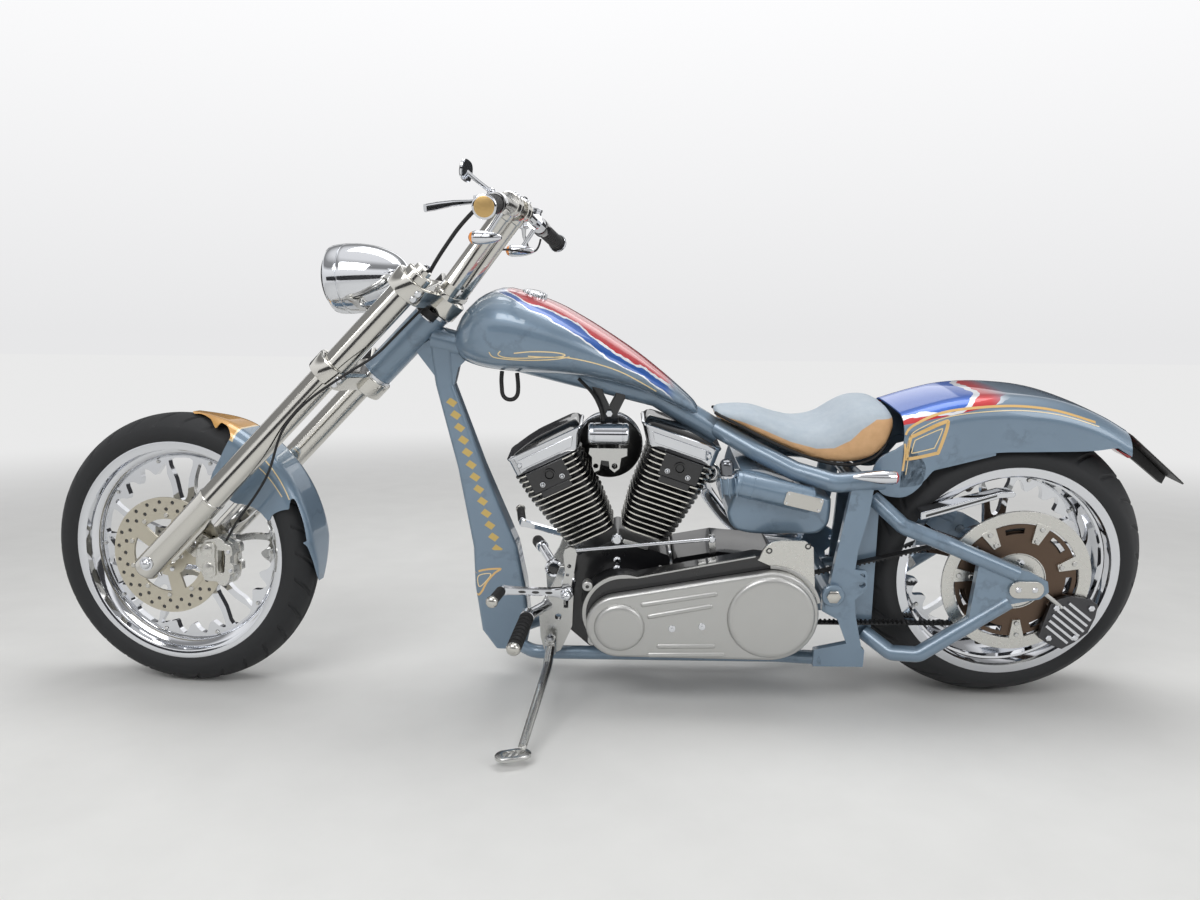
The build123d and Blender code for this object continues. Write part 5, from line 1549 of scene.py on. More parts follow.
caliper.append(plate(
    "caliper_hanger", hanger, 96, 13, satin_alloy, "steering", origin=FRONT_HUB, holes=[opening], bevel=1.4,
))
for x, z, depth, radius in (
    (124, 28, 123, 15), (126, -18, 123, 15), (104, 22, 109, 7), (110, -2, 117, 6), (72, 78, 109, 7), (42, 54, 109, 7),
    (178, 24, 117.5, 5), (182, -22, 117.5, 5),
):
    button = ((0, 4), (radius * 0.5, 4), (radius * 0.62, 3), (radius * 0.8, 3), (radius, 1.4), (radius, -1), (0, -1))
    caliper.append(turned(
        "caliper_button", button, (FRONT_AXLE_X + x, -depth, FRONT_AXLE_Z + z), LEFT,
        chrome if radius < 10 else machined, "steering", around=28,
    ))
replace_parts(joined("front_caliper_stepped", caliper), "front_caliper")
axle = turned(
    "front_spindle", ((0, -170), (12, -170), (12, 170), (0, 170)), FRONT_HUB, RIGHT, bright_steel, "steering",
    around=32,
)
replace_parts(axle, "front_axle")
print("front brake dressed")

# %% [markdown]
# ## Seat
# The solo seat is a foam pad in a sewn cover: a pale centre, tan sides and a black welt round its foot.
# Its shell is drawn as a skin first, slightly small. Then the cloth solver blows the cover up against
# its own stiffness, as foam fills a real one. The seam between the two leathers is drawn in the finish,
# because the remesh would erase a modelled one.

# %% Seat pad
SEAT_ROWS = (
    # x, top, side's lower edge, half width
    (-710, 715, 708, 34),
    (-700, 726, 704, 46),
    (-660, 727, 687, 66),
    (-607, 712, 662, 84),
    (-560, 696, 642, 98),
    (-510, 686, 624, 112),
    (-460, 694, 611, 122),
    (-420, 720, 606, 127),
    (-385, 742, 608, 128),
    (-345, 749, 622, 124),
    (-318, 742, 652, 112),
    (-303, 728, 690, 92),
)


SEAM_STOPS = (
    # x, how high the seam runs
    (-714, 0.62), (-660, 0.56), (-607, 0.46), (-540, 0.30), (-480, 0.22), (-440, 0.24), (-405, 0.36), (-380, 0.52),
    (-345, 0.66), (-300, 0.66),
)


def seat_finish():
    """Pale and tan leather, parted by a line that follows the pad's side."""
    made = Finish("seat leather", tint(196, 206, 214), 0.55)
    x, y, z = made.drawn(BIKE)
    ramp_stops = [((place + 714) / 414, (v, v, v)) for place, v in SEAM_STOPS]
    ramp = made.node("ShaderNodeValToRGB", {"stops": ramp_stops}, i0=(x + 714) / 414)
    seam = made.node("ShaderNodeSeparateColor", Color=ramp) * 160 + 610
    below = made.step(seam - z, -1.2, 1.2)
    crease_relief_and_shade = made.noise(46, detail=5, roughness=0.6)
    # Both leathers follow the crease relief: darker where it sinks and lighter where it stands, a painted shade in the
    # creases' hollows.
    pale = made.mix(crease_relief_and_shade, tint(164, 179, 192), tint(196, 205, 212))
    tan_side = made.mix(crease_relief_and_shade, tint(198, 152, 104), tint(226, 184, 138))
    pores = made.node("ShaderNodeTexVoronoi", {"feature": "DISTANCE_TO_EDGE"}, Vector=made.place(), Scale=700)
    made.bump(made.step(pores, 0.0, 0.2) * 0.5 + crease_relief_and_shade * 0.8, 0.0004, 0.7)
    return made.send(Base_Color=made.mix(below, pale, tan_side), Roughness=crease_relief_and_shade * 0.2 + 0.42)


def seat_section(x, top, low, half):
    """A closed section: rounded shoulders, sides that tuck in, and a flat base."""
    made = []
    for angle in angles(24):
        c, s = cos(angle), sin(angle)
        across = half * squashed(c, 0.62)
        if s >= 0:
            up = low + (top - low) * (0.30 + 0.70 * s**0.75)
        else:
            up = low + (top - low) * 0.30 * (1 - abs(s) ** 0.5)
            across *= 0.94 + 0.06 * (1 - abs(s))
        made.append((x, across, up))
    return made


seat_leather = seat_finish()
seat_pad = skin("seat_pad", [seat_section(*row) for row in smooth_rows(SEAT_ROWS, 3)], seat_leather, smooth_angle=180)


def puffed(piece, voxel, pressure, cap):
    """Blows a closed skin up like a filled cover, and keeps the result as its mesh."""
    remesh = piece.modifiers.new("even mesh", "REMESH")
    remesh.mode = "VOXEL"
    remesh.voxel_size = voxel
    even = baked(piece)
    piece.modifiers.clear()
    piece.data = even
    rest = [v.co.copy() for v in even.vertices]
    cloth = piece.modifiers.new("filling", "CLOTH")
    cloth.settings.use_pressure = True
    cloth.settings.uniform_pressure_force = pressure
    cloth.settings.effector_weights.gravity = 0
    scene = bpy.context.scene
    for step in range(1, 21):
        scene.frame_set(step)
    shown = piece.evaluated_get(bpy.context.evaluated_depsgraph_get())
    blown = [v.co.copy() for v in shown.data.vertices]
    piece.modifiers.clear()
    for vertex, here, there in zip(piece.data.vertices, rest, blown):
        move = there - here
        if move.length > cap:
            move *= cap / move.length
        vertex.co = here + move
    scene.frame_set(1)


puffed(seat_pad, 0.0055, 3.0, 0.006)
seat_pad.data.materials.clear()
seat_pad.data.materials.append(seat_leather)
seat_pad.data.shade_smooth()
rounding = seat_pad.modifiers.new("rounding", "SUBSURF")
rounding.levels = rounding.render_levels = 1
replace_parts(seat_pad, "seat")
print("seat vertices", len(seat_pad.data.vertices))

# %% [markdown]
# The welt hides the staples at the foot of the cover. It is a swept tube, because a real welt is a cord
# in a fold of leather.

# %% Seat welt
welts = []
for side, tag in SIDES:
    foot = [(x, side * (half * 0.93 + 1), low + 3) for x, _, low, half in smooth_rows(SEAT_ROWS, 2)]
    welts.append(tube(f"seat_welt_{tag}", foot, 4.0, black_rubber))
ends = [(-303, y, 693) for y in (-86, -50, 0, 50, 86)]
welts.append(tube("seat_welt_rear", ends, 4.0, black_rubber))
joined("seat_welts", welts)

# %% [markdown]
# ## Engine
# Two finned cylinders stand in a narrow V. Each fin is black, with an edge that was machined bright,
# so a fin is two pieces: a black plate and a thin bright rim. The rocker box is a polished lid with a
# black cap on top. All of it is placed along each cylinder's own axis.

# %% Cylinders and rocker boxes
CRANK = (-932, 250)
BARREL_FOOT = 168
BARREL_TOP = 385
FIN_REACH = ((168, 60, 65), (250, 66, 84), (320, 64, 98), (385, 66, 104))


def rounded(width, depth, corner, steps=5):
    """A rounded rectangle about the origin."""
    made = []
    for cx, cy, start in ((1, 1, 0), (-1, 1, 90), (-1, -1, 180), (1, -1, 270)):
        for step in range(steps + 1):
            angle = radians(start + 90 * step / steps)
            made.append((
                cx * (width / 2 - corner) + corner * cos(angle), cy * (depth / 2 - corner) + corner * sin(angle),
            ))
    return made


def fin_reach(height):
    """How far a fin reaches inwards and outwards from its cylinder's axis."""
    for (low, inner_low, outer_low), (high, inner_high, outer_high) in zip(FIN_REACH, FIN_REACH[1:]):
        if height <= high:
            share = (height - low) / (high - low)
            return inner_low + (inner_high - inner_low) * share, outer_low + (outer_high - outer_low) * share
    return FIN_REACH[-1][1:]


def cylinder_place(lean, outward):
    """A matrix whose Z runs up a cylinder from the crank, and whose X points to its outer side."""
    up = Vector((sin(radians(lean)), 0, cos(radians(lean))))
    out = Vector((-up.z, 0, up.x)) * outward
    turn = Matrix((out, up.cross(out), up)).transposed().to_4x4()
    return Matrix.Translation((CRANK[0], 0, CRANK[1])) @ turn


def stack(name, place, layers, material, **finish):
    """A skin over rounded rectangles: height, inner end, outer end, width, corner."""
    sections = []
    for height, inner, outer, width, corner in layers:
        ring = rounded(inner + outer, width, corner)
        sections.append([place @ Vector((x + (outer - inner) / 2, y, height)) for x, y in ring])
    return skin(name, sections, material, **finish)


bright_edge = metal("bright fin edge", tint(226, 224, 216), 0.26, 0.1, scale=60)
FINS = 16
for label, lean, outward in (("front", -26, 1), ("rear", 19, -1)):
    place = cylinder_place(lean, outward)
    across = place.to_3x3() @ Vector((0, 1, 0))
    pieces = [stack("barrel", place, ((BARREL_FOOT, 56, 56, 112, 38), (BARREL_TOP, 60, 86, 112, 38)), black_enamel)]
    for fin in range(FINS):
        height = BARREL_FOOT + 2 + fin * (BARREL_TOP - BARREL_FOOT - 8) / (FINS - 1)
        inner, outer = fin_reach(height)
        fin_layers = ((height, inner - 1, outer - 1, 154, 30), (height + 4, inner - 1, outer - 1, 154, 30))
        pieces.append(stack("fin", place, fin_layers, black_enamel))
        rim_layers = ((height + 0.5, inner, outer, 156, 30), (height + 3.5, inner, outer, 156, 30))
        pieces.append(stack("fin_rim", place, rim_layers, bright_edge))
    for low, high, inner, outer in (
        (BARREL_TOP - 74, BARREL_TOP - 56, 20, 62), (BARREL_TOP - 56, BARREL_TOP - 1, 26, 76),
    ):
        pieces.append(stack(
            "head_side", place, ((low, inner, outer, 158, 6), (high, inner, outer, 158, 6)), black_enamel, bevel=2,
        ))
    for x, height, radius in ((46, 40, 6), (-6, 40, 6), (20, 24, 14)):
        for sign in (-1, 1):
            spot = place @ Vector((x, sign * 79, BARREL_TOP - height))
            if radius > 10:
                bolt = ((0, 3), (9, 3), (11, 1), (11, 6), (14, 6), (14, -2), (0, -2))
            else:
                bolt = ((0, 10), (2.5, 9.5), (4.5, 7), (4.8, 4), (6.4, 4), (6.4, -1), (0, -1))
            pieces.append(turned(
                "head_bolt", bolt, spot, across * sign, black_enamel if radius > 10 else chrome, around=18,
            ))
    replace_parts(joined(f"{label}_finned_cylinder", pieces), f"{label}_cylinder")
    lid = (
        (BARREL_TOP + 0.5, 70, 98, 130, 15), (BARREL_TOP + 3, 73, 100, 132, 16), (BARREL_TOP + 41, 97, 100, 135, 18),
        (BARREL_TOP + 44, 101, 102, 138, 19), (BARREL_TOP + 48, 101, 102, 138, 19),
        (BARREL_TOP + 49.5, 98, 98, 134, 19),
    )
    pieces = [stack("lid", place, lid, chrome)]
    pieces.append(stack(
        "lid_panel", place, ((BARREL_TOP + 12, 60, 84, 136.5, 10), (BARREL_TOP + 36, 76, 84, 138, 10)), chrome,
        bevel=1.2,
    ))
    cap = (
        (BARREL_TOP + 48, 96, 92, 130, 19), (BARREL_TOP + 53, 96, 82, 126, 20), (BARREL_TOP + 60, 93, 52, 114, 22),
        (BARREL_TOP + 64.5, 88, 26, 100, 22), (BARREL_TOP + 66, 80, 10, 84, 22),
    )
    pieces.append(stack("lid_cap", place, cap, gloss_black, smooth_angle=30))
    bolt = ((0, 4), (4.5, 4), (6, 2.5), (6, -2), (0, -2))
    for sign in (-1, 1):
        spot = place @ Vector((78, sign * 69, BARREL_TOP + 24))
        pieces.append(turned("lid_bolt", bolt, spot, across * sign, chrome, around=18))
    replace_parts(joined(f"{label}_rocker_lid", pieces), f"{label}_rocker_box")
print("engine top dressed")

# %% [markdown]
# Under the V the case is black. A bright breather nut, a polished link, two small screws and a chrome
# ring stand out from it.

# %% Case details
pieces = []
nut = ((0, 7), (9, 7), (11, 5), (11, 2), (13, 1), (13, -7), (0, -7))
pieces.append(turned("case_nut", nut, (-944, -86, 403), LEFT, chrome, around=32))
for x, z in ((-943, 348), (-943, 326)):
    screw = ((0, 5), (5, 5), (7, 3), (9, 1), (9, -4), (0, -4))
    pieces.append(turned("case_screw", screw, (x, -84, z), LEFT, chrome, around=24))
drop = degrees(0.3)
link = arc_points(-924, 398, 6, 90 - drop, 270 - drop, 8) + arc_points(-872, 383, 6, -90 - drop, 90 - drop, 8)
pieces.append(plate("case_link", link, 82.5, 5, bright_steel, bevel=1))
cam = ((0, 10), (46, 10), (52, 7), (54, 2), (54, -2), (0, -2))
pieces.append(turned("cam_cover", cam, (-930, 82, 262), RIGHT, chrome))
for x, z in ((-1060, 200), (-1066, 320), (-830, 200), (-836, 330), (-1000, 142), (-880, 142)):
    for sign in (-1, 1):
        screw = ((0, 4), (5, 4), (6, 3), (6, -2), (0, -2))
        pieces.append(turned("case_bolt", screw, (x, sign * 82, z), (0, sign, 0), bright_steel, around=6))
RING_SPOT = (-1097, -110, 336)
ring = ((0, -28), (14, -28), (14, -4), (22, -4), (22, 5), (19, 8), (15, 6), (14, 1), (0, 1))
pieces.append(turned("case_ring", ring, RING_SPOT, LEFT, chrome, around=48))
pieces.append(turned(
    "case_ring_centre", ((0, 1.6), (13.8, 1.6), (13.8, 0), (0, 0)), RING_SPOT, LEFT, gloss_black, around=32,
))
joined("case_trim", pieces)

# %% [markdown]
# ## Intake cover
# A chrome cylinder lies across the top of the V on a stamped bracket. Its long highlight is what gives
# it away as a cylinder, so it is turned, with small steps at its ends for the pressed caps.

# %% Intake cover
pieces = []
cover_profile = (
    (0, 0), (20, 0), (24, 1.5), (26.5, 5), (26.8, 12), (25.8, 13), (25.8, 16), (26.8, 17), (26.8, 81), (25.8, 82),
    (25.8, 85), (26.8, 86), (26.5, 93), (24, 96.5), (20, 98), (0, 98),
)
pieces.append(turned("intake_can", cover_profile, (-1016, -66, 664), BACK, chrome))
bracket = [
    (-1012, 634), (-922, 634), (-922, 616), (-936, 610), (-940, 584), (-952, 574), (-964, 584), (-966, 602),
    (-984, 604), (-988, 580), (-1000, 574), (-1006, 590), (-1006, 612), (-1014, 620),
]
pieces.append(plate(
    "intake_bracket", bracket, 84, 4, bright_steel, bevel=0.8,
    holes=[circle_outline(-952, 590, 7, 20), circle_outline(-997, 590, 6, 20)],
))
pieces.append(tube(
    "intake_neck", ((-967, -60, 646), (-967, -50, 620), (-967, -40, 596), (-967, -20, 575)), 19, black_enamel,
))
pieces.append(turned(
    "intake_throat", ((0, -60), (24, -60), (26, -56), (26, 56), (24, 60), (0, 60)), (-967, 0, 606), LEFT,
    black_enamel,
))
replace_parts(joined("intake_dressed", pieces), "intake_cover")

# %% [markdown]
# ## Primary drive
# A black belt housing is screwed to the engine, and a pressed silver cover closes its lower half. The
# cover has two round lids, four pressed ribs and two screws. A cast rim with screw lugs shows round the
# front pulley, and a silver plate stands at the top rear. All of them are plates with rolled edges.

# %% Primary housing and cover
PRIMARY_FRONT = (-937, 234)
PRIMARY_REAR = (-583, 264)


def hull_outline(front_r, rear_r, front=PRIMARY_FRONT, rear=PRIMARY_REAR, steps=40):
    """The outline of a belt round two pulleys."""
    dx, dz = rear[0] - front[0], rear[1] - front[1]
    tilt = atan2(dz, dx)
    spread = asin((rear_r - front_r) / hypot(dx, dz))
    made = []
    for step in range(steps + 1):
        angle = tilt - pi / 2 - spread + (pi + 2 * spread) * step / steps
        made.append((rear[0] + rear_r * cos(angle), rear[1] + rear_r * sin(angle)))
    for step in range(steps + 1):
        angle = tilt + pi / 2 + spread + (pi - 2 * spread) * step / steps
        made.append((front[0] + front_r * cos(angle), front[1] + front_r * sin(angle)))
    return made


def turned_xz(x, z, angle, x0, z0, y):
    """X and Z turned by an angle and moved to a drawn place, at a drawn Y."""
    return x0 + x * cos(angle) - z * sin(angle), y, z0 + x * sin(angle) + z * cos(angle)


def dished(name, outline, levels, material):
    """A pressed plate: each level is how far the outline shrinks and how far out it stands."""
    sections = []
    for shrink, out in levels:
        ring = []
        count = len(outline)
        for index, (x, z) in enumerate(outline):
            bx, bz = outline[index - 1]
            ax, az = outline[(index + 1) % count]
            size = hypot(ax - bx, az - bz) or 1
            nx, nz = (az - bz) / size, -(ax - bx) / size
            ring.append((x - nx * shrink, -out, z - nz * shrink))
        sections.append(ring)
    return skin(name, sections, material, smooth_angle=34)


cover_out = hull_outline(78, 112)
pieces = [dished("cover_shell", cover_out, ((0, 196.5), (0, 214), (1.5, 217.5), (5, 219.8), (9, 220.3)), cast_alloy)]
for centre, radius in ((PRIMARY_FRONT, 60), (PRIMARY_REAR, 103)):
    lid = (
        (0, 10), (radius - 16, 10), (radius - 8, 9), (radius - 3, 6.2), (radius - 1, 2.5), (radius, -0.5), (0, -0.5),
    )
    pieces.append(turned(f"cover_lid_{radius}", lid, (centre[0], -220.3, centre[1]), LEFT, cast_alloy, around=96))
for index, (x0, z0, x1, z1) in enumerate((
    (-882, 293, -716, 322), (-866, 263, -726, 291), (-842, 187, -716, 189), (-864, 164, -692, 167),
)):
    angle = atan2(z1 - z0, x1 - x0)
    length = hypot(x1 - x0, z1 - z0)
    layers = []
    for wide, out in ((6.5, 219.5), (5.4, 222.0), (3.0, 223.6), (0.8, 224.0)):
        ring = arc_points(length / 2, 0, wide, -90, 90, 8) + arc_points(-length / 2, 0, wide, 90, 270, 8)
        layers.append([turned_xz(x, z, angle, (x0 + x1) / 2, (z0 + z1) / 2, -out) for x, z in ring])
    pieces.append(skin(f"cover_rib_{index}", layers, cast_alloy))
for x, z in ((-813, 233), (-743, 239)):
    screw = ((0, 4.6), (3, 4.4), (3, 3.0), (4, 3.0), (8, 2.4), (9, 0.8), (9, -1), (0, -1))
    pieces.append(turned(f"cover_screw_{x}", screw, (x, -220, z), LEFT, chrome, around=24))
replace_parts(joined("primary_cover_pressed", pieces), "primary_cover")

pieces = []
rim_arc = arc_points(-927, 258, 98, 228, 82, 24)
band = rim_arc + [(-896, 351), (-622, 408), (-560, 402), (-512, 330), (-583, 153), (-937, 157), (-985, 176)]
pieces.append(plate("housing_band", band, 152, 42, black_enamel, bevel=1.5))
pieces.append(turned(
    "housing_boss", ((0, 82.5), (92, 82.5), (94, 85), (94, 150), (90, 153), (0, 153)),
    (PRIMARY_FRONT[0], 0, PRIMARY_FRONT[1]), LEFT, black_enamel,
))
outer_edge = rim_arc + [(-896, 351), (-622, 408)]
inner_edge = [(-622, 404.5), (-896, 347.5), (-914, 348)] + arc_points(-927, 258, 89, 96, 228, 20)
pieces.append(plate("housing_rim", outer_edge + inner_edge, 185, 10.5, cast_alloy, bevel=0.8))
for x, z in ((-1013, 326), (-1000, 186)):
    lug = ((0, 12), (4.5, 12), (4.5, 14), (10, 14), (12, 12), (12, -8), (0, -8))
    pieces.append(turned("housing_lug", lug, (x, -183, z), LEFT, cast_alloy, around=32))
    pieces.append(turned(
        "housing_lug_screw", ((0, 12.6), (4.6, 12.6), (4.6, 8), (0, 8)), (x, -183, z), LEFT, gloss_black, around=24,
    ))
blank = [
    (-618, 398), (-613, 404), (-606, 424), (-596, 436), (-584, 444), (-566, 448), (-511, 447), (-490, 431),
    (-480, 330), (-477, 292), (-484, 290), (-500, 330), (-538, 364), (-580, 381),
]
pieces.append(plate("housing_plate", blank, 190.5, 6.5, machined, bevel=1.2))
for x, z in ((-592, 422), (-503, 434)):
    screw = ((0, -1.5), (4, -1.5), (4, 0.6), (7, 0.6), (7.6, 0), (7.6, -3), (0, -3))
    pieces.append(turned("housing_plate_screw", screw, (x, -197, z), LEFT, gloss_black, around=24))
crescent = arc_points(-583, 264, 122, 14, 92, 16) + arc_points(-583, 264, 113.5, 92, 14, 16)
pieces.append(plate("housing_crescent", crescent, 196, 4, cast_alloy, bevel=1.2))
for x, z in ((-745, 381), (-722, 386)):
    pieces.append(plate(
        "housing_clip", [(x - 9, z - 3), (x + 9, z + 1), (x + 9, z + 9), (x - 9, z + 5)], 170, 20, bright_steel,
        bevel=0.8,
    ))
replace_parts(joined("primary_housing_dressed", pieces), "primary_housing")
print("primary dressed")

# %% [markdown]
# ## Rear brake and drive
# The left of the rear hub is crowded. A silver ring with seven lugs carries a dark bronze disc, a
# finned caliper hangs under it, and a toothed belt runs behind. They are stacked discs and plates,
# spaced as the real ones are, so the gaps between them stay dark.

# %% Brake ring and pulley
def ring_plate(name, inner, outer, depth, thick, material, holes=(), **finish):
    """A flat ring on the rear hub, this far to the left."""
    cuts = [circle_outline(0, 0, inner, 72), *holes]
    outline = circle_outline(0, 0, outer, 96)
    return plate(name, outline, depth, thick, material, "rear_wheel", origin=REAR_HUB, holes=cuts, **finish)


pieces = [ring_plate("brake_track", 146, 175, 160, 6, machined, bevel=0.8)]
slots = []
for index in range(7):
    angle = 20 + 360 * index / 7
    lug = arc_points(0, 0, 150, angle - 7, angle + 7, 6) + arc_points(0, 0, 100, angle + 5, angle - 5, 4)
    pieces.append(plate("brake_lug", lug, 160.5, 6.5, machined, "rear_wheel", origin=REAR_HUB, bevel=0.8))
    slots.append(arc_points(0, 0, 132, angle + 16, angle + 36, 8) + arc_points(0, 0, 118, angle + 36, angle + 16, 8))
    for radius in (138, 108):
        rivet = ((0, 4), (5, 4), (6.5, 2), (6.5, -1), (0, -1))
        spot = (radius * cos(radians(angle)), -166.5, REAR_AXLE_Z + radius * sin(radians(angle)))
        pieces.append(turned("brake_rivet", rivet, spot, LEFT, bright_steel, "rear_wheel", around=16))
pieces.append(ring_plate("bronze_disc", 68, 142, 157, 4.5, bronze, holes=slots, bevel=0.6))
carrier = ((24, 2), (66, 2), (68, 4), (70, 4), (70, 0), (72, -2), (72, -8), (24, -8))
pieces.append(turned("brake_carrier", carrier, (0, -160, REAR_AXLE_Z), LEFT, machined, "rear_wheel", closed=True))
for index in range(5):
    angle = radians(72 * index + 10)
    bolt = ((0, 7), (6, 7), (7.5, 5.5), (7.5, -1), (0, -1))
    spot = (48 * cos(angle), -162, REAR_AXLE_Z + 48 * sin(angle))
    pieces.append(turned("brake_bolt", bolt, spot, LEFT, chrome, "rear_wheel", around=6))
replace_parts(joined("rear_brake_built", pieces), "rear_brake_ring")

TEETH = 70
teeth = []
for index in range(TEETH):
    for share, radius in ((0.0, 117.6), (0.45, 117.6), (0.5, 114), (0.95, 114)):
        angle = 2 * pi * index / TEETH + 2 * pi / TEETH * share
        teeth.append((radius * cos(angle), radius * sin(angle)))
pieces = [plate(
    "pulley_teeth", teeth, 127, 22, dark_chrome, "rear_wheel", origin=REAR_HUB, holes=[circle_outline(0, 0, 60, 60)],
)]
pieces.append(ring_plate("pulley_flange", 60, 121, 125.5, 1.5, bronze))
pieces.append(ring_plate("pulley_flange_out", 60, 121, 149, 1.5, bronze))
pieces.append(turned(
    "pulley_hub", ((30, 96.5), (62, 96.5), (62, 152), (30, 152)), REAR_HUB, LEFT, bronze, "rear_wheel", closed=True,
))
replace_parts(joined("rear_pulley_toothed", pieces), "rear_pulley")

# %% [markdown]
# The belt is a flat rubber loop whose inner face is toothed. The teeth are modelled, since they show
# along both runs between the pulleys.

# %% Belt
FRONT_PULLEY = (-583, 264)
FRONT_BELT_R, REAR_BELT_R, BELT_THICK = 49, 121, 3
TOOTH_PITCH, TOOTH_HIGH = 11, 3.4


def belt_line(proud):
    """A loop round both pulleys, this far outside the belt's inner face."""
    return hull_outline(FRONT_BELT_R + proud, REAR_BELT_R + proud, FRONT_PULLEY, (0, REAR_AXLE_Z), 60)


belt_sections = []
for (ox, oz), (ix, iz) in zip(belt_line(BELT_THICK), belt_line(0)):
    belt_sections.append([(ox, -128, oz), (ox, -148, oz), (ix, -148, iz), (ix, -128, iz)])
belt_sections.append(belt_sections[0])
belt = [skin("belt_back", belt_sections, black_rubber, capped=False, smooth_angle=30)]
pulley_front, pulley_rear = Vector(FRONT_PULLEY), Vector((0, REAR_AXLE_Z))
between = pulley_rear - pulley_front
for upper in (1, -1):
    spread = asin((REAR_BELT_R - FRONT_BELT_R) / between.length)
    angle = atan2(between.y, between.x) + upper * (pi / 2 + spread)
    normal = Vector((cos(angle), sin(angle)))
    start = pulley_front + FRONT_BELT_R * normal
    run = pulley_rear + REAR_BELT_R * normal - start
    way = run.normalized()
    for index in range(int(run.length / TOOTH_PITCH)):
        base = start + way * (index * TOOTH_PITCH + 3)
        corners = [base, base + way * 6, base + way * 5 - normal * TOOTH_HIGH, base + way - normal * TOOTH_HIGH]
        belt.append(plate("belt_tooth", corners, 128, 20, black_rubber))
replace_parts(joined("belt_toothed", belt), "drive_belt")

# %% [markdown]
# The rear caliper has six bright cooling ribs on a dark body. The polished belt guard is a long bar
# with a lip, and the axle ends in an oblong cover.

# %% Rear caliper, guard and axle cover
HEX_BOLT = ((0, 6), (6, 6), (8, 4), (8, -1), (0, -1))
shape = [
    (82, -52), (100, -38), (128, -30), (170, -38), (194, -52), (192, -84), (180, -124), (152, -150), (124, -168),
    (92, -156), (64, -138), (72, -96),
]
pieces = [plate("rear_caliper_out", shape, 167.5, 12, dark_alloy, origin=REAR_HUB, bevel=2)]
pieces.append(plate("rear_caliper_in", shape, 151.5, 4.5, dark_alloy, origin=REAR_HUB, bevel=1.2))
across = Vector((cos(radians(-38)), sin(radians(-38))))
along = Vector((cos(radians(52)), sin(radians(52))))
for index in range(6):
    mid = Vector((128, -98)) + along * (index - 2.5) * 15
    reach = 46 - abs(index - 2.5) * 4
    a, b = mid - across * reach, mid + across * reach
    edge = along * 3.2
    rib = [tuple(a - edge), tuple(b - edge), tuple(b + edge), tuple(a + edge)]
    pieces.append(plate("caliper_rib", rib, 179, 5, chrome, origin=REAR_HUB, bevel=1))
for x, z in ((96, -60), (178, -60), (88, -138), (150, -136)):
    pieces.append(turned("caliper_bolt", HEX_BOLT, (x, -179, REAR_AXLE_Z + z), LEFT, chrome, around=6))
pieces.append(tube(
    "caliper_strut", ((110, -175, REAR_AXLE_Z - 60), (46, -184.7, REAR_AXLE_Z - 10)), 6, bright_steel, smooth=False,
))
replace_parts(joined("rear_caliper_ribbed", pieces), "rear_caliper")

bar = [(-240, 508), (-170, 528), (-60, 560), (-32, 561), (-25, 555), (-30, 547), (-60, 545), (-170, 509), (-240, 488)]
pieces = [plate("guard_bar", bar, 127, 37, chrome, bevel=2.5)]
# A thin gloss black strip along the guard is a painted shade where the groove under its lip lies.
lip = [(-228, 503), (-70, 553), (-70, 549), (-228, 497)]
pieces.append(plate("guard_groove", lip, 163.4, 1.2, gloss_black))
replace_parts(joined("belt_guard_polished", pieces), "belt_guard")

cover = arc_points(22, 0, 21, -90, 90, 10) + arc_points(-16, 0, 21, 90, 270, 10)
pieces = [turned(
    "rear_spindle", ((0, -206), (12, -206), (12, 206), (0, 206)), REAR_HUB, RIGHT, bright_steel, around=32,
)]
for sign in (-1, 1):
    depth = 209.5 if sign < 0 else -216.5
    pieces.append(plate("axle_cover", cover, depth, 7, satin_alloy, origin=REAR_HUB, bevel=1.5))
    for x in (-16, 22):
        screw = ((0, 3), (5, 3), (7, 1), (7, -1), (0, -1))
        pieces.append(turned("cover_screw", screw, (x, sign * 216, REAR_AXLE_Z), (0, sign, 0), chrome, around=20))
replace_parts(joined("rear_axle_dressed", pieces), "rear_axle")
print("rear brake dressed")

# %% [markdown]
# ## Plate carrier and rear signals
# The number plate is blank. It hangs from a black wedge behind the mudguard, over a red lamp. The rear
# signals have red lenses.

# %% Plate carrier and signals
side_shape = [(246, 676), (262, 678), (330, 622), (406, 557), (399, 537), (330, 590), (262, 640), (250, 644)]
pieces = [plate("carrier_wedge", side_shape, -10, 20, black_plastic, bevel=1.5)]
top, end = Vector((258, 0, 679)), Vector((409, 0, 554))
way = (end - top).normalized()
normal = Vector((-way.z, 0, way.x))
for name, shorter, wide, corner, low, high, material in (
    ("carrier_sheet", 0, 160, 12, 1.0, 3.6, black_plastic),
    ("blank_plate", 16, 150, 8, 3.6, 5.2, cream_white),
):
    sheet = []
    for out in (low, high):
        plan = rounded((end - top).length - shorter, wide, corner)
        sheet.append([(top + end) / 2 + way * x + Vector((0, y, 0)) + normal * out for x, y in plan])
    pieces.append(skin(name, sheet, material, smooth_angle=30))
lamp_box = [(252, 664), (300, 630), (306, 612), (296, 606), (262, 628), (252, 640)]
pieces.append(plate("tail_lamp", lamp_box, -30, 60, red_glass, bevel=3))
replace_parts(joined("plate_carrier_built", pieces), "plate_carrier")
pieces = []
for side in (-1, 1):
    spot = (-350, side * 202, 604)
    bullet = ((0, -66), (3, -65), (7, -52), (10, -36), (14, -14), (16, 0), (16, 24), (15, 26), (14.5, 30), (0, 30))
    pieces.append(turned("rear_signal", bullet, spot, BACK, chrome, around=40))
    glass = ((0, 38), (6, 37.4), (11, 35), (13.8, 32), (14, 28), (0, 28))
    pieces.append(turned("rear_lens", glass, spot, BACK, red_glass, around=40))
    stalk = ((-350, side * 178, 602), (-350, side * 202, 604))
    pieces.append(tube("rear_stalk", stalk, 8, chrome, smooth=False))
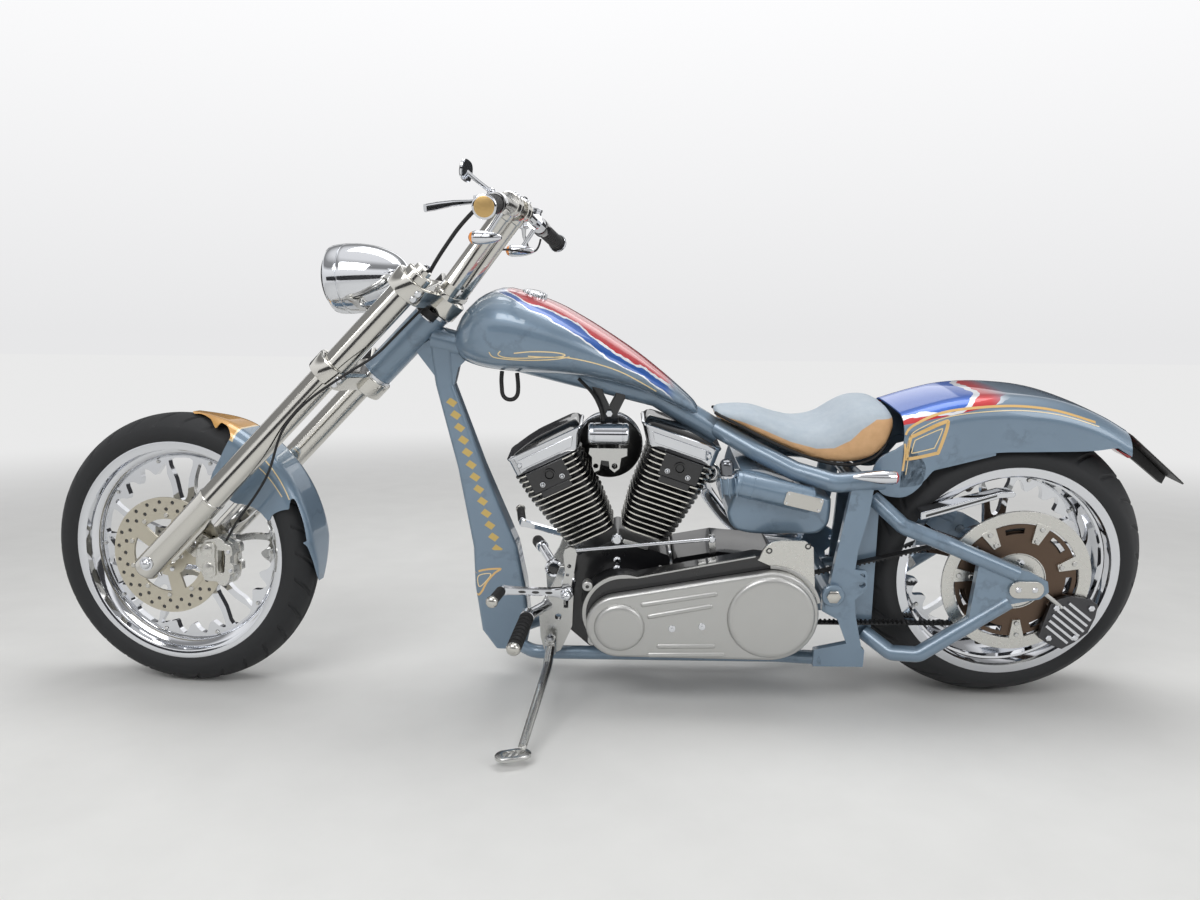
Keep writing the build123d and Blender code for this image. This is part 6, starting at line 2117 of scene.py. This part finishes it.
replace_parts(joined("rear_signals_bullet", pieces), "rear_signals")
print("tail dressed")

# %% [markdown]
# ## Foot controls and side stand
# The controls are polished billet, so their plates are slotted and their edges bevelled. The pegs are
# black ribbed rubber with a pale ball end. The stand is a forged leg that ends in an oval ring, and it
# turns on its own joint.

# %% Foot controls
STAND_PIVOT = Vector((-1104, -150, 150))
PIN_TILT = radians(17.5)
PIN_UP = Vector((0, -sin(PIN_TILT), cos(PIN_TILT)))
for name, side, depth in (("left_foot_controls", -1, 112), ("right_foot_controls", 1, -130)):
    shape = [
        (-1130, 160), (-1122, 128), (-1112, 121), (-1090, 120), (-1080, 126), (-1052, 190), (-1046, 330),
        (-1054, 342), (-1072, 350), (-1082, 348), (-1098, 300), (-1134, 236),
    ]
    windows = [[(-1072, 240), (-1062, 240), (-1060, 296), (-1070, 300)], circle_outline(-1086, 216, 8, 24)]
    pieces = [plate("control_plate", shape, depth, 18, bright_steel, bevel=2, holes=windows)]
    hub = ((0, 68), (10, 68), (13, 65), (15, 60), (15, 6), (18, 4), (18, 0), (0, 0))
    pieces.append(turned("control_hub", hub, (-1060, side * 128, 306), (0, side, 0), chrome, around=40))
    knob = ((0, 22), (5, 21), (10, 17), (12.5, 10), (12.5, 5), (14, 4), (14, 0), (0, 0))
    pieces.append(turned("control_acorn", knob, (-1062, side * 194, 306), (0, side, 0), chrome, around=40))
    start, end = Vector((-1056, side * 186, 306)), Vector((-1208, side * 230, 330))
    way = (end - start).normalized()
    out = Vector((0, side, 0)).cross(way).normalized()
    face = way.cross(out)
    arm = []
    for share, half in ((0.0, 17), (0.05, 18), (0.16, 12), (0.3, 9.5), (0.7, 9), (0.92, 10), (1.0, 12), (1.05, 8)):
        spot = start + (end - start) * share
        arm.append([
            spot + out * half * a + face * b
            for a, b in ((1, -4), (1, 4), (0.7, 6), (-0.7, 6), (-1, 4), (-1, -4), (-0.7, -6), (0.7, -6))
        ])
    pieces.append(skin("control_arm", arm, chrome, smooth_angle=30))
    # The arm's slots are gloss black ovals laid on its face, a painted shade where the real slots are cut through.
    for share in (0.32, 0.52, 0.72):
        slot = []
        spot = start + (end - start) * share
        for lift in (5.2, 6.6):
            over = spot + face * lift * (-1 if face.y * side < 0 else 1)
            slot.append([over + way * (9 * cos(a)) + out * (3.2 * sin(a)) for a in angles(16)])
        pieces.append(skin("arm_slot", slot, gloss_black))
    tip, peg_end = Vector((-1208, side * 225, 332)), Vector((-1222, side * 318, 340))
    ribs = [(0, 18), (10.4, 18)]
    for index in range(7):
        ribs += [(11.6, 20 + index * 9), (11.6, 25 + index * 9), (9.8, 26 + index * 9), (9.8, 28.4 + index * 9)]
    ribs += [(11.6, 84), (10, 86), (0, 86)]
    pieces.append(turned("shift_peg", ribs, tip, peg_end - tip, black_rubber, around=36))
    pieces.append(turned("shift_stub", ((0, 0), (9, 0), (9, 20), (0, 20)), tip, peg_end - tip, chrome, around=32))
    ball = ((0, 102), (7, 101), (12, 98), (14, 93), (13, 88), (9, 85), (0, 85))
    pieces.append(turned("shift_ball", ball, tip, peg_end - tip, satin_alloy, around=40))
    root = Vector((-1112, side * 124, 246))
    knee = Vector((-1152, side * 222, 262))
    foot = Vector((-1176, side * 345, 232))
    pieces.append(tube("peg_root", (root, root.lerp(knee, 0.6), knee), 13, chrome, smooth=False))
    reach = (foot - knee).length
    sleeve = [(0, 4), (14, 4), (16, 6)]
    for index in range(8):
        base = 9 + index * 12
        sleeve += [(17, base), (17, base + 7), (14.4, base + 8.4), (14.4, base + 10.6)]
    sleeve += [(17, 107), (14, 110), (0, 110)]
    pieces.append(turned("peg_sleeve", sleeve, knee, foot - knee, black_rubber, around=40))
    end_ball = (
        (0, reach + 1), (8, reach), (14, reach - 4), (17, reach - 10), (16, reach - 16), (12, reach - 19),
        (0, reach - 19),
    )
    pieces.append(turned("peg_ball", end_ball, knee, foot - knee, satin_alloy, around=44))
    collar = ((0, -12), (12, -12), (17, -8), (17, 4), (13, 7), (0, 7))
    pieces.append(turned("peg_collar", collar, knee, foot - knee, chrome, around=40))
    for x, z in ((-1100, 142), (-1068, 330)):
        pieces.append(turned("control_bolt", HEX_BOLT, (x, side * 130, z), (0, side, 0), chrome, around=6))
    if side < 0:
        for near, far in ((-25, -18.6), (18.6, 25)):
            eye_ring = ((0, near), (12.6, near), (13.2, near + 1), (13.2, far - 1), (12.6, far), (0, far))
            pieces.append(turned("stand_lug", eye_ring, STAND_PIVOT, PIN_UP, bright_steel, around=40))
            mid = STAND_PIVOT + PIN_UP * (near + far) / 2
            pieces.append(tube("stand_web", (Vector((mid.x, -126, mid.z)), mid), 3.2, bright_steel, smooth=False))
        nut = ((0, 32), (6, 32), (8, 30), (8, 25), (0, 25))
        pieces.append(turned("stand_nut", nut, STAND_PIVOT, PIN_UP, chrome, around=6))
        pieces.append(plate(
            "shift_crank",
            [
                (-1074, 318), (-1052, 318), (-1044, 360), (-1038, 404), (-1042, 416), (-1054, 420), (-1066, 414),
                (-1070, 400), (-1066, 360),
            ],
            176, 8, bright_steel, bevel=1.2,
            holes=[circle_outline(-1056, 372, 5, 20), circle_outline(-1060, 350, 4, 18)],
        ))
        pieces.append(tube(
            "shift_crank_shaft", ((-1062, -130, 322), (-1062, -180, 322)), 8, bright_steel, smooth=False,
        ))
        rod_ends = (Vector((-1054, -172, 406)), Vector((-720, -152, 432)))
        pieces.append(tube("shift_rod", rod_ends, 4.4, chrome, smooth=False))
        for spot in rod_ends:
            joint = ((0, 7), (6, 7), (8, 5), (8, -5), (6, -7), (0, -7))
            pieces.append(turned("rod_end", joint, spot, LEFT, chrome, around=28))
        drop = [(-728, 438), (-712, 438), (-710, 420), (-706, 384), (-714, 380), (-722, 384)]
        pieces.append(plate("shift_drop", drop, 132, 8, bright_steel, bevel=1))
        pieces.append(tube("drop_shaft", ((-714, -80, 388), (-714, -140, 388)), 7, bright_steel, smooth=False))
        pieces.append(tube("drop_pin", ((-720, -134, 431), (-720, -156, 432)), 4.4, bright_steel, smooth=False))
    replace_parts(joined(name + "_billet", pieces), name)

KNEE = Vector((-1108, -214, 122))
tread_lean = Vector((0, -cos(LEAN), sin(LEAN)))
tread = Vector((-1160, 0, 0)) + tread_lean * 500
pieces = [turned(
    "stand_eye", ((0, -18), (13, -18), (14, -17), (14, 17), (13, 18), (0, 18)), STAND_PIVOT, PIN_UP, bright_steel,
    "side_stand", around=44,
)]
leg_end = Vector((-1142, tread.y + 20, tread.z + 12))
sections = []
for index in range(25):
    share = index / 24
    if share < 0.2:
        spot = STAND_PIVOT.lerp(KNEE, share / 0.2)
    else:
        spot = KNEE.lerp(leg_end, (share - 0.2) / 0.8)
    blend = min(max((share - 0.14) / 0.12, 0), 1)
    way = ((KNEE - STAND_PIVOT).normalized() * (1 - blend) + (leg_end - KNEE).normalized() * blend).normalized()
    width = 12 - 2.4 * share
    flat = 12 - 5.5 * min(share * 1.6, 1)
    out = way.cross(Vector((1, 0, 0))).normalized()
    ahead = out.cross(way)
    sections.append([spot + ahead * width * cos(a) + out * flat * sin(a) for a in angles(20)])
pieces.append(skin("stand_leg", sections, bright_steel, "side_stand", smooth_angle=60))
floor_out = Vector((0, sin(LEAN), cos(LEAN)))
angle_turn = radians(20)
plan = []
for a in angles(48):
    x, y = 17 * (1 if cos(a) > 0 else -1) * (1 if abs(cos(a)) > 1e-6 else 0) + 22 * cos(a), 22 * sin(a)
    plan.append((x * cos(angle_turn) - y * sin(angle_turn), x * sin(angle_turn) + y * cos(angle_turn)))


def tread_point(x, y, lift):
    """A point of the stand's foot, over the ground."""
    return tread + Vector((x, 0, 0)) + Vector((0, cos(LEAN), -sin(LEAN))) * y + floor_out * lift


layers = []
for lift, scale in ((0, 0.60), (0, 0.95), (1.5, 1.0), (7, 1.0), (9, 0.93), (9, 0.60)):
    layers.append([tread_point(x * scale, y * scale, lift) for x, y in plan])
layers.append(layers[0])
pieces.append(skin("stand_ring", layers, bright_steel, "side_stand", capped=False, smooth_angle=50))
for shift in (-12, 0, 12):
    pieces.append(tube(
        "stand_grate", (tread_point(shift - 4, -14, 4.4), tread_point(shift + 4, 14, 4.4)), 2.6, bright_steel,
        "side_stand", smooth=False,
    ))
spring = []
for step in range(61):
    share = step / 60
    spot = KNEE.lerp(leg_end, 0.02).lerp(KNEE.lerp(leg_end, 0.30), share) + Vector((0, 4, 16))
    a = 2 * pi * 15 * share
    spring.append(spot + Vector((4.6 * cos(a), 0, 4.6 * sin(a))))
pieces.append(tube("stand_spring", spring, 1.2, dark_chrome, "side_stand"))
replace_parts(joined("side_stand_forged", pieces), "side_stand")
print("controls dressed")

# %% [markdown]
# ## Oil tank
# The oil tank is a rounded box in the machine's colour. A cylinder lies along its upper edge, with a dark
# cap and three bent bars at its front end. It wears a small polished plate that is left blank.

# %% Oil tank
outline = smooth_loop([
    (-650, 594), (-604, 586), (-556, 571), (-500, 552), (-448, 531), (-440, 520), (-441, 474), (-450, 456),
    (-474, 441), (-540, 438), (-610, 438), (-650, 444), (-670, 454), (-682, 478), (-682, 496), (-668, 540),
    (-656, 588),
])
sections = []
for y, shrink in (
    (-139.5, 16), (-138, 9), (-133, 3.5), (-125, 0.6), (-112, 0), (112, 0), (125, 0.6), (133, 3.5), (138, 9),
    (139.5, 16),
):
    mid_x, mid_z = -560, 510
    ring = []
    for x, z in outline:
        reach = hypot(x - mid_x, z - mid_z)
        pull = (reach - shrink) / reach
        ring.append((mid_x + (x - mid_x) * pull, y, mid_z + (z - mid_z) * pull))
    sections.append(ring)
pieces = [skin("oil_box", sections, plain_blue, smooth_angle=50)]
can_start, can_end = Vector((-668, -150, 571)), Vector((-490, -150, 530))
can_length = (can_end - can_start).length
can = (
    (0, -6), (22, -6), (28, -3), (30, 3), (30.6, 10), (30.6, can_length - 10), (30, can_length - 4), (26, can_length),
    (0, can_length + 1),
)
pieces.append(turned("oil_can", can, can_start, can_end - can_start, plain_blue))
for place in (0.04, 0.2, 0.82, 0.96):
    band = ((30.4, -1.6), (31.4, -1.2), (31.4, 1.2), (30.4, 1.6))
    pieces.append(turned("can_band", band, can_start.lerp(can_end, place), can_end - can_start, plain_blue))
cap_spot = Vector((-690, -150, 590))
CAP_WAY = (-0.15, 0, 1)
cap = ((0, 38), (9, 37), (14, 33), (16, 26), (16, 4), (19, 3), (19, 0), (0, 0))
pieces.append(turned("oil_cap", cap, cap_spot, CAP_WAY, dark_chrome, around=40))
pieces.append(turned(
    "cap_ring", ((0, 3), (20, 3), (20.5, 1), (20.5, -3), (0, -3)), cap_spot, CAP_WAY, chrome, around=40,
))
pieces.append(turned(
    "cap_neck", ((0, 0), (17, 0), (18, -6), (18, -42), (12, -48), (0, -48)), cap_spot, CAP_WAY, plain_blue, around=40,
))
for shift in (-17, 0, 17):
    wire = (
        cap_spot + Vector((shift - 2, -19, -2)), cap_spot + Vector((shift, -26, -14)),
        cap_spot + Vector((shift + 2, -26, -34)), cap_spot + Vector((shift + 6, -20, -50)),
    )
    pieces.append(tube("can_wire", wire, 1.8, plain_blue))
plate_place = Matrix.Translation((-517, -181.5, 537)) @ Matrix.Rotation(radians(13), 4, "Y")
layers = []
for lift, scale in ((0, 1.0), (1.2, 1.0), (1.8, 0.97)):
    layers.append([plate_place @ Vector((x * scale, -lift, z * scale)) for x, z in rounded(88, 34, 6)])
pieces.append(skin("blank_badge", layers, satin_alloy, smooth_angle=30))
for x in (-38, 38):
    for z in (-11, 11):
        rivet = ((0, 2), (2.4, 1.6), (3, 0), (3, -1), (0, -1))
        pieces.append(turned("badge_rivet", rivet, plate_place @ Vector((x, -1.6, z)), LEFT, chrome, around=14))
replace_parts(joined("oil_tank_built", pieces), "oil_tank")
print("oil tank dressed")

# %% [markdown]
# ## Exhaust, air cleaner and fuel cap
# The pipes and the air cleaner sit on the machine's right side. Each pipe leaves its head, bends down
# and runs straight back, under a bright heat shield with vent slots. The air cleaner is a round pressed
# dish round a dark filter, and the fuel cap is a knurled knob on top of the tank.

# %% Exhaust pipes
PIPE_Y = 206
PIPES = (
    # where the pipe leaves the head, its route, and where its shield starts and stops along the straight
    (
        (-1150, 30, 492),
        ((-1152, 84, 486), (-1166, 130, 472), (-1152, 178, 450), (-1112, 203, 416), (-1030, 206, 336), (-972, 206, 280),
         (-916, 206, 250), (-840, 206, 244), (-600, 206, 234), (-400, 206, 234), (-262, 206, 234)),
        (-880, 244, -290, 234),
    ),
    (
        (-716, 38, 541),
        ((-706, 60, 532), (-718, 140, 503), (-712, 186, 462), (-690, 204, 420), (-640, 206, 356), (-590, 206, 318),
         (-520, 206, 309), (-400, 206, 306), (-300, 206, 304)),
        (-540, 309, -330, 304),
    ),
)
pieces = []
for port, route, (x0, z0, x1, z1) in PIPES:
    pieces.append(tube("exhaust_pipe", (port, *route), 19.5, chrome))
    end = Vector(route[-1])
    lip = ((15, -60), (21.6, -60), (22, -58), (22, 0), (20, 1.5), (17.5, 1), (16.5, -2), (15, -50))
    pieces.append(turned("exhaust_lip", lip, end, BACK, chrome, around=48, closed=True))
    # A black disc just inside each pipe's end stands for the bore: partly its real soot, partly a painted shade of the
    # open pipe's depth.
    pieces.append(turned(
        "exhaust_bore", ((0, -7), (16.4, -7), (16.4, -9), (0, -9)), end, BACK, black_enamel, around=32,
    ))
    flange = ((19, -4), (25, -4), (26, -3), (26, 3), (25, 4), (19, 4))
    way = Vector(route[0]) - Vector(port)
    pieces.append(turned("exhaust_flange", flange, route[0], way, bright_steel, around=32, closed=True))
    length = hypot(x1 - x0, z1 - z0)
    slots = []
    for index in range(int((length - 60) / 34)):
        middle = 40 + index * 34
        slots.append(arc_points(middle + 7, 0, 3.2, -90, 90, 6) + arc_points(middle - 7, 0, 3.2, 90, 270, 6))
    angle = atan2(z1 - z0, x1 - x0)
    shield = []
    for step in range(61):
        share = step / 60
        grow = min(share / 0.03, (1 - share) / 0.03, 1)
        ring = []
        for turn in range(25):
            a = radians(-102 + 204 * turn / 24)
            reach = 20.2 + 1.7 * grow * (1 - 0.6 * abs(turn / 12 - 1) ** 6)
            ring.append((
                x0 + (x1 - x0) * share - reach * sin(a) * sin(angle), PIPE_Y + reach * cos(a),
                z0 + (z1 - z0) * share + reach * sin(a) * cos(angle),
            ))
        inner = [(x, PIPE_Y + (y - PIPE_Y) * 0.93, z) for x, y, z in reversed(ring)]
        shield.append(ring + inner)
    pieces.append(skin("exhaust_shield", shield, chrome, smooth_angle=40))
    # The vent slots are thin black plates laid on the shield, a painted shade where the real slots open onto the pipe
    # below.
    for loop in slots:
        ring = [turned_xz(x, z, angle, x0, z0, 0)[::2] for x, z in loop]
        pieces.append(plate("shield_slot", ring, -227.8, 0.7, black_enamel))
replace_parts(joined("exhaust_dressed", pieces), "exhaust")

# %% Air cleaner and fuel cap
CLEANER = (-966, 0, 590)
dish = (
    (0, -157.4), (20, -157.4), (24, -156), (30, -153), (66, -151.5), (76, -149), (83, -143), (86.5, -135),
    (87.6, -126), (87.6, -118), (84, -116), (70, -115), (0, -115),
)
pieces = [turned("cleaner_dish", [(r, -d) for r, d in reversed(dish)], CLEANER, RIGHT, chrome, around=96)]
pieces.append(turned(
    "cleaner_back", ((0, 96), (80, 96), (84, 98), (84, 103), (80, 105), (0, 105)), CLEANER, RIGHT, black_enamel,
    around=96,
))
pleats = []
for depth in (104, 116.5):
    ring = []
    for step, a in enumerate(angles(180)):
        reach = 80 if step % 2 else 73
        ring.append((CLEANER[0] + reach * cos(a), depth, CLEANER[2] + reach * sin(a)))
    pleats.append(ring)
pieces.append(skin("cleaner_filter", pleats, black_rubber, smooth_angle=10))
pieces.append(turned("cleaner_neck", ((0, 59), (30, 59), (30, 97), (0, 97)), CLEANER, RIGHT, cast_alloy, around=48))
for turn in range(3):
    a = radians(90 + 120 * turn)
    spot = (CLEANER[0] + 54 * cos(a), 152.5, CLEANER[2] + 54 * sin(a))
    pieces.append(turned(
        "cleaner_screw", ((0, 2.6), (3, 2.6), (5, 1.4), (5, -2), (0, -2)), spot, RIGHT, bright_steel, around=24,
    ))
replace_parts(joined("air_cleaner_dressed", pieces), "air_cleaner")

knurl = []
for height, inner, outer in (
    (0.2, 28.6, 29.2), (3, 28.4, 29.8), (20, 28.4, 29.8), (23, 27.2, 28.4), (25, 24.6, 25.2), (25.8, 20, 20),
):
    ring = []
    for step, a in enumerate(angles(96)):
        reach = outer if step % 4 < 2 else inner
        across, ahead = reach * cos(a), reach * sin(a)
        ring.append((-1148 + 0.196 * height + 0.981 * ahead, across, 970 + 0.981 * height - 0.196 * ahead))
    knurl.append(ring)
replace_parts(skin("fuel_cap_knob", knurl, chrome, smooth_angle=25), "fuel_cap")
print("pipes dressed")

# %% [markdown]
# ## Paint on the frame
# A plain row of gold diamonds runs up the front downtube, and a gold and cream triangle frames its foot.
# The diamonds are a painted mask in drawn coordinates, and the triangles are thin lines laid on the tube.


# %% Frame lacquer
def frame_paint(made, color):
    """Gold diamonds up the downtube."""
    x, y, z = made.drawn(BIKE)
    near = made.step(made.math("ABSOLUTE", y), 12, 26)
    offset = made.math("ABSOLUTE", x + z * 0.278 + 1145)
    pitch = made.math("ABSOLUTE", made.math("FRACT", z / 31) - 0.5) * 31
    diamond = 1 - made.step(offset + pitch * 1.15, 13.2, 14.6)
    span = made.step(z, 352, 354) * (1 - made.step(z, 738, 740))
    return made.mix(diamond * span * near, color, tint(206, 176, 96))


frame_blue = blue_lacquer("frame lacquer", frame_paint)
nodes["frame"].data.materials.clear()
nodes["frame"].data.materials.append(frame_blue)
frame_tree = surface_of(nodes["frame"])
triangle = [(-1298, 236), (-1299, 292), (-1238, 304), (-1252, 292), (-1272, 268), (-1287, 240)]
foot_lines = [pinstripe("downtube_triangle", frame_tree, triangle, 5.0, -1, gold_paint, closed=True)]
inner = [(-1292, 256), (-1293, 284), (-1262, 290), (-1276, 268)]
foot_lines.append(pinstripe("downtube_triangle_inner", frame_tree, inner, 2.4, -1, cream_paint, closed=True))
joined("downtube_lines", foot_lines)
print("frame painted")

# %% [markdown]
# Small fittings finish the frame: the swinging arm's pivot bolt in its round boss, the lug with a hole
# behind it, and the dark fork that holds the engine's top under the backbone.

# %% Frame fittings
PIVOT = (-431, -174, 302)
fittings = [turned("pivot_boss", ((0, -8), (27, -8), (27, 3), (25, 5), (0, 5)), PIVOT, LEFT, plain_blue, around=48)]
fittings.append(turned(
    "pivot_bolt", ((0, 14), (14, 14), (17, 12), (17, 4), (0, 4)), PIVOT, LEFT, satin_alloy, around=6,
))
lug = [(-392, 330)] + arc_points(-363, 348, 15, -100, 100, 16) + [(-392, 366)]
fittings.append(plate("pivot_lug", lug, 156, 10, plain_blue, bevel=1, holes=[circle_outline(-363, 348, 7, 24)]))
mount = [
    (-990, 668), (-940, 668), (-946, 704), (-928, 742), (-926, 778), (-948, 778), (-952, 750), (-966, 722),
    (-980, 750), (-986, 784), (-1008, 784), (-1006, 748), (-986, 704),
]
fittings.append(plate("top_mount", mount, 4, 22, black_enamel, bevel=1.5))
fittings.append(turned(
    "top_mount_bolt", ((0, 8), (8, 8), (9, 7), (9, -2), (0, -2)), (-966, -26, 706), LEFT, chrome, around=6,
))
joined("frame_fittings", fittings)
print("frame fittings")

# %% [markdown]
# ## Cables and hoses
# Five flexible lines hang free. Each is one curve through the same points as its solid, so its length
# is the solid's length.

# %% Cords
CORDS = (
    # name, radius, steered, route
    (
        "clutch_cable", 4.5, True,
        ((-1226, -194, 1157), (-1262, -178, 1130), (-1310, -140, 1086), (-1350, -106, 1047), (-1368, -93, 1023.5)),
    ),
    (
        "throttle_cable", 2.5, True,
        (
            (-1170, 190, 1132), (-1172, 178, 1104), (-1192, 150, 1094), (-1228, 110, 1100),
            (-1268, 88, 1096), (-1308, 84, 1072), (-1345, 84, 1043), (-1369.4, 84, 1021.6),
        ),
    ),
    (
        "brake_hose", 3, True,
        tuple(
            tuple(fork_point(*spot))
            for spot in (
                (905.5, -46, -104), (868, -47, -112), (815, -50, -128), (762, -55, -152), (712, -47, -184),
                (660, -36, -190), (606, -24, -188), (550, -18, -183), (490, -22, -181), (440, -40, -171),
                (388, -56, -151), (338, -63, -134), (286, -67, -121), (236, -70, -113), (192, -75, -109),
                (153.6, -85.4, -108),
            )
        ),
    ),
    (
        "fuel_hose", 5, False,
        (
            (-1221, -48, 810), (-1223.5, -48, 792), (-1222.5, -49, 772), (-1221.5, -49.5, 753), (-1211, -50, 742),
            (-1195, -50, 742), (-1184.5, -49.5, 753), (-1183, -49, 772), (-1184, -48, 790), (-1185.5, -48, 806),
        ),
    ),
    (
        "engine_hose", 4, False,
        (
            (-1040, -46, 794), (-1026, -46, 780), (-1008, -47, 762), (-993, -49, 738), (-984, -53, 714),
            (-980, -57, 693.5),
        ),
    ),
)
for name, radius, steered, route in CORDS:
    place = FORK if steered else BIKE
    cord = tube(f"{name}_cord", route, radius, black_rubber, "steering" if steered else "frame")
    length = sum((Vector(b) - Vector(a)).length for a, b in zip(route, route[1:]))
    place @ Vector(route[0])
    2 * radius * MM
    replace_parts(cord, name)
    print(name, "length", round(length), "mm")
